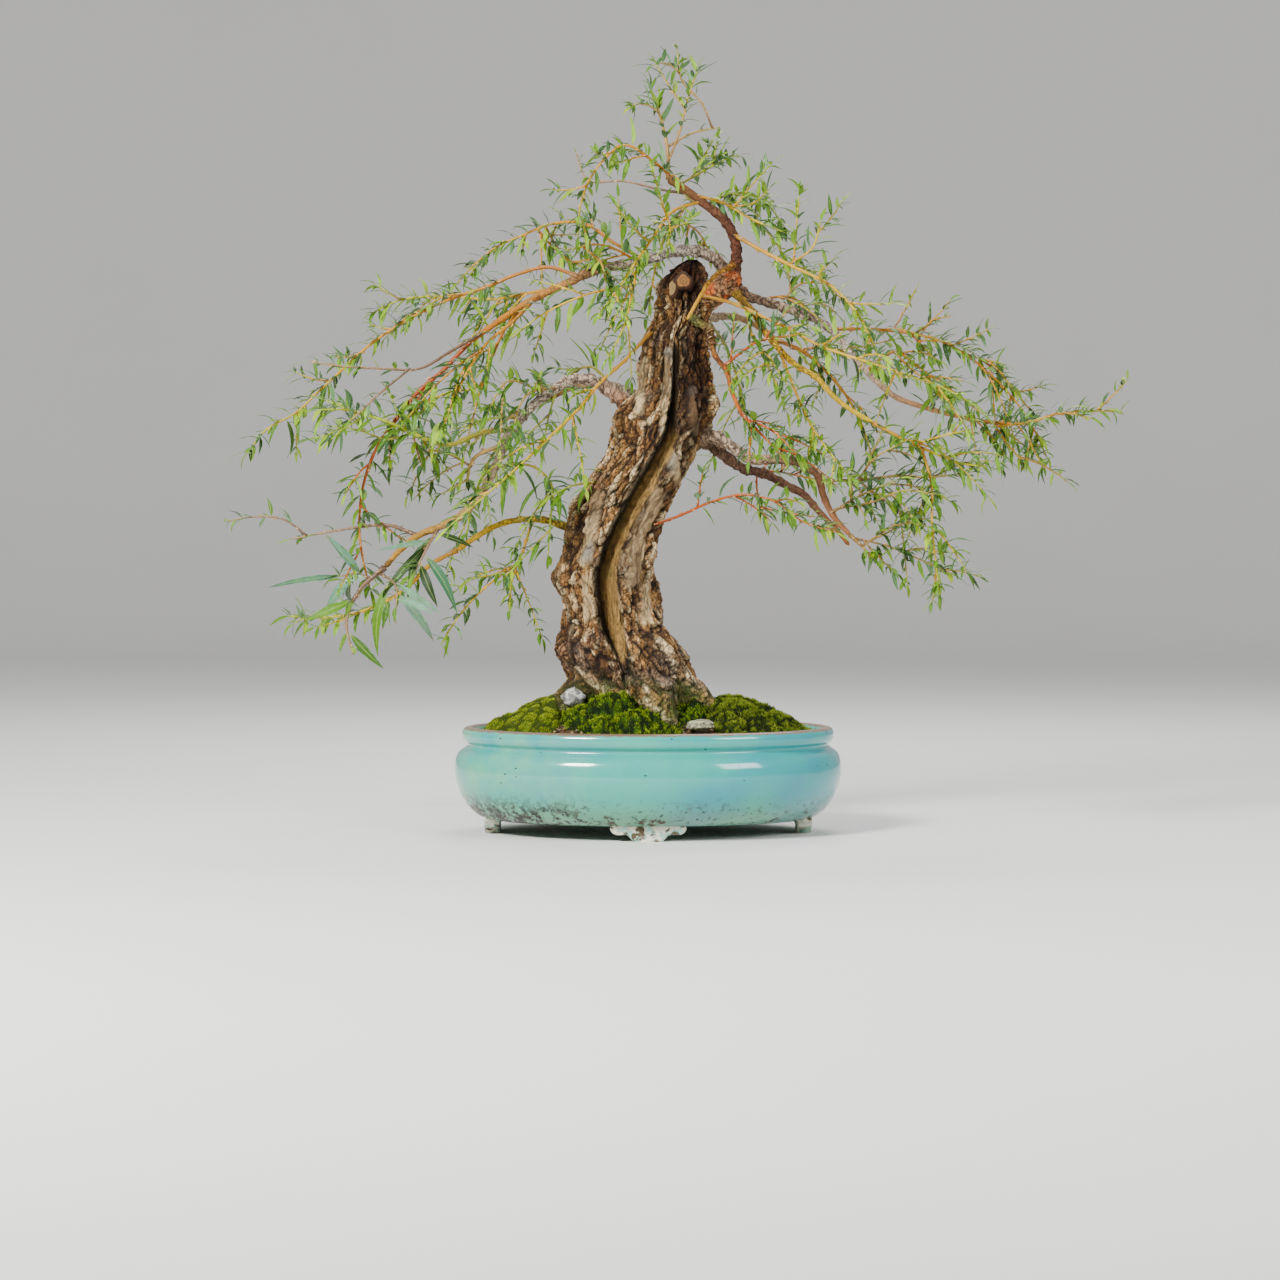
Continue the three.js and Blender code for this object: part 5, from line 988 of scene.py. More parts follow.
def trunk_outline(heights, centre, half, back):
    """Directions, places across the hollow and radii of the trunk with its roots and knobs, without bark."""
    turn, place = trunk_columns(heights, centre, half)
    z = heights[:, None] * np.ones_like(turn)
    relief = 0.05 * np.sin(7 * turn + z / 31) + 0.035 * np.sin(4 * turn - z / 13)
    oval = half[:, None] * (1 + relief) * np.sqrt(np.cos(turn) ** 2 + (TRUNK_DEPTH_RATIO * np.sin(turn)) ** 2)
    roots = root_reach(turn, heights, centre, back)
    joint = ROOT_BLEND * np.exp(-np.abs(oval - roots) / ROOT_BLEND) * 0.3 * (roots > 0)
    radius = np.maximum(oval, roots) + joint
    for angle, height, reach, out in KNOBS:
        gap = (turn - math.radians(angle) + np.pi) % (2 * np.pi) - np.pi
        away = np.hypot(gap * half[:, None], z - height) / reach
        radius = radius + out * np.exp(-(away**2) * 1.6)
    return turn, place, z, radius


def trunk_shape():
    """Points, colours and roughness of the trunk's bark, row by row from foot to top."""
    heights = np.linspace(TRUNK_FOOT, TRUNK_SECTIONS[-1][0], TRUNK_ROWS)
    centre, half, back = (smoothed(TRUNK_SECTIONS, heights, k) for k in (1, 2, 3))
    dome = np.sqrt(np.clip(1 - ((heights - HEAD_FOOT) / HEAD_HEIGHT) ** 2, 0, 1)) * (heights > HEAD_FOOT)
    half = np.maximum(half, HEAD_WIDTH * dome)
    centre = centre + HEAD_LEAN * np.clip((heights - LEAN_FOOT) / LEAN_HEIGHT, 0, 1) ** 1.4
    turn, place, z, radius = trunk_outline(heights, centre, half, back)
    cos, sin = np.cos(turn), np.sin(turn)
    pale = pale_mask(centre[:, None] + radius * cos, z, smooth_step(0.15, -0.35, sin))
    around = np.stack([cos * 46, sin * 46, z], axis=-1)
    warp = [layered_noise(around / [11.0, 11.0, 17.0], 3, 3 + k) for k in range(3)]
    warp = np.stack(warp, axis=-1)
    bent = around + [6.0, 6.0, 9.0] * warp
    crack, tint = plates(bent / [9.0, 9.0, 30.0], 81)
    small, small_tint = plates((bent + 2 * warp) / [4.2, 4.2, 9.5], 91)
    ridge = 1 - np.abs(noise(bent / [14.0, 14.0, 95.0], 17))
    bark = 3.0 * (smooth_step(0.0, 0.22, crack) - 0.7) + 3.2 * (tint - 0.5)
    bark = bark + 1.1 * (smooth_step(0.0, 0.2, small) - 0.6) + 2.0 * (small_tint - 0.5)
    bark = bark + 5.0 * (ridge - 0.75) + 1.0 * layered_noise(bent / 3.2, 4, 23)
    healed = 1.2 + 1.1 * layered_noise(bent / [5.0, 5.0, 40.0], 3, 29) + 0.25 * bark
    bark = bark * (1 - pale) + healed * pale
    rotten = smooth_step(ROT_FROM, ROT_TO, heights)[:, None]
    torn = layered_noise(bent / [12.0, 12.0, 16.0], 3, 83)
    bark = bark * (1 + 0.5 * rotten) + rotten * (6.0 * torn - 5.0 * smooth_step(0.15, 0.5, -torn))
    radius = radius + bark * (smooth_step(572, 560, heights)[:, None] * 0.75 + 0.25)
    x = centre[:, None] + radius * cos
    y = back[:, None] + radius * sin
    ends = smooth_step(165, 190, heights) * smooth_step(494, 470, heights)
    wall = np.interp(place, *HOLLOW_PROFILE) * ends[:, None]
    deep = HOLLOW_FACE + smoothed(HOLLOW_SECTIONS, heights, 3)[:, None]
    floor = deep + 1.5 * layered_noise(np.stack([x * 0.55, z * 0.05, y * 0.1], axis=-1), 3, 37)
    in_hollow = place < 1.5
    y = np.where(in_hollow, y + (np.maximum(floor, y) - y) * wall, y)
    inside = smooth_step(0.0, 0.3, wall) * in_hollow
    points = np.stack([x, y, z], axis=-1)
    # Painted shade: the tone goes towards the near-black 120904 deep in the bark's cracks and in the furrows
    # between its ridges, and stays light on the plates.
    open_to_light = np.minimum(smooth_step(0.0, 0.17, crack), 0.35 + 0.65 * smooth_step(0.0, 0.15, small))
    open_to_light = open_to_light * (0.5 + 0.5 * smooth_step(0.4, 0.85, ridge))
    tone = mix("120904", plate_tones(bent, 0.5 * tint + 0.5 * small_tint), open_to_light**1.4)
    tone = mix(tone, healed_tones(bent, open_to_light), pale * 0.8)
    tone = mix(tone, wood_tones(points, bent, place), inside)
    lip = np.exp(-((np.minimum(np.abs(place), 2.0) - 1.0) ** 2) / 0.05) * in_hollow
    tone = mix(tone, "e0c79c", 0.5 * lip * smooth_step(0.4, 0.8, open_to_light))
    return points, dark_patches_and_moss(tone, points, bent), (1 - pale) * (1 - 0.8 * inside)


def plate_tones(bent, light):
    """Cream, ochre and grey plates of bark, paler where light is high."""
    warm = 0.5 + 0.7 * layered_noise(bent / [20.0, 20.0, 40.0], 3, 41)
    plate = mix("7c5129", "bf8d4e", warm)
    plate = mix(plate, "ead0a0", 0.9 * smooth_step(0.5, 0.85, light))
    plate = mix(plate, "4a301a", 0.9 * smooth_step(0.45, 0.15, light))
    grey = smooth_step(0.15, 0.7, layered_noise(bent / 31.0, 3, 47))
    plate = mix(plate, "9c9080", 0.5 * grey)
    speck = layered_noise(bent / [1.6, 1.6, 2.6], 2, 49)
    return plate * (1 + 0.3 * speck)[..., None]


def healed_tones(bent, open_to_light):
    """Smooth streaky bark over old wounds, grey in places, and darkened in its cracks with painted shade."""
    streak = layered_noise(bent / [2.6, 2.6, 30.0], 3, 53)
    healed = mix("6e5636", "d2b98c", 0.5 + 0.9 * streak)
    healed = mix(healed, "8e9492", 0.6 * smooth_step(0.1, 0.6, noise(bent / 20.0, 59)))
    return mix("3a2815", healed, 0.25 + 0.75 * open_to_light)


def wood_tones(points, bent, place):
    """Bare wood in the hollow, mossy in places, near black with painted shadow in the deep slot on its left
    and in its narrow top.
    """
    shade = 0.5 + 0.8 * layered_noise(points / [1.7, 1.7, 45], 3, 61)
    wood = mix("3a2812", "b08a4c", shade)
    wood = mix(wood, "5c5c2e", 0.55 * smooth_step(-0.1, 0.6, noise(bent / 26.0, 67)))
    # Painted shadow: near black in the deep slot on the hollow's left, and in its narrow upper part.
    wood = mix(wood, "0c0805", 0.95 * smooth_step(-0.22, -0.6, place))
    return mix(wood, "100a06", 0.9 * smooth_step(380, 410, points[..., 2]))


def dark_patches_and_moss(tone, points, bent):
    """The bark's colours with dark patches, moss near the foot, and darker towards the soil."""
    x, _, z = np.moveaxis(points, -1, 0)
    ragged = 0.35 * layered_noise(bent / 9.0, 3, 73)
    for across, up, half_width, half_height, share in DARK_PATCHES:
        away = np.hypot((x - across) / half_width, (z - up) / half_height)
        tone = mix(tone, tone * rgb("7a5a46"), share * smooth_step(1.1, 0.6, away + ragged))
    green = smooth_step(166, 118, z + 20 * layered_noise(bent / 12.0, 3, 71))
    tone = mix(tone, "43591a", 0.65 * green)
    return mix(tone, "2a2116", 0.7 * smooth_step(128, 106, z))


def make_trunk_body():
    """The bark of the trunk, and the cut limbs at its top."""
    points, tones, rough = trunk_shape()
    skin = Skin()
    skin.add(points, tube_faces(*rough.shape), tones, rough[..., None] * [1, 0, 0])
    for scar in TOP_SCARS:
        add_top_scar(skin, *scar)
    skin.piece("trunk_bark", BARK, "trunk", "bark")


def add_top_scar(skin, centre, half_width, half_height, left, code):
    """A short stub that faces the viewer, with the rings of its sawn wood, set in a ring darkened with
    painted shadow.
    """
    turn = circle(SCAR_SIDES)
    facing = unit(np.array([-math.sin(left), -math.cos(left), 0.12]))
    across = unit(np.cross(facing, UP))
    upward = np.cross(across, facing)
    rim, face = rgb("4a3020"), rgb(code)
    uneven = 1 + 0.08 * np.sin(3 * turn + centre[0]) + 0.05 * np.sin(5 * turn)
    rings, tones = [], []
    # The two outer rings, at a third of the rim's tone, are painted shadow round the stub.
    for size, out, tone in [
            (1.5, -16, rim * 0.3), (1.45, -4, rim * 0.3), (1.2, -1.5, rim), (1.1, -0.6, rim),
            (1.0, 0.2, rim * 0.6), (0.9, 0.3, face * 0.7), (0.7, 0.1, face), (0.5, 0.25, face * 0.6),
            (0.3, 0.1, face), (0.02, 0.15, face * 0.4)]:
        wide, high = half_width * size * uneven, half_height * size * uneven
        ring = np.array(centre) + facing * out
        ring = ring + across * (wide * np.cos(turn))[:, None] + upward * (high * np.sin(turn))[:, None]
        rings.append(ring)
        tones.append(np.broadcast_to(tone, ring.shape))
    skin.add(rings, sheet_faces(len(rings), SCAR_SIDES, flip=True), tones, [0.25, 0, 0])


# Limbs and the wire

# Colours of the limbs from foot to tip
LIMB_TONES = {
    "leader": ["6a3c26", "5c3422", "6e4630", "8a6438"],
    "arch_left": ["8a6a50", "a89a8a", "b3a79a", "987450", "a06c30", "a66a18", "a46014"],
    "main_right": ["6e4c36", "a08a74", "c0aa9c", "a8805e", "b2743a"],
    "yellow_right": ["8c6c24", "b48a14", "bc960e", "b89c14"],
    "low_left": ["8a5a34", "a8907c", "b0a08c", "a5937e", "967a4c", "96702c", "9c7024"],
    "low_left_back": ["84701c", "a88a14", "b09014", "b0841a"],
    "low_right_front": ["8a6e54", "a8917a", "7c5c44", "7a5034", "94603a"],
    "low_right_back": ["8a6e54", "5c4030", "6e4a36", "8a5630"],
    "wired": ["5f6a34", "7a5a2c", "8a5020", "a05418", "a85c16"],
    "front_cross": ["a06c1c", "b07c18", "b4881c"],
    "back_left": ["8a6a50", "9c8a74", "a07c54", "a8783c"],
    "back_right": ["8a6a50", "9c8a74", "a07c54", "a8783c"],
}
# Swellings of callus where limbs leave the trunk
SWELLINGS = [
    {"r": [13, 13, 11], "at": [[52, 2, 528], [66, 0, 538], [80, 0, 548], [85, 0, 562]]},
    {"r": [13, 9], "at": [[-70, -8, 262], [-86, -10, 252]]},
    {"r": [13, 8], "at": [[-66, -10, 186], [-88, -12, 178]]},
    {"r": [11, 7], "at": [[48, -6, 428], [66, -8, 420]]},
]
LIMB_SIDES = 16
LIMB_STEP = 2.2
KNUCKLE_GAP = 19
SWELLING_SIDES = 40
WIRE_RADIUS = 0.75
WIRE_TURNS = 3.5
# Where the coil begins and ends, as shares of the wired limb
WIRE_FROM = 0.16
WIRE_TO = 0.36
WIRE_STEPS = 24
WIRE_SIDES = 10


def tones_along(codes, shares):
    """The colours at shares of the way along a list of codes."""
    colours = np.array([rgb(code) for code in codes])
    return np.stack([along(colours[:, k], shares) for k in range(3)], axis=-1)


def make_limbs():
    """The limbs, and the swellings at their feet."""
    skin = Skin()
    for number, (name, route) in enumerate(LIMBS.items()):
        add_limb(skin, limb_lines[name], route["r"], LIMB_TONES[name], number)
    for number, swelling in enumerate(SWELLINGS):
        add_swelling(skin, swelling, number)
    skin.piece("trunk_limbs", BARK, "trunk", "bark")


def add_limb(skin, points, radii, codes, number):
    """A limb with a flared foot, knuckles, cracked old bark and a rounded end."""
    count = max(12, round(np.linalg.norm(np.diff(points, axis=0), axis=1).sum() / LIMB_STEP))
    fine, length = curve_points(points, count)
    shares = np.linspace(0, 1, len(fine))
    distance = shares * length
    flare = 1 + 0.7 * np.exp(-distance / 7)
    knuckles = np.zeros(len(fine))
    draw = np.random.default_rng(100 + number)
    for place in np.arange(18, length, KNUCKLE_GAP):
        place = place + draw.uniform(-6, 6)
        knuckles += draw.uniform(0.1, 0.26) * np.exp(-((distance - place) / 2.6) ** 2)
    radius = along(radii, shares) * flare * (1 + knuckles)
    radius[-1] *= 0.45
    radius[-2] *= 0.85
    rings = tube_rings(fine, radius, LIMB_SIDES)
    old = smooth_step(0.95, 0.25, shares)[:, None]
    bumps = layered_noise(rings / 5.0, 3, 200 + number)
    crack, tint = plates((rings + 2 * bumps[..., None]) / [4.4, 4.0, 4.4], 210 + number)
    corky = 0.2 * (smooth_step(0, 0.3, crack) - 0.6) + 0.16 * (tint - 0.5)
    lift = radius[:, None] * ((0.12 + 0.16 * old) * bumps + old * corky)
    rings = tube_rings(fine, radius[:, None] + lift, LIMB_SIDES)
    shade = 1 + (0.25 + 0.3 * old) * bumps + 0.6 * old * (tint - 0.5)
    tones = tones_along(codes, shares)[:, None, :] * shade[..., None]
    # Painted shade: the cracks of the old bark are darkened to 2c1a10.
    tones = mix(tones, "2c1a10", 0.85 * old * smooth_step(0.18, 0.0, crack))
    scar = smooth_step(0.5, 0.8, noise(rings / 9.0, 230 + number))
    tones = mix(tones, "3a241a", 0.65 * scar)
    rough = np.broadcast_to(0.2 + 0.7 * old, tones.shape[:2])
    skin.add(rings, tube_faces(len(fine), LIMB_SIDES), tones, rough[..., None] * [1, 0, 0])


def add_swelling(skin, swelling, number):
    """A swelling of callus and rough bark; the first one's wood is torn open and orange."""
    route = swelling["at"]
    fine, _ = curve_points(route if len(route) > 2 else np.linspace(*route, 3), 22)
    shares = np.linspace(0, 1, len(fine))
    ends = np.sqrt(np.clip(1 - np.clip(np.abs(2 * shares - 1) * 1.15 - 0.15, 0, 0.99) ** 6, 0, 1))
    radius = along(swelling["r"], shares) * ends
    rings = tube_rings(fine, radius, SWELLING_SIDES)
    crack, _ = plates(rings / 4.4, 300 + number)
    lift = 1.5 * (smooth_step(0, 0.4, crack) - 0.6) + 0.9 * layered_noise(rings / 3.0, 3, 310)
    rings = tube_rings(fine, radius[:, None] + lift * ends[:, None], SWELLING_SIDES)
    warm = 0.5 + 0.6 * layered_noise(rings / 8.0, 2, 320)
    # Painted shade: the cracks between the lumps of callus go dark, towards 2a180d.
    tones = mix("2a180d", mix("8a5a38", "c09468", warm), smooth_step(0.0, 0.3, crack))
    if number == 0:
        torn = smooth_step(0.1, 0.5, noise(rings / 7.0, 330))
        tones = mix(tones, "c4581c", 0.75 * torn)
    skin.add(rings, tube_faces(len(fine), SWELLING_SIDES), tones, [0.9, 0, 0])


def make_wire():
    """Soft wire wound round the wired limb."""
    count = round(WIRE_TURNS * WIRE_STEPS)
    fine, _ = curve_points(limb_lines["wired"], 400)
    shares = np.linspace(WIRE_FROM, WIRE_TO, count + 1)
    axis = np.stack([along(fine[:, k], shares) for k in range(3)], axis=-1)
    _, side, other = frames(axis)
    turn = (2 * np.pi * np.arange(count + 1) / WIRE_STEPS)[:, None]
    radius = (along(LIMBS["wired"]["r"], shares) + WIRE_RADIUS + 4 * GAP)[:, None]
    points = axis + side * radius * np.cos(turn) + other * radius * np.sin(turn)
    rings = tube_rings(points, np.full(len(points), WIRE_RADIUS), WIRE_SIDES)
    add_piece("wire_coil", rings.reshape(-1, 3), tube_faces(len(points), WIRE_SIDES), wire_look(),
              "training_wire")


# Limbs on the trunk: depth and radius in even lists, at as [across, up] seen from the front
LIMBS = {
  "leader": {
    "depth": [0, -4, -8],
    "r": [5.4, 4.6, 3.4],
    "at": [[85, 548], [88, 572], [86, 593], [80, 607], [64, 620], [46, 635], [31, 645], [20, 651]],
  },
  "arch_left": {
    "depth": [0, -10, -26, -34, -38],
    "r": [5.6, 5, 4.4, 3.4, 2.5],
    "at": [[80, 557], [63, 575], [46, 580.5], [29, 580], [11, 575], [-5, 571], [-24, 567], [-53, 561],
      [-81, 548], [-111, 534], [-139, 517], [-168, 497], [-178, 490]],
  },
  "main_right": {
    "depth": [0, 12, 30, 44, 50],
    "r": [5.2, 4.4, 3.5, 2.8, 2.2],
    "at": [[84, 544], [95, 536], [111, 532], [140, 522], [169, 511], [188, 497], [203, 478], [225, 454],
      [247, 435], [278, 424], [312, 415]],
  },
  "yellow_right": {
    "depth": [-2, -34, -62, -80],
    "r": [3.6, 2.8, 2.2],
    "at": [[86, 540], [99, 527], [108, 513], [123, 492], [144, 469], [163, 459], [187, 434], [209, 418],
      [225, 409]],
  },
  "low_left": {
    "depth": [-6, -20, -40, -62, -80],
    "r": [7.5, 4.8, 4.2, 3.6, 2.6],
    "at": [[-16, 420], [-29, 433], [-42, 445], [-63, 453.5], [-77, 451], [-101, 438], [-122, 419],
      [-141, 393], [-152, 366], [-166, 339.5], [-185, 318], [-207, 306], [-229, 297], [-248, 282],
      [-263, 265]],
  },
  "low_left_back": {
    "depth": [6, 34, 58],
    "r": [4.2, 3.1, 2.5],
    "at": [[-58, 297], [-76, 303], [-95, 310], [-108, 313], [-138, 311], [-159, 303], [-178, 291],
      [-191, 282]],
  },
  "low_right_front": {
    "depth": [0, -14, -34, -58],
    "r": [7.5, 5, 3.8, 2.4],
    "at": [[38, 392], [60, 396], [78, 389], [92, 380], [104, 373], [131, 372.5], [150, 370], [161, 366],
      [170, 355], [175, 339], [180, 320], [191, 311], [202, 297]],
  },
  "low_right_back": {
    "depth": [4, 22, 40, 50],
    "r": [7, 5, 3.8, 1.8],
    "at": [[38, 388], [55, 391], [72, 382], [81, 371], [99, 362], [120, 357], [136, 348], [154, 339],
      [166, 325], [182, 310], [193, 297], [201, 287]],
  },
  "wired": {
    "depth": [-12, -40, -66],
    "r": [3.6, 2.5, 1.8],
    "at": [[44, 512], [58, 507], [65, 487], [67, 472], [74, 467], [78, 461], [82, 448], [87, 428], [93, 419]],
  },
  "front_cross": {
    "depth": [-6, -40, -60, -70],
    "r": [2.6, 2, 1.4],
    "at": [[84, 566], [70, 559], [61, 549], [55, 540], [47, 526], [39, 512]],
  },
  "back_left": {
    "depth": [18, 90, 160],
    "r": [6, 4, 2.4],
    "at": [[8, 412], [-8, 432], [-36, 446], [-70, 446], [-100, 432]],
  },
  "back_right": {
    "depth": [14, 86, 150],
    "r": [5.5, 3.8, 2.2],
    "at": [[30, 486], [48, 506], [76, 516], [104, 508], [128, 492]],
  },
}


def stem(root, depth, at, r=(1.1, 0.8), leaves=(3, "small"), blades=()):
    """One stem of a shoot. Root is a limb's name, a place, or the number of the stem it stands on; at is its
    route, and depth and r are its depths and radii. Leaves are how many, of which style, and from what share
    of its length on. Blades are leaves seen in the photo: across, up, the same of the tip, width, and how far
    the tip stands forward."""
    return {"root": root, "depth": depth, "at": at, "r": r, "leaves": leaves, "blades": blades}


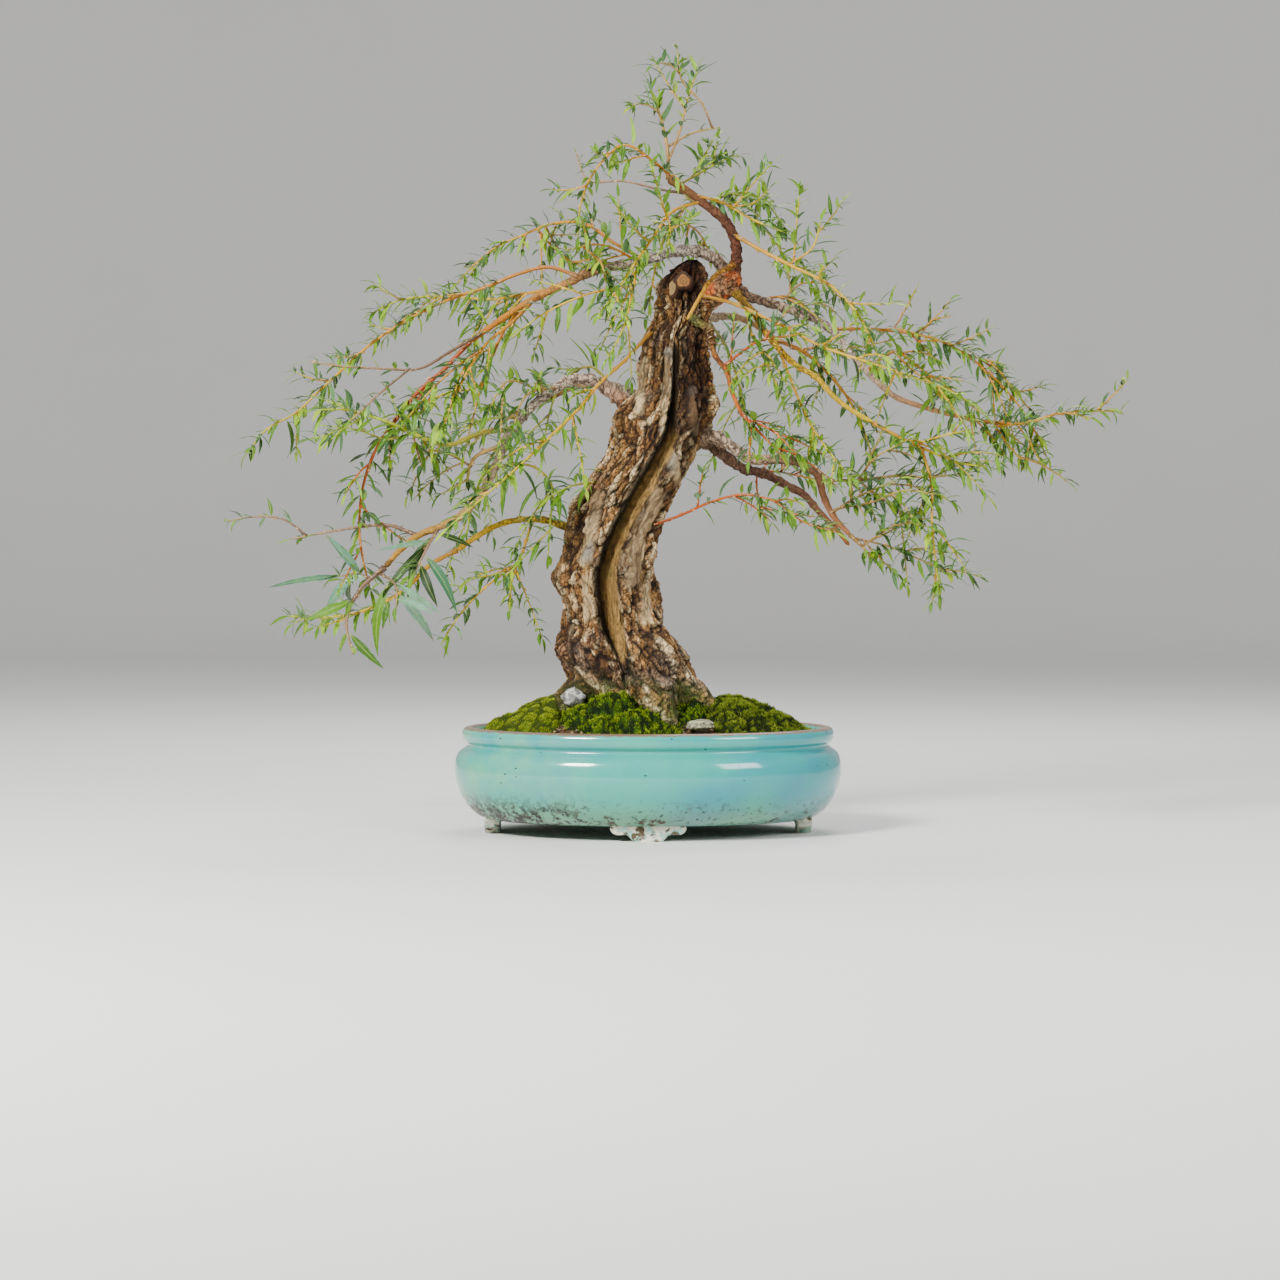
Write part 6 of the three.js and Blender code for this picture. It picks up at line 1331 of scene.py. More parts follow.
SHOOTS = {
  "shoot_top": [
    stem("leader", [-8, -10, -14], [[20, 651], [21, 668], [19, 684], [14, 706], [8, 727], [1, 746]], [2, 0.9],
      [6, "small", 0.3]),
    stem(0, [4, 12], [[20, 684], [26, 693], [44, 697], [60, 696], [71, 703]], [1.3, 0.9], [3, "bud"]),
    stem(1, [18, 26], [[62, 697], [57, 722], [43, 736], [34, 748], [31, 766], [29, 781]],
      leaves=[5, "small", 0.35]),
    stem(0, [-24, -34], [[20, 670], [29, 690], [36, 716], [42, 740], [50, 761]], [1.2, 0.8],
      [3, "small", 0.3]),
  ],
  "shoot_top_right": [
    stem("leader", [-14, -26], [[42, 638], [62, 635], [76, 627], [90, 620], [105, 611], [120, 606],
      [135, 599]], [1.7, 0.8], [6, "small"]),
    stem(0, [-4], [[83, 624], [98, 626], [110, 630], [121, 642]]),
  ],
  "shoot_top_middle": [
    stem("leader", [10, 30], [[31, 645], [40, 652], [56, 660], [70, 667], [82, 674]], [1.5, 0.8],
      [5, "small"]),
    stem(0, [44, 60], [[44, 654], [52, 668], [59, 680], [66, 692]]),
  ],
  "shoot_top_back": [
    stem("leader", [30, 64, 84], [[58, 625], [74, 634], [90, 638], [108, 634], [124, 622], [136, 604]],
      [1.6, 0.8], [6, "small"]),
  ],
  "shoot_arch_top": [
    stem("leader", [-20, -44, -60], [[34, 643], [24, 655], [10, 662], [-4, 672], [-18, 680], [-32, 678],
      [-46, 664], [-58, 648], [-66, 629], [-67, 612], [-70, 594]], [1.7, 0.8], [7, "small"]),
  ],
  "shoot_bare_left": [
    stem("leader", [10, 36, 50], [[46, 635], [30, 636], [6, 643], [-14, 648], [-40, 651], [-62, 651],
      [-74, 660], [-72, 678]], [1.5, 0.8], [4, "bud", 0.5]),
  ],
  "shoot_front_fall": [
    stem("leader", [-50, -104, -136], [[54, 628], [36, 626], [18, 614], [8, 598], [-6, 578], [-20, 558],
      [-34, 536], [-50, 516]], [1.7, 0.8], [6, "small", 0.2]),
    stem(0, [-92, -96], [[14, 615], [22, 600], [20, 584]]),
  ],
  "shoot_back_fall": [
    stem("leader", [50, 110, 150, 168], [[74, 611], [60, 622], [44, 628], [30, 620], [20, 600], [10, 574],
      [4, 546], [0, 514]], [1.8, 0.8], [7, "small"]),
    stem(0, [130, 158], [[27, 614], [44, 604], [58, 588], [66, 566]]),
  ],
  "shoot_spread_left": [
    stem("arch_left", [4, 44, 76, 90], [[-5, 571], [-21, 581], [-42, 593], [-65, 608], [-88, 609],
      [-105, 603], [-124, 596], [-148, 586], [-164, 574], [-178, 556]], [2, 0.9], [7, "small"]),
    stem(0, [80, 84], [[-101, 604], [-95, 590], [-84, 575], [-76, 563]]),
    stem(0, [64, 58], [[-112, 600], [-94, 582], [-74, 570], [-62, 562]]),
  ],
  "shoot_spread_inner": [
    stem("arch_left", [-34, -60], [[-10, 570], [-28, 580], [-44, 586], [-62, 585], [-83, 581]], [1.5, 0.8],
      [4, "small"]),
    stem(0, [-66, -70], [[-62, 585], [-50, 574], [-44, 562], [-42, 548]]),
  ],
  "shoot_long_left": [
    stem("arch_left", [-8, 18, 34, 40], [[-68, 555], [-95, 564], [-122, 560], [-145, 551], [-170, 541],
      [-196, 533], [-229, 518], [-248, 507], [-271, 492], [-302, 465], [-327, 442], [-361, 412], [-390, 397],
      [-401, 378]], [2.1, 0.9], [9, "small", 0.15], blades=[[-325, 443, -329, 414, 6, 2],
      [-361, 411, -352, 380, 6, 2], [-187, 535, -160, 505, 6, 4]]),
  ],
  "shoot_yellow_left": [
    stem("arch_left", [30, 70, 96, 110], [[-93, 543], [-112, 541], [-139, 533], [-158, 532], [-185, 534],
      [-219, 535], [-252, 530], [-276, 518]], [1.7, 0.8], [6, "small", 0.15]),
    stem(0, [84, 96], [[-127, 536], [-145, 529], [-161, 520], [-176, 508]], leaves=[3, "middle"]),
  ],
  "shoot_orange_left": [
    stem("arch_left", [-70, -104, -122], [[-111, 534], [-130, 514], [-150, 498], [-165, 484], [-178, 464],
      [-190, 440], [-200, 420], [-208, 402]], [1.9, 0.9], [5, "middle", 0.3],
      blades=[[-130, 514, -146, 468, 7, 6], [-155, 493, -160, 432, 10, 8]]),
    stem(0, [-90, -84], [[-165, 484], [-186, 470], [-204, 452], [-222, 436], [-240, 414]],
      leaves=[3, "middle"], blades=[[-185, 470, -236, 424, 12, 12]]),
  ],
  "shoot_hang_left": [
    stem("arch_left", [-6, 6, 20], [[-122, 528], [-134, 512], [-148, 496], [-157, 470], [-166, 448],
      [-186, 440], [-210, 438], [-228, 427]], [1.6, 0.8], [4, "middle", 0.3],
      blades=[[-126, 522, -112, 494, 7, 4]]),
  ],
  "shoot_brown_left": [
    stem("arch_left", [-70, -92, -104], [[-166, 499], [-186, 488], [-214, 469], [-238, 461], [-262, 463],
      [-300, 465], [-337, 470]], [1.7, 0.8], [5, "small", 0.4]),
    stem(0, [-104, -116], [[-238, 461], [-264, 441], [-286, 424], [-296, 412]]),
  ],
  "shoot_red_fall": [
    stem("arch_left", [-44, -56, -64], [[-178, 490], [-189, 478], [-203, 463], [-219, 450], [-242, 426],
      [-267, 388], [-279, 373], [-284, 349], [-288, 319], [-289, 299], [-286, 278], [-278, 243]], [2.4, 0.9],
      [6, "middle", 0.2]),
    stem(0, [-44, -30], [[-219, 450], [-228, 436], [-236, 412], [-232, 388], [-226, 366]], [1.2, 0.8],
      [4, "middle"]),
  ],
  "shoot_curtain_left": [
    stem("arch_left", [-60, -86, -100], [[-8, 570], [-13, 548], [-18, 530], [-24, 505], [-31, 487],
      [-40, 474]], [1.6, 0.8], [5, "small"]),
    stem(0, [-80, -70, -54], [[-13, 548], [-30, 543], [-53, 540], [-69, 534], [-97, 522], [-124, 504],
      [-136, 493]], [1.2, 0.8], [5, "middle"]),
  ],
  "shoot_orange_fall": [
    stem([2, -18, 498], [-60, -110, -150, -172], [[2, 496], [-17, 477], [-38, 458], [-56, 441], [-66, 428],
      [-77, 414], [-95, 398], [-120, 374], [-146, 351], [-175, 326], [-198, 306]], [1.9, 0.8],
      [8, "middle", 0.2]),
  ],
  "shoot_low_rise": [
    stem("low_left", [-60, -76], [[-89, 446], [-106, 452], [-122, 436], [-131, 416], [-137, 396]], [1.5, 0.8],
      [4, "middle", 0.2], blades=[[-106, 452, -128, 428, 6, -4], [-128, 424, -98, 400, 7, 6]]),
    stem(0, [-72, -92], [[-106, 452], [-120, 456], [-138, 452], [-152, 440], [-160, 420]],
      leaves=[3, "middle"]),
  ],
  "shoot_low_drop": [
    stem("low_left", [-50, -30, -20], [[-151, 366], [-134, 366], [-118, 366], [-99, 364], [-96, 349],
      [-97, 330], [-98, 303], [-100, 276]], [1.5, 0.8], [4, "middle", 0.3],
      blades=[[-124, 366, -106, 330, 7, 4], [-97, 361, -134, 316, 9, 6], [-98, 330, -80, 310, 9, -4],
      [-148, 366, -150, 316, 8, 10]]),
  ],
  "shoot_trunk_twig": [
    stem([-52, -14, 350], [-38, -58], [[-52, 350], [-72, 348], [-84, 340], [-96, 337]], [1.3, 0.8],
      [3, "middle", 0.3], blades=[[-58, 350, -75, 322, 7, 4]]),
  ],
  "shoot_mid_left": [
    stem("low_left", [-50, -70, -84, -90], [[-135, 404], [-150, 406], [-160, 402], [-174, 396], [-196, 388],
      [-211, 384], [-233, 399], [-254, 408], [-286, 418], [-309, 428], [-321, 431]], [3, 1],
      [6, "middle", 0.35]),
    stem(0, [-104, -112], [[-283, 416], [-302, 421], [-317, 425], [-330, 422]], leaves=[3, "middle"]),
    stem(0, [-60, -44], [[-233, 399], [-250, 392], [-274, 396], [-296, 404], [-318, 406]], [1.2, 0.8],
      [3, "middle"]),
  ],
  "shoot_mid_fork": [
    stem("low_left", [-30, -20], [[-144, 388], [-149, 390], [-158, 382], [-170, 375], [-183, 369],
      [-184, 360], [-182, 343]], [2.4, 1.2], [3, "middle", 0.5]),
    stem(0, [-10, 4], [[-183, 369], [-198, 377], [-211, 382], [-230, 380]], [1.3, 0.9], [3, "middle"]),
  ],
  "shoot_far_left": [
    stem("low_left", [-64, -52, -44], [[-229, 298], [-244, 305], [-268, 307], [-289, 305], [-311, 302],
      [-341, 296], [-357, 293]], [2, 0.9], [3, "small", 0.6]),
    stem(0, [-40, -30], [[-341, 296], [-352, 306], [-365, 313], [-382, 316], [-402, 314], [-421, 311]],
      [1.2, 0.8]),
  ],
  "shoot_low_left_tip": [
    stem("low_left", [-84, -90], [[-263, 265], [-278, 252], [-291, 239], [-299, 223], [-302, 206],
      [-298, 191], [-295, 177]], [2.6, 1], [2, "large", 0.1]),
    stem(0, [-104, -116], [[-268, 261], [-256, 252], [-250, 240], [-252, 226]], [1.3, 0.9], [3, "large"],
      blades=[[-255, 267, -272, 184, 13, 6]]),
    stem(0, [-76, -66], [[-274, 255], [-292, 258], [-308, 256]], [1.3, 0.9], [3, "large"],
      blades=[[-307, 256, -374, 249, 8, 2], [-276, 262, -307, 251, 9, 6]]),
  ],
  "shoot_low_left_mid": [
    stem("low_left", [-78, -86], [[-207, 306], [-216, 292], [-226, 276], [-232, 262]], [1.8, 0.9],
      [3, "large", 0.1], blades=[[-209, 303, -236, 252, 13, 12], [-228, 282, -265, 238, 10, 4],
      [-209, 305, -178, 290, 8, 0]]),
  ],
  "shoot_yellow_low": [
    stem("low_left_back", [70, 88, 98], [[-191, 282], [-216, 269], [-233, 252], [-248, 239], [-268, 228],
      [-289, 219], [-313, 217], [-337, 214], [-361, 216]], [2.4, 1], [6, "middle"]),
  ],
  "shoot_low_hang": [
    stem("low_left_back", [26, 20, 12], [[-115, 313], [-116, 301], [-124, 284], [-133, 267], [-136, 250],
      [-137, 236], [-139, 222]], [1.6, 0.9], [4, "small", 0.3]),
    stem(0, [34, 44, 50], [[-133, 267], [-148, 254], [-159, 247], [-176, 236], [-185, 221], [-196, 210],
      [-208, 187]], [1.3, 0.8], [5, "small", 0.3]),
    stem(0, [2], [[-133, 267], [-150, 259], [-172, 254]]),
  ],
  "shoot_back_left": [
    stem("back_left", [190, 218, 232], [[-100, 432], [-126, 416], [-146, 392], [-164, 360], [-176, 326],
      [-182, 292]], [2.4, 0.9], [9, "middle"]),
    stem(0, [220, 236], [[-126, 416], [-154, 414], [-184, 402], [-212, 382]], [1.3, 0.8], [4, "middle"]),
  ],
  "shoot_back_left_inner": [
    stem("back_left", [120, 150, 166], [[-36, 446], [-46, 462], [-66, 464], [-86, 448], [-98, 420],
      [-104, 390]], [1.7, 0.8], [6, "middle"]),
  ],
  "shoot_back_right": [
    stem("back_right", [180, 212, 230], [[128, 492], [152, 482], [176, 462], [198, 436], [214, 406],
      [224, 374]], [2.5, 0.9], [9, "small"]),
    stem(0, [206, 226], [[152, 482], [180, 484], [208, 474], [236, 456]], [1.3, 0.8], [4, "small"]),
  ],
  "shoot_back_right_inner": [
    stem("back_right", [130, 168, 190], [[62, 512], [72, 496], [84, 470], [92, 440], [96, 408]], [1.6, 0.8],
      [6, "small"]),
  ],
  "shoot_upper_right": [
    stem("leader", [-30, -60, -76, -84], [[87, 597], [107, 586], [130, 570], [153, 561], [167, 555],
      [182, 546], [194, 535], [202, 526], [212, 515], [218, 503], [230, 474], [235, 459]], [2.2, 0.9],
      [7, "small", 0.15]),
    stem(0, [-44, -38], [[143, 565], [156, 572], [163, 582], [170, 596], [174, 605], [172, 609]], [1.2, 0.8],
      [5, "small", 0.1]),
    stem(0, [-84], [[182, 546], [171, 553], [174, 562], [176, 567]], leaves=[2, "bud"]),
  ],
  "shoot_inner_right": [
    stem("main_right", [34, 62, 74], [[111, 532], [124, 537], [136, 536], [149, 531], [159, 522], [167, 511],
      [173, 502], [176, 490], [177, 475]], [1.6, 0.8], [5, "small", 0.2]),
    stem(0, [70, 84], [[136, 536], [150, 546], [162, 550], [176, 548]]),
  ],
  "shoot_high_right": [
    stem("main_right", [64, 90, 106], [[180, 504], [190, 505], [212, 503], [241, 501], [263, 498], [278, 495],
      [299, 488], [320, 477], [332, 473], [345, 472], [357, 467]], [2, 0.9], [7, "small"]),
    stem(0, [104, 116], [[248, 501], [252, 508], [255, 519], [261, 530], [269, 546]], leaves=[4, "bud", 0.3]),
    stem(0, [80, 74], [[263, 498], [269, 494], [274, 486], [279, 480], [287, 472]]),
    stem(0, [112, 126], [[275, 496], [285, 511], [294, 516], [302, 516]], leaves=[3, "bud"]),
    stem(0, [96, 84], [[310, 482], [331, 467], [345, 454], [357, 442], [369, 428], [381, 411], [392, 386],
      [398, 376]], [1.3, 0.8], [6, "small"]),
    stem(0, [124, 130], [[332, 473], [348, 462], [360, 448], [375, 430], [392, 409]], [1.2, 0.8],
      [4, "small"]),
  ],
  "shoot_yellow_long": [
    stem([52, -8, 536], [-46, -88, -118, -136], [[52, 536], [79, 530], [107, 518], [137, 505], [158, 491],
      [192, 480], [204, 474], [232, 466], [260, 456], [290, 446], [321, 430]], [1.9, 0.8], [7, "small", 0.1]),
  ],
  "shoot_wired_side": [
    stem("wired", [-60, -90], [[74, 467], [88, 479], [101, 487], [115, 491], [134, 496], [150, 497]],
      [1.4, 0.8], [4, "small"]),
  ],
  "shoot_front_hang": [
    stem("yellow_right", [-70, -124, -160], [[98, 528], [96, 512], [102, 503], [113, 491], [121, 478],
      [133, 460], [139, 447]], [1.5, 0.8], [5, "small", 0.2]),
  ],
  "shoot_long_fall": [
    stem("yellow_right", [-78, -120, -150], [[130, 484], [145, 446], [153, 428], [161, 410], [170, 397],
      [178, 384], [188, 370], [196, 361], [202, 355]], [1.6, 0.8], [6, "small", 0.2]),
  ],
  "shoot_right_fan": [
    stem("main_right", [20, 0, -14], [[218, 462], [232, 474], [240, 482], [251, 476], [261, 471], [283, 455],
      [302, 442], [320, 429], [334, 418]], [1.7, 0.8], [7, "small", 0.15]),
    stem(0, [-24, -34], [[245, 480], [262, 462], [283, 451], [297, 442]]),
    stem(0, [16, 30], [[283, 455], [300, 462], [296, 446], [283, 438], [277, 426]]),
  ],
  "shoot_right_tip": [
    stem("main_right", [54, 60, 64], [[312, 415], [340, 410], [375, 409], [392, 408], [403, 416], [417, 420],
      [434, 421], [459, 419], [473, 421]], [2.1, 0.9], [7, "small", 0.05]),
    stem(0, [40, 34], [[343, 409], [351, 396], [360, 387], [370, 376], [377, 368]], [1.2, 0.8], [4, "small"]),
    stem(0, [76, 88], [[347, 409], [360, 398], [372, 390], [386, 378]], [1.2, 0.8], [4, "small"]),
  ],
  "shoot_right_low": [
    stem("low_right_front", [-44, -66, -80], [[172, 350], [194, 350], [209, 352], [228, 355], [245, 356],
      [263, 356], [283, 355], [298, 357], [322, 360]], [1.9, 0.8], [7, "small", 0.05]),
    stem(0, [-92, -104], [[209, 352], [217, 364], [227, 374], [245, 386], [258, 391]], [1.2, 0.8],
      [5, "small"]),
    stem(0, [-48, -40], [[209, 352], [222, 343], [236, 332], [250, 322], [264, 315]]),
  ],
  "shoot_yellow_tip": [
    stem("yellow_right", [-84, -90], [[225, 409], [245, 397], [261, 391], [273, 384], [293, 377], [317, 367],
      [340, 365]], [2, 0.8], [6, "small"]),
    stem(0, [-108, -116], [[268, 387], [286, 394], [306, 399], [321, 402]]),
    stem(0, [-96, -106, -112], [[276, 383], [283, 360], [283, 336], [284, 309], [286, 286], [289, 262],
      [292, 239]], [1.4, 0.8], [7, "small", 0.1]),
  ],
  "shoot_right_under": [
    stem("low_right_front", [-70, -88], [[180, 320], [194, 318], [214, 338], [232, 344], [248, 352]],
      [1.4, 0.8], [4, "small"]),
    stem(0, [-100, -112], [[194, 318], [206, 322], [224, 330], [252, 341], [270, 341], [288, 338]]),
  ],
  "shoot_inner_low": [
    stem("low_right_back", [50, 60], [[98, 362], [116, 362], [130, 360], [142, 359], [156, 355], [166, 353]],
      [1.4, 0.8], [4, "small"]),
    stem(0, [70, 84], [[130, 360], [140, 369], [150, 377], [158, 366]]),
    stem(0, [50, 40], [[106, 362], [108, 344], [112, 330], [116, 316]], [1.2, 0.8], [3, "middle", 0.3]),
  ],
  "shoot_low_right_tip": [
    stem("low_right_front", [-64, -70], [[202, 297], [214, 286], [225, 274]], [2, 0.9], [2, "small", 0.4]),
    stem(0, [-84, -96], [[213, 287], [231, 298], [246, 306], [263, 311], [279, 314]]),
    stem(0, [-50, -44], [[206, 294], [237, 287], [269, 274], [304, 258]]),
  ],
  "shoot_red_low": [
    stem([2, -14, 306], [-50, -84, -104], [[2, 306], [33, 317], [56, 327], [79, 336], [106, 337], [124, 332],
      [141, 320], [163, 306], [186, 300]], [1.5, 0.8], [6, "small", 0.25]),
  ],
  "shoot_wired_tip": [
    stem("wired", [-84, -96], [[93, 419], [101, 409], [113, 398], [123, 389], [132, 378]], [1.8, 0.8],
      [4, "small"]),
    stem(0, [-112, -128], [[97, 415], [113, 407], [125, 400], [138, 393], [151, 375]], leaves=[4, "small"]),
  ],
}


# Leafy shoots: stems and leaves stand where the source's own rule puts them

# Ranges of length and width for each style of leaf
LEAF_STYLES = {
    "bud": ((8, 15), (3, 4.5)),
    "small": ((15, 27), (3.5, 5.5)),
    "middle": ((27, 44), (5, 8)),
    "large": ((46, 74), (9, 13)),
}
SHOOT_SIDES = 3
CLEARANCE = 0.8
LIMB_LINE_STEP = 23
STEM_STEP = 34
FREE_START = 16
# How far back or forward a stem bends at its middle to pass another shoot
BEND_TRIES = [0, 7, -7, 14, -14, 22, -22, 32, -32, 44, -44]
LEAF_TRIES = 12
FOOT_REACH = 0.9
LOWEST_TIP = 168
TRUNK_NODE = -1


class Draws:
    """The source's random numbers, which start anew for every leaf."""

    def __init__(self, shoot, stem, leaf):
        self.state = ((shoot + 1) * 7919 + (stem + 1) * 104729 + (leaf + 1) * 1299709) % 2**32
        self.between(0, 1)
        self.between(0, 1)

    def between(self, low, high):
        self.state = (self.state * 1664525 + 1013904223) % 2**32
        return low + (high - low) * self.state / 2**32


class Rods:
    """Round rods along everything built so far, to keep shoots clear of each other."""

    def __init__(self, room):
        self.start, self.end = np.zeros((room, 3)), np.zeros((room, 3))
        self.radius = np.zeros(room)
        self.node, self.stem, self.segment = (np.zeros(room, int) for _ in range(3))
        self.leaf = np.zeros(room, bool)
        self.count = 0

    def add(self, node, points, radii, stem=-1, leaf=False):
        for k in range(1, len(points)):
            n = self.count
            self.start[n], self.end[n] = points[k - 1], points[k]
            self.radius[n] = max(radii[k - 1], radii[k])
            self.node[n], self.stem[n], self.segment[n], self.leaf[n] = node, stem, k - 1, leaf
            self.count += 1

    def rooms(self, p, q):
        """The free room between a line and each rod."""
        a, b = self.start[: self.count], self.end[: self.count]
        d1, d2, r = q - p, b - a, p - a
        length, e, f = d1 @ d1, np.sum(d2 * d2, axis=1), np.sum(d2 * r, axis=1)
        c, cross = r @ d1, d2 @ d1
        spread = length * e - cross * cross
        s = np.where(spread > 1e-9, np.clip((cross * f - c * e) / np.maximum(spread, 1e-9), 0, 1), 0)
        t = np.where(e > 1e-9, (cross * s + f) / np.maximum(e, 1e-9), 0)
        outside = (t < 0) | (t > 1)
        t = np.clip(t, 0, 1)
        s = np.where(outside, np.clip((cross * t - c) / max(length, 1e-9), 0, 1), s)
        gap = np.linalg.norm(p + d1 * s[:, None] - a - d2 * t[:, None], axis=1)
        return gap - self.radius[: self.count]

    def stem_is_clear(self, node, p, q, radius, near_limb):
        """Whether a piece of stem has room, but for its own shoot and, near its foot, for the limbs."""
        others = self.node[: self.count]
        ignored = (others == node) | ((others == TRUNK_NODE) & near_limb)
        return bool(np.all(ignored | (self.rooms(p, q) > radius + CLEARANCE)))

    def leaf_is_clear(self, node, stem, segment, base, tip, width):
        """Whether a leaf has room beside other shoots, its own shoot's leaves and its stems further on."""
        start = base + (tip - base) * min(4 / np.linalg.norm(tip - base), 0.3)
        whole, outer = self.rooms(start, tip), self.rooms(base + 0.3 * (tip - base), tip)
        n = self.count
        other = self.node[:n] != node
        leaf = ~other & self.leaf[:n]
        near = ~other & ~leaf & (self.stem[:n] == stem) & (np.abs(self.segment[:n] - segment) < 2)
        radius = self.radius[:n]
        clear = np.where(other, whole > width * 0.4 + CLEARANCE,
                         np.where(leaf, outer + 0.2 * radius > width * 0.35 + 0.4,
                                  near | (whole > width * 0.35 + 0.4)))
        return bool(np.all(clear))


rods = Rods(4000)
limb_lines = {name: line(route, LIMB_LINE_STEP) for name, route in LIMBS.items()}


def nearest_on(points, across, up):
    """The place on a line that is nearest to a spot, seen from the front."""
    best, best_distance = points[0], 1e9
    for k in range(1, len(points)):
        for share in (0, 0.25, 0.5, 0.75, 1):
            point = points[k - 1] + (points[k] - points[k - 1]) * share
            distance = np.linalg.norm(spot(across, up, point[1]) - point)
            if distance < best_distance:
                best, best_distance = point, distance
    return best


def stem_line(node, route, start):
    """A stem's line, bent forward or back where it would meet another shoot."""
    straight = line(route, STEM_STEP, start[1])
    straight[0] = start
    shares = np.arange(len(straight)) / (len(straight) - 1)
    for bend in BEND_TRIES:
        points = straight.copy()
        points[:, 1] += bend * np.maximum(np.sin(np.pi * np.minimum(shares * 1.2, 1)), 0) ** 0.7
        if all(rods.stem_is_clear(node, points[k - 1], points[k], route["r"][0],
                                  np.linalg.norm(points[k - 1] - start) < FREE_START)
               for k in range(1, len(points))):
            return points
    return straight


def facet_corners(rings, segment, side, later):
    """The corners of one of the two facets that a side of a stem has in each segment."""
    low, high, after = rings[segment], rings[segment + 1], (side + 1) % SHOOT_SIDES
    return np.array([low[side], *((high[after], high[side]) if later else (low[after], high[after]))])


def facet_foot(corners, tangent):
    """The middle of the foot that a blade has in a facet, and the facet's normal."""
    middle = corners.mean(axis=0)
    foot = []
    for corner in corners:
        reach = corner - middle
        lengthwise = tangent * (reach @ tangent)
        drawn = min(FOOT_REACH / max(np.linalg.norm(lengthwise), 1e-6), 0.5)
        foot.append(middle + 0.5 * (reach - lengthwise) + lengthwise * drawn)
    return np.mean(foot, axis=0), unit(np.cross(corners[1] - corners[0], corners[2] - corners[0]))


def grow_leaf(node, stem, share, count, style, taken, draws):
    """A leaf by the rule: tries facets and directions until one is free, or gives none."""
    points, rings = stem["points"], stem["rings"]
    place = share * (len(points) - 1)
    segment = min(int(place), len(points) - 2)
    tangent = unit(points[segment + 1] - points[segment])
    long, wide = LEAF_STYLES[style]
    for attempt in range(LEAF_TRIES):
        lean, swing = draws.between(0.45, 1.05), draws.between(-0.6, 0.6)
        droop = draws.between(0, 0.55)
        length, width = draws.between(*long) * (1 - 0.3 * share), draws.between(*wide)
        sag = draws.between(0.03, 0.1)
        side = (count + attempt // 2) % SHOOT_SIDES
        later = (place - segment >= 0.5) != (attempt % 2 == 1)
        facet = 2 * (segment * SHOOT_SIDES + side) + int(later)
        if facet in taken:
            continue
        base, normal = facet_foot(facet_corners(rings, segment, side, later), tangent)
        direction = unit(tangent * lean + normal + np.cross(normal, tangent) * swing - UP * droop)
        tip = base + direction * length
        if direction @ normal > 0.4 and tip[2] > LOWEST_TIP and rods.leaf_is_clear(
                node, stem["number"], segment, base, tip, width):
            taken.add(facet)
            return {"base": base, "tip": tip, "face": UP + 0.35 * normal, "width": width, "sag": sag,
                    "share": share}
    return None


def place_leaf(stem, seen, taken):
    """A leaf that is seen in the photo, on the free facet that suits it best."""
    across, up, tip_across, tip_up, width, forward = seen
    points, rings = stem["points"], stem["rings"]
    best = None
    for segment in range(len(points) - 1):
        tangent = unit(points[segment + 1] - points[segment])
        for choice in range(2 * SHOOT_SIDES):
            facet = 2 * segment * SHOOT_SIDES + choice
            base, normal = facet_foot(facet_corners(rings, segment, choice // 2, choice % 2), tangent)
            tip = spot(tip_across, tip_up, base[1] - forward)
            facing = unit(tip - base) @ normal
            miss = np.linalg.norm(spot(across, up, base[1]) - base) + 14 * max(0, 0.75 - facing)
            if facet not in taken and facing > 0.25 and (best is None or miss < best["miss"]):
                best = {"facet": facet, "base": base, "tip": tip, "face": UP + 0.35 * normal, "width": width,
                        "sag": 0.07, "miss": miss, "share": segment / len(points)}
    taken.add(best["facet"])
    return best


def add_leaf_rod(node, leaf):
    ends = [leaf["base"] + 0.3 * (leaf["tip"] - leaf["base"]), leaf["tip"]]
    rods.add(node, ends, [leaf["width"] * 0.4] * 2, leaf=True)


def grow_shoot(routes, shoot):
    """Stems and leaves of one shoot, each leaf beside the stem it stands on."""
    stems = []
    for number, route in enumerate(routes):
        root = route["root"]
        if isinstance(root, list):
            start = np.array(root, float)
        else:
            parent = limb_lines[root] if isinstance(root, str) else stems[root]["points"]
            start = nearest_on(parent, *route["at"][0])
        points = stem_line(shoot, route, start)
        radii = along(route["r"], np.linspace(0, 1, len(points)))
        stems.append({"points": points, "radii": radii, "number": number,
                      "rings": tube_rings(points, radii, SHOOT_SIDES)})
        rods.add(shoot, points, radii, stem=number)
    for stem, route in zip(stems, routes):
        count, style, *rest = route["leaves"]
        first = rest[0] if rest else 0.12
        taken = set()
        leaves = [place_leaf(stem, seen, taken) for seen in route["blades"]]
        for leaf in leaves:
            add_leaf_rod(shoot, leaf)
        for step in range(count):
            draws = Draws(shoot, stem["number"], step)
            share = first + ((0.985 - first) * (step + 0.6)) / count
            leaf = grow_leaf(shoot, stem, share, step, style, taken, draws)
            if leaf:
                leaves.append(leaf)
                add_leaf_rod(shoot, leaf)
        stem.update(leaves=leaves, style=style, first=first)
    return stems


# Dressing of the shoots

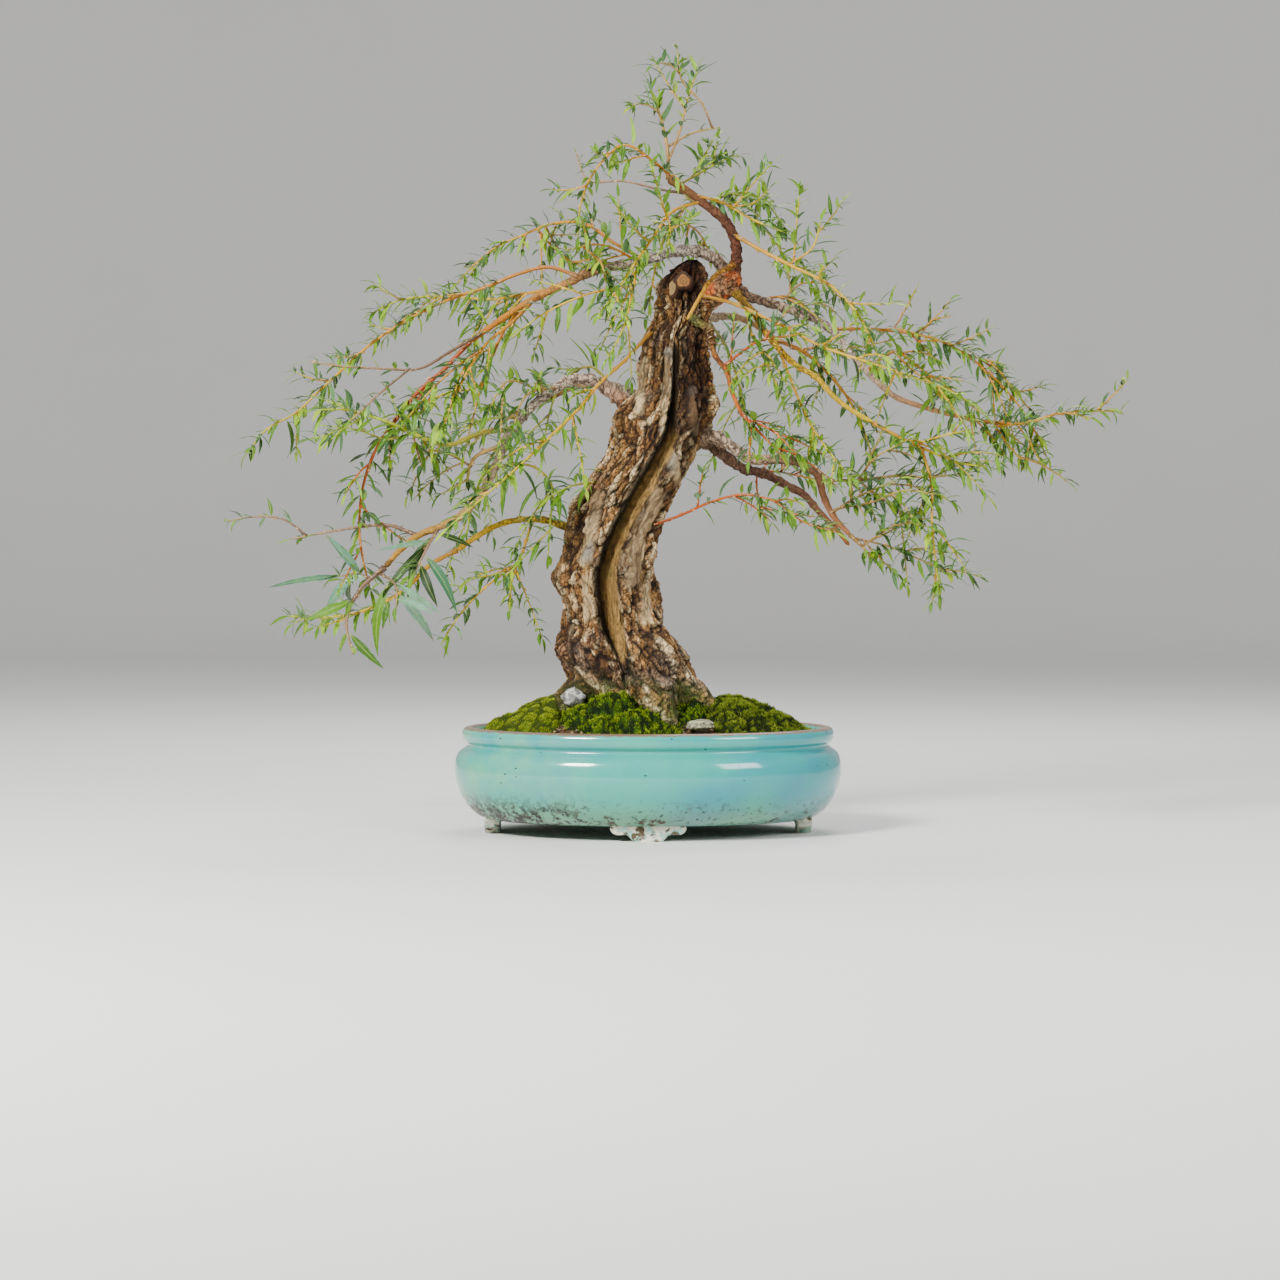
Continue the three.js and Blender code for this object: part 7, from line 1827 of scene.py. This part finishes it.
# Colours of the stems from foot to tip, and which shoots have them
STEM_TONES = {
    "yellow": ["9a6a08", "bc8a00", "b49800", "84960a"],
    "orange": ["844c08", "a86c04", "ae8000", "8e8a0c"],
    "red": ["7e3406", "a04404", "a25006", "946810"],
    "tan": ["785a2c", "96743a", "a4863e", "929430"],
    "brown": ["543c2a", "6a4e36", "7c6046", "8a7048"],
    "olive": ["686014", "847c12", "8c9814", "82a014"],
}
SHOOT_TONES = {
    "yellow": ["shoot_top_right", "shoot_front_fall", "shoot_yellow_left", "shoot_curtain_left",
               "shoot_yellow_low", "shoot_low_hang", "shoot_upper_right", "shoot_yellow_long",
               "shoot_front_hang", "shoot_long_fall", "shoot_yellow_tip", "shoot_orange_fall"],
    "orange": ["shoot_arch_top", "shoot_back_fall", "shoot_spread_left", "shoot_spread_inner",
               "shoot_long_left", "shoot_orange_left", "shoot_hang_left", "shoot_back_right",
               "shoot_inner_right", "shoot_high_right", "shoot_right_fan", "shoot_right_tip"],
    "red": ["shoot_red_fall", "shoot_wired_side", "shoot_inner_low", "shoot_red_low", "shoot_wired_tip"],
    "tan": ["shoot_top", "shoot_low_rise", "shoot_mid_fork", "shoot_right_low", "shoot_right_under",
            "shoot_low_right_tip"],
    "brown": ["shoot_bare_left", "shoot_brown_left", "shoot_far_left", "shoot_low_left_tip",
              "shoot_low_left_mid"],
}
# The share of young leaves on shoots of each kind
FRESH = {"yellow": 0.45, "orange": 0.3, "red": 0.22, "olive": 0.3, "tan": 0.25, "brown": 0.08}
OLD_LEAF = ["122c00", "224400", "386000", "547e00"]
OLD_UNDER = ["426a3c", "588450", "7ca070"]
NEW_LEAF = ["3a6600", "608a00", "92ac00"]
SILVER_LEAF = ["2c5c3a", "568468", "80a486"]
NEW_UNDER = ["5f9018", "78a428", "94b83c"]
# Extra leaves on a stem of each style: how far apart, and their lengths and widths
EXTRA_LEAVES = {
    "bud": (17, (5, 11), (1.8, 3.0)),
    "small": (7.5, (16, 37), (4.2, 7.4)),
    "middle": (8.5, (16, 44), (4.6, 8.2)),
    "large": (14, (20, 52), (5.0, 10.0)),
}
TWIG_LEAVES = (7.0, (13, 32), (3.6, 6.6))
TWIG_GAP = 42
BROWN_GAP = 2.6
STEM_PIECE = 5.2
NODE_TURN = 2.4
# The photo's large leaves face the viewer, and are a little longer and narrower than the source's
LARGE_LONGER = 0.12
LARGE_WIDTH = 0.82
SILVER_SHARE = 0.55
# Leaves end in the CAD's own box, or this far outside it
LEAF_ROOM = np.array([9.0, 7.0, 9.0])
BOX_LOW, BOX_HIGH = ((np.array(corner) - POT_CENTRE) / MM for corner in CAD_BOX)
LONG_LEAF = 26
# Rows and columns of a long leaf and of a short one
LEAF_GRIDS = {True: ([0, 0.06, 0.12, 0.21, 0.34, 0.5, 0.68, 0.85, 1.0], [-1, -0.55, 0, 0.55, 1]),
              False: ([0, 0.07, 0.15, 0.3, 0.52, 0.77, 1.0], [-1, 0, 1])}
LEAF_FACES = {}
for detail, grid in LEAF_GRIDS.items():
    grid_size = [len(shares_of_grid) for shares_of_grid in grid]
    upper_faces = sheet_faces(*grid_size, around=False)
    lower_faces = sheet_faces(*grid_size, around=False, flip=True)
    LEAF_FACES[detail] = upper_faces + [tuple(math.prod(grid_size) + i for i in face) for face in lower_faces]


def pick(codes, draw):
    """A colour between two neighbours of a list, a little lighter or darker."""
    place = draw.uniform(0, len(codes) - 1.001)
    k = int(place)
    return mix(codes[k], codes[k + 1], place - k) * draw.uniform(0.85, 1.15)


def has_room(points):
    """Whether points lie in the CAD's box with its margin, and the last one above the moss."""
    flat = np.reshape(points, (-1, 3))
    in_box = (flat > BOX_LOW - LEAF_ROOM) & (flat < BOX_HIGH + LEAF_ROOM)
    return flat[-1, 2] > LOWEST_TIP and in_box.all()


def add_leaf(skin, leaf, young, draw):
    """A folded, arched blade on a short stalk, with an upper side and a paler underside."""
    base, tip, width = leaf["base"], leaf["tip"], leaf["width"]
    length = np.linalg.norm(tip - base)
    forward = (tip - base) / length
    side = unit(np.cross(forward, leaf["face"]))
    top = np.cross(side, forward)
    is_long = length > LONG_LEAF
    s, t = np.meshgrid(*LEAF_GRIDS[is_long], indexing="ij")
    u = np.clip((s - 0.07) / 0.93, 0, 1)
    half = width * 0.56 * np.maximum(np.sin(np.pi * u**0.8), 0) ** 0.85 * (1 - 0.15 * u)
    half = np.maximum(half, 0.32 * (1 - 0.8 * s))
    fold, curl, twist = draw.uniform(0.12, 0.6), draw.uniform(0, 0.35), draw.normal(0, 0.35)
    bend, wave = draw.uniform(-0.06, 0.3), draw.uniform(0, 0.12) * (half / (width / 2))
    turn = twist * s**1.5
    lift = half * (fold * np.abs(t) - curl * t**2)
    lift = lift + wave * half * np.sin(9 * s + 4 * t + draw.uniform(0, 6))
    arch = leaf["sag"] * length * np.sin(np.pi * s)
    sway = draw.normal(0, 0.035) * length * np.sin(np.pi * s)
    out = half * t * np.sqrt(1 / (1 + fold**2))
    x = out * np.cos(turn) - lift * np.sin(turn)
    z = out * np.sin(turn) + lift * np.cos(turn)
    place = base - forward * 0.5 + forward * (s * (length + 0.5))[..., None]
    for drop in (bend, bend / 2, 0.0):
        upper = place + side * (x + sway)[..., None] + top * (z + arch - drop * length * s**2.2)[..., None]
        if has_room(upper):
            break
    else:
        if leaf.get("extra"):
            return
    thick = 0.3 * (1 - np.abs(t) ** 3) * (1 - 0.6 * s) + 0.55 * np.exp(-s * 14) * (1 - np.abs(t))
    lower = upper - top * thick[..., None]
    above = pick(SILVER_LEAF if leaf.get("silver") else NEW_LEAF if young else OLD_LEAF, draw)
    below = pick(NEW_UNDER if young else OLD_UNDER, draw)
    stalk = "a8a44a" if young else "8d9440"
    foot = smooth_step(0.14, 0.05, s)
    end = smooth_step(0.9, 1.0, s) * (draw.uniform(0, 1) < 0.2)
    tones = [mix(mix(np.broadcast_to(colour, upper.shape), stalk, foot), "7c5a2c", end)
             for colour in (above, below)]
    blade = [np.stack([t, s, np.full_like(s, under)], axis=-1) for under in (0.0, 1.0)]
    skin.add([upper, lower], LEAF_FACES[is_long], tones, blade)


class Twig:
    """The fine line of a stem, with its length and the directions along and across it."""

    def __init__(self, points, count):
        self.line, self.length = curve_points(points, count)
        self.ahead, self.side, self.other = frames(self.line)

    def piece_at(self, share):
        """The number of the piece of line that a share falls in."""
        return min(int(share * (len(self.line) - 1)), len(self.line) - 2)

    def outward(self, k, turn):
        return math.cos(turn) * self.side[k] + math.sin(turn) * self.other[k]


def add_stem(skin, points, radii, codes, draw, sides=7, buds=16.0):
    """A round twig with a swelling and a bud at every node; gives back its fine line."""
    length = np.linalg.norm(np.diff(points, axis=0), axis=1).sum()
    twig = Twig(points, max(4, round(length / STEM_PIECE)))
    fine, length = twig.line, twig.length
    shares = np.linspace(0, 1, len(fine))
    radius = along(radii, shares)
    nodes = np.arange(buds * draw.uniform(0.3, 0.9), length, buds)
    nodes = nodes + draw.uniform(-0.2, 0.2, len(nodes)) * buds
    for place in nodes:
        radius = radius * (1 + 0.22 * np.exp(-((shares * length - place) / 2.6) ** 2))
    radius = radius * (1 + 0.5 * np.exp(-shares * length / 3))
    radius[-1] *= 0.5
    rings = tube_rings(fine, radius, sides)
    tones = tones_along(codes, shares)[:, None, :] * np.ones((1, sides, 1))
    tones = tones * (1 + 0.2 * layered_noise(rings / 6.0, 2, 400))[..., None]
    skin.add(rings, tube_faces(len(fine), sides), tones)
    for number, place in enumerate(nodes):
        k = twig.piece_at(place / length)
        outward = twig.outward(k, NODE_TURN * number + draw.uniform(-0.4, 0.4))
        size = (0.65 + 0.35 * radius[k]) * draw.uniform(0.8, 1.2)
        bud_line = [fine[k] + outward * radius[k] * 0.5]
        for out, up in ((0.5, 1.0), (0.7, 2.1), (0.5, 3.2)):
            bud_line.append(fine[k] + outward * (radius[k] + out * size) + twig.ahead[k] * up * size)
        bud = tube_rings(np.array(bud_line), np.array([0.75, 0.8, 0.6, 0.12]) * size, 5)
        bud_tone = mix(tones_along(codes, np.array([shares[k]]))[0], "d0a878", 0.45)
        skin.add(bud, tube_faces(4, 5), bud_tone * draw.uniform(0.8, 1.15))
    return twig


def scatter_leaves(skin, twig, rule, first, fresh, draw):
    """Alternate leaves along a stem, smaller and younger to its tip, with tufts of two or three in places."""
    gap, long, wide = rule
    fine, length = twig.line, twig.length
    place, number = first * length + gap * draw.uniform(0.2, 1), 0
    while place < length:
        share = place / length
        k = twig.piece_at(share)
        for extra in range(1 + (draw.uniform(0, 1) < 0.5) + (draw.uniform(0, 1) < 0.25)):
            outward = twig.outward(k, NODE_TURN * number + draw.uniform(-0.5, 0.5) + 1.2 * extra)
            direction = outward + twig.ahead[k] * draw.uniform(0.3, 1.3) + UP * draw.uniform(-0.4, 0.75)
            reach = draw.uniform(*long) * (1 - 0.3 * share) * (1.0 if extra == 0 else 0.6)
            base = fine[k] + (fine[k + 1] - fine[k]) * draw.uniform(0, 1)
            tip = base + unit(direction) * reach
            if tip[2] > LOWEST_TIP:
                leaf = {"base": base, "tip": tip, "face": UP + 0.4 * outward, "extra": True,
                        "sag": draw.uniform(0.02, 0.1),
                        "width": max(draw.uniform(*wide) * (0.6 + 0.4 * reach / long[1]), 1.8)}
                add_leaf(skin, leaf, draw.uniform(0, 1) < fresh + 0.35 * share, draw)
        number += 1
        place += gap * draw.uniform(0.7, 1.4) * (1 - 0.35 * share)
    tip = fine[-1] + unit(twig.ahead[-1] - 0.2 * UP) * draw.uniform(0.3, 0.6) * long[1]
    if first < 1 and tip[2] > LOWEST_TIP:
        leaf = {"base": fine[-1], "tip": tip, "face": UP + 0.3 * twig.side[-1], "extra": True,
                "sag": 0.05, "width": wide[0]}
        add_leaf(skin, leaf, True, draw)


def add_side_twig(stems, leaves, parent, share, codes, fresh, draw):
    """A short twig with a few small leaves."""
    k = parent.piece_at(share)
    outward = parent.outward(k, draw.uniform(0, 2 * np.pi))
    heading = unit(parent.ahead[k] * draw.uniform(0.7, 1.3) + outward)
    reach, droop = draw.uniform(26, 72), draw.uniform(-0.25, 0.5)
    shares = np.linspace(0, 1, 5)[:, None]
    points = parent.line[k] + heading * reach * shares - UP * droop * reach * shares**2
    if points[-1][2] >= LOWEST_TIP + 14 and has_room(points):
        twig = add_stem(stems, points, [0.9, 0.5], codes[1:], draw, sides=5, buds=9.0)
        scatter_leaves(leaves, twig, TWIG_LEAVES, 0.12, fresh, draw)


def make_shoot(name, stems, number):
    """One shoot: its stems, the leaves of the source's rule, and the extra leaves and twigs between them."""
    draw = np.random.default_rng(1000 + number)
    kind = next((kind for kind, names in SHOOT_TONES.items() if name in names), "olive")
    codes, fresh = STEM_TONES[kind], FRESH[kind]
    stem_skin, leaf_skin = Skin(), Skin()
    for part in stems:
        radii = np.maximum(part["radii"] * 0.95, 0.6)
        twig = add_stem(stem_skin, part["points"], radii, codes, draw)
        for leaf in part["leaves"]:
            if part["style"] == "large":
                front = 0.5 * UP - np.array([draw.uniform(-0.4, 0.4), 1, 0])
                longer = leaf["tip"] + LARGE_LONGER * (leaf["tip"] - leaf["base"])
                leaf = {**leaf, "tip": longer, "width": LARGE_WIDTH * leaf["width"], "face": front,
                        "silver": draw.uniform(0, 1) < SILVER_SHARE}
            add_leaf(leaf_skin, leaf, draw.uniform(0, 1) < fresh * (0.4 + leaf["share"]), draw)
        gap, long, wide = EXTRA_LEAVES[part["style"]]
        rule = (gap * (BROWN_GAP if kind == "brown" else 1), long, wide)
        scatter_leaves(leaf_skin, twig, rule, part["first"] + 0.05, fresh, draw)
        if part["style"] != "bud" and kind != "brown":
            for place in np.arange(draw.uniform(0.1, 0.35), 0.92, TWIG_GAP / max(twig.length, TWIG_GAP)):
                if place > part["first"]:
                    add_side_twig(stem_skin, leaf_skin, twig, place, codes, fresh, draw)
    stem_skin.piece(name + "_stems", YOUNG_BARK, name, "foliage")
    leaf_skin.piece(name + "_leaves", LEAF, name, "foliage")


def grow_tree():
    """Mark the room that trunk and limbs take, then grow shoot after shoot."""
    for name, route in LIMBS.items():
        points = limb_lines[name]
        rods.add(TRUNK_NODE, points, along(route["r"], np.linspace(0, 1, len(points))))
    for below, above in zip(TRUNK_SECTIONS, TRUNK_SECTIONS[1:]):
        ends = [np.array([row[1], 0.0, row[0]]) for row in (below, above)]
        rods.add(TRUNK_NODE, ends, [0.9 * below[2], 0.9 * above[2]])
    for number, (name, routes) in enumerate(SHOOTS.items()):
        make_shoot(name, grow_shoot(routes, number), number)


# Everything is built once

make_pot()
for screen in ("drain_screen_left", "drain_screen_right"):
    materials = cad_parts[screen].data.materials
    materials.clear()
    materials.append(SCREEN)
make_soil()
for cushion_name, cushion_shape in MOSS.items():
    make_moss(cushion_name, cushion_shape)
for stone_name, stone_shape in STONES.items():
    make_stone(stone_name, stone_shape)
make_trunk_body()
make_limbs()
make_wire()
grow_tree()


# Stage, light and camera: places in metres, lens and sensor in millimetres, the camera's dip in degrees

FLOOR_SIDES = 96
FLOOR_FLAT = 4.4
FLOOR_CURVE = 1.8
FLOOR_WALL = 2.6
MIDDLE = (0.0, 0.0, 0.38)
# Soft square lamps as (name, place, size, power), all facing the middle of the tree
LAMPS = [
    ("key", (-1.3, -1.8, 1.6), 0.6, 125), ("fill", (1.6, -1.6, 1.2), 0.9, 34),
    ("rim", (0.2, 1.3, 2.0), 1.2, 40),
]
SKY = (0.95, 0.96, 1.0, 1.0)
SKY_STRENGTH = 0.62
LENS = 95.6
SENSOR = 36
CAMERA_DIP = 2.07


def make_floor():
    """A pale floor that rises far away into a low wall all round, so every side has the same ground."""
    profile = [(0.001, 0.0), (1.5, 0.0), (FLOOR_FLAT, 0.0)]
    profile += [(FLOOR_FLAT + FLOOR_CURVE * math.sin(a), FLOOR_CURVE - FLOOR_CURVE * math.cos(a))
                for a in np.linspace(0.08, math.pi / 2, 14)]
    profile.append((FLOOR_FLAT + FLOOR_CURVE, FLOOR_WALL))
    points = [(radius * math.cos(t), radius * math.sin(t), z) for radius, z in profile
              for t in circle(FLOOR_SIDES)]
    mesh = bpy.data.meshes.new("floor")
    mesh.from_pydata(points, [], sheet_faces(len(profile), FLOOR_SIDES))
    mesh.polygons.foreach_set("use_smooth", [True] * len(mesh.polygons))
    look = Look("floor_paper", Roughness=0.9, Specular_IOR_Level=0.1)
    look.feed(look.shader.inputs["Base Color"], look.blend(look.grain(0.5, 2.0), "dbdad6", "e2e1dd"))
    mesh.materials.append(look.material)
    link("floor", mesh)


make_floor()
for name, place, size, power in LAMPS:
    lamp = bpy.data.lights.new(name, "AREA")
    lamp.size, lamp.energy = size, power
    holder = link(name, lamp)
    holder.location = place
    holder.rotation_euler = (Vector(MIDDLE) - Vector(place)).to_track_quat("-Z", "Y").to_euler()
world = bpy.data.worlds.new("studio")
world.use_nodes = True
world.node_tree.nodes["Background"].inputs["Color"].default_value = SKY
world.node_tree.nodes["Background"].inputs["Strength"].default_value = SKY_STRENGTH
bpy.context.scene.world = world

lens = bpy.data.cameras.new("photo_view")
lens.lens, lens.sensor_width = LENS, SENSOR
camera = link("photo_view", lens)
camera.location = (POT_CENTRE[0] + EYE_ACROSS * MM, POT_CENTRE[1] - VIEW_DISTANCE * MM, EYE_HEIGHT * MM)
camera.rotation_euler = (math.radians(90 - CAMERA_DIP), 0, 0)
bpy.context.scene.camera = camera
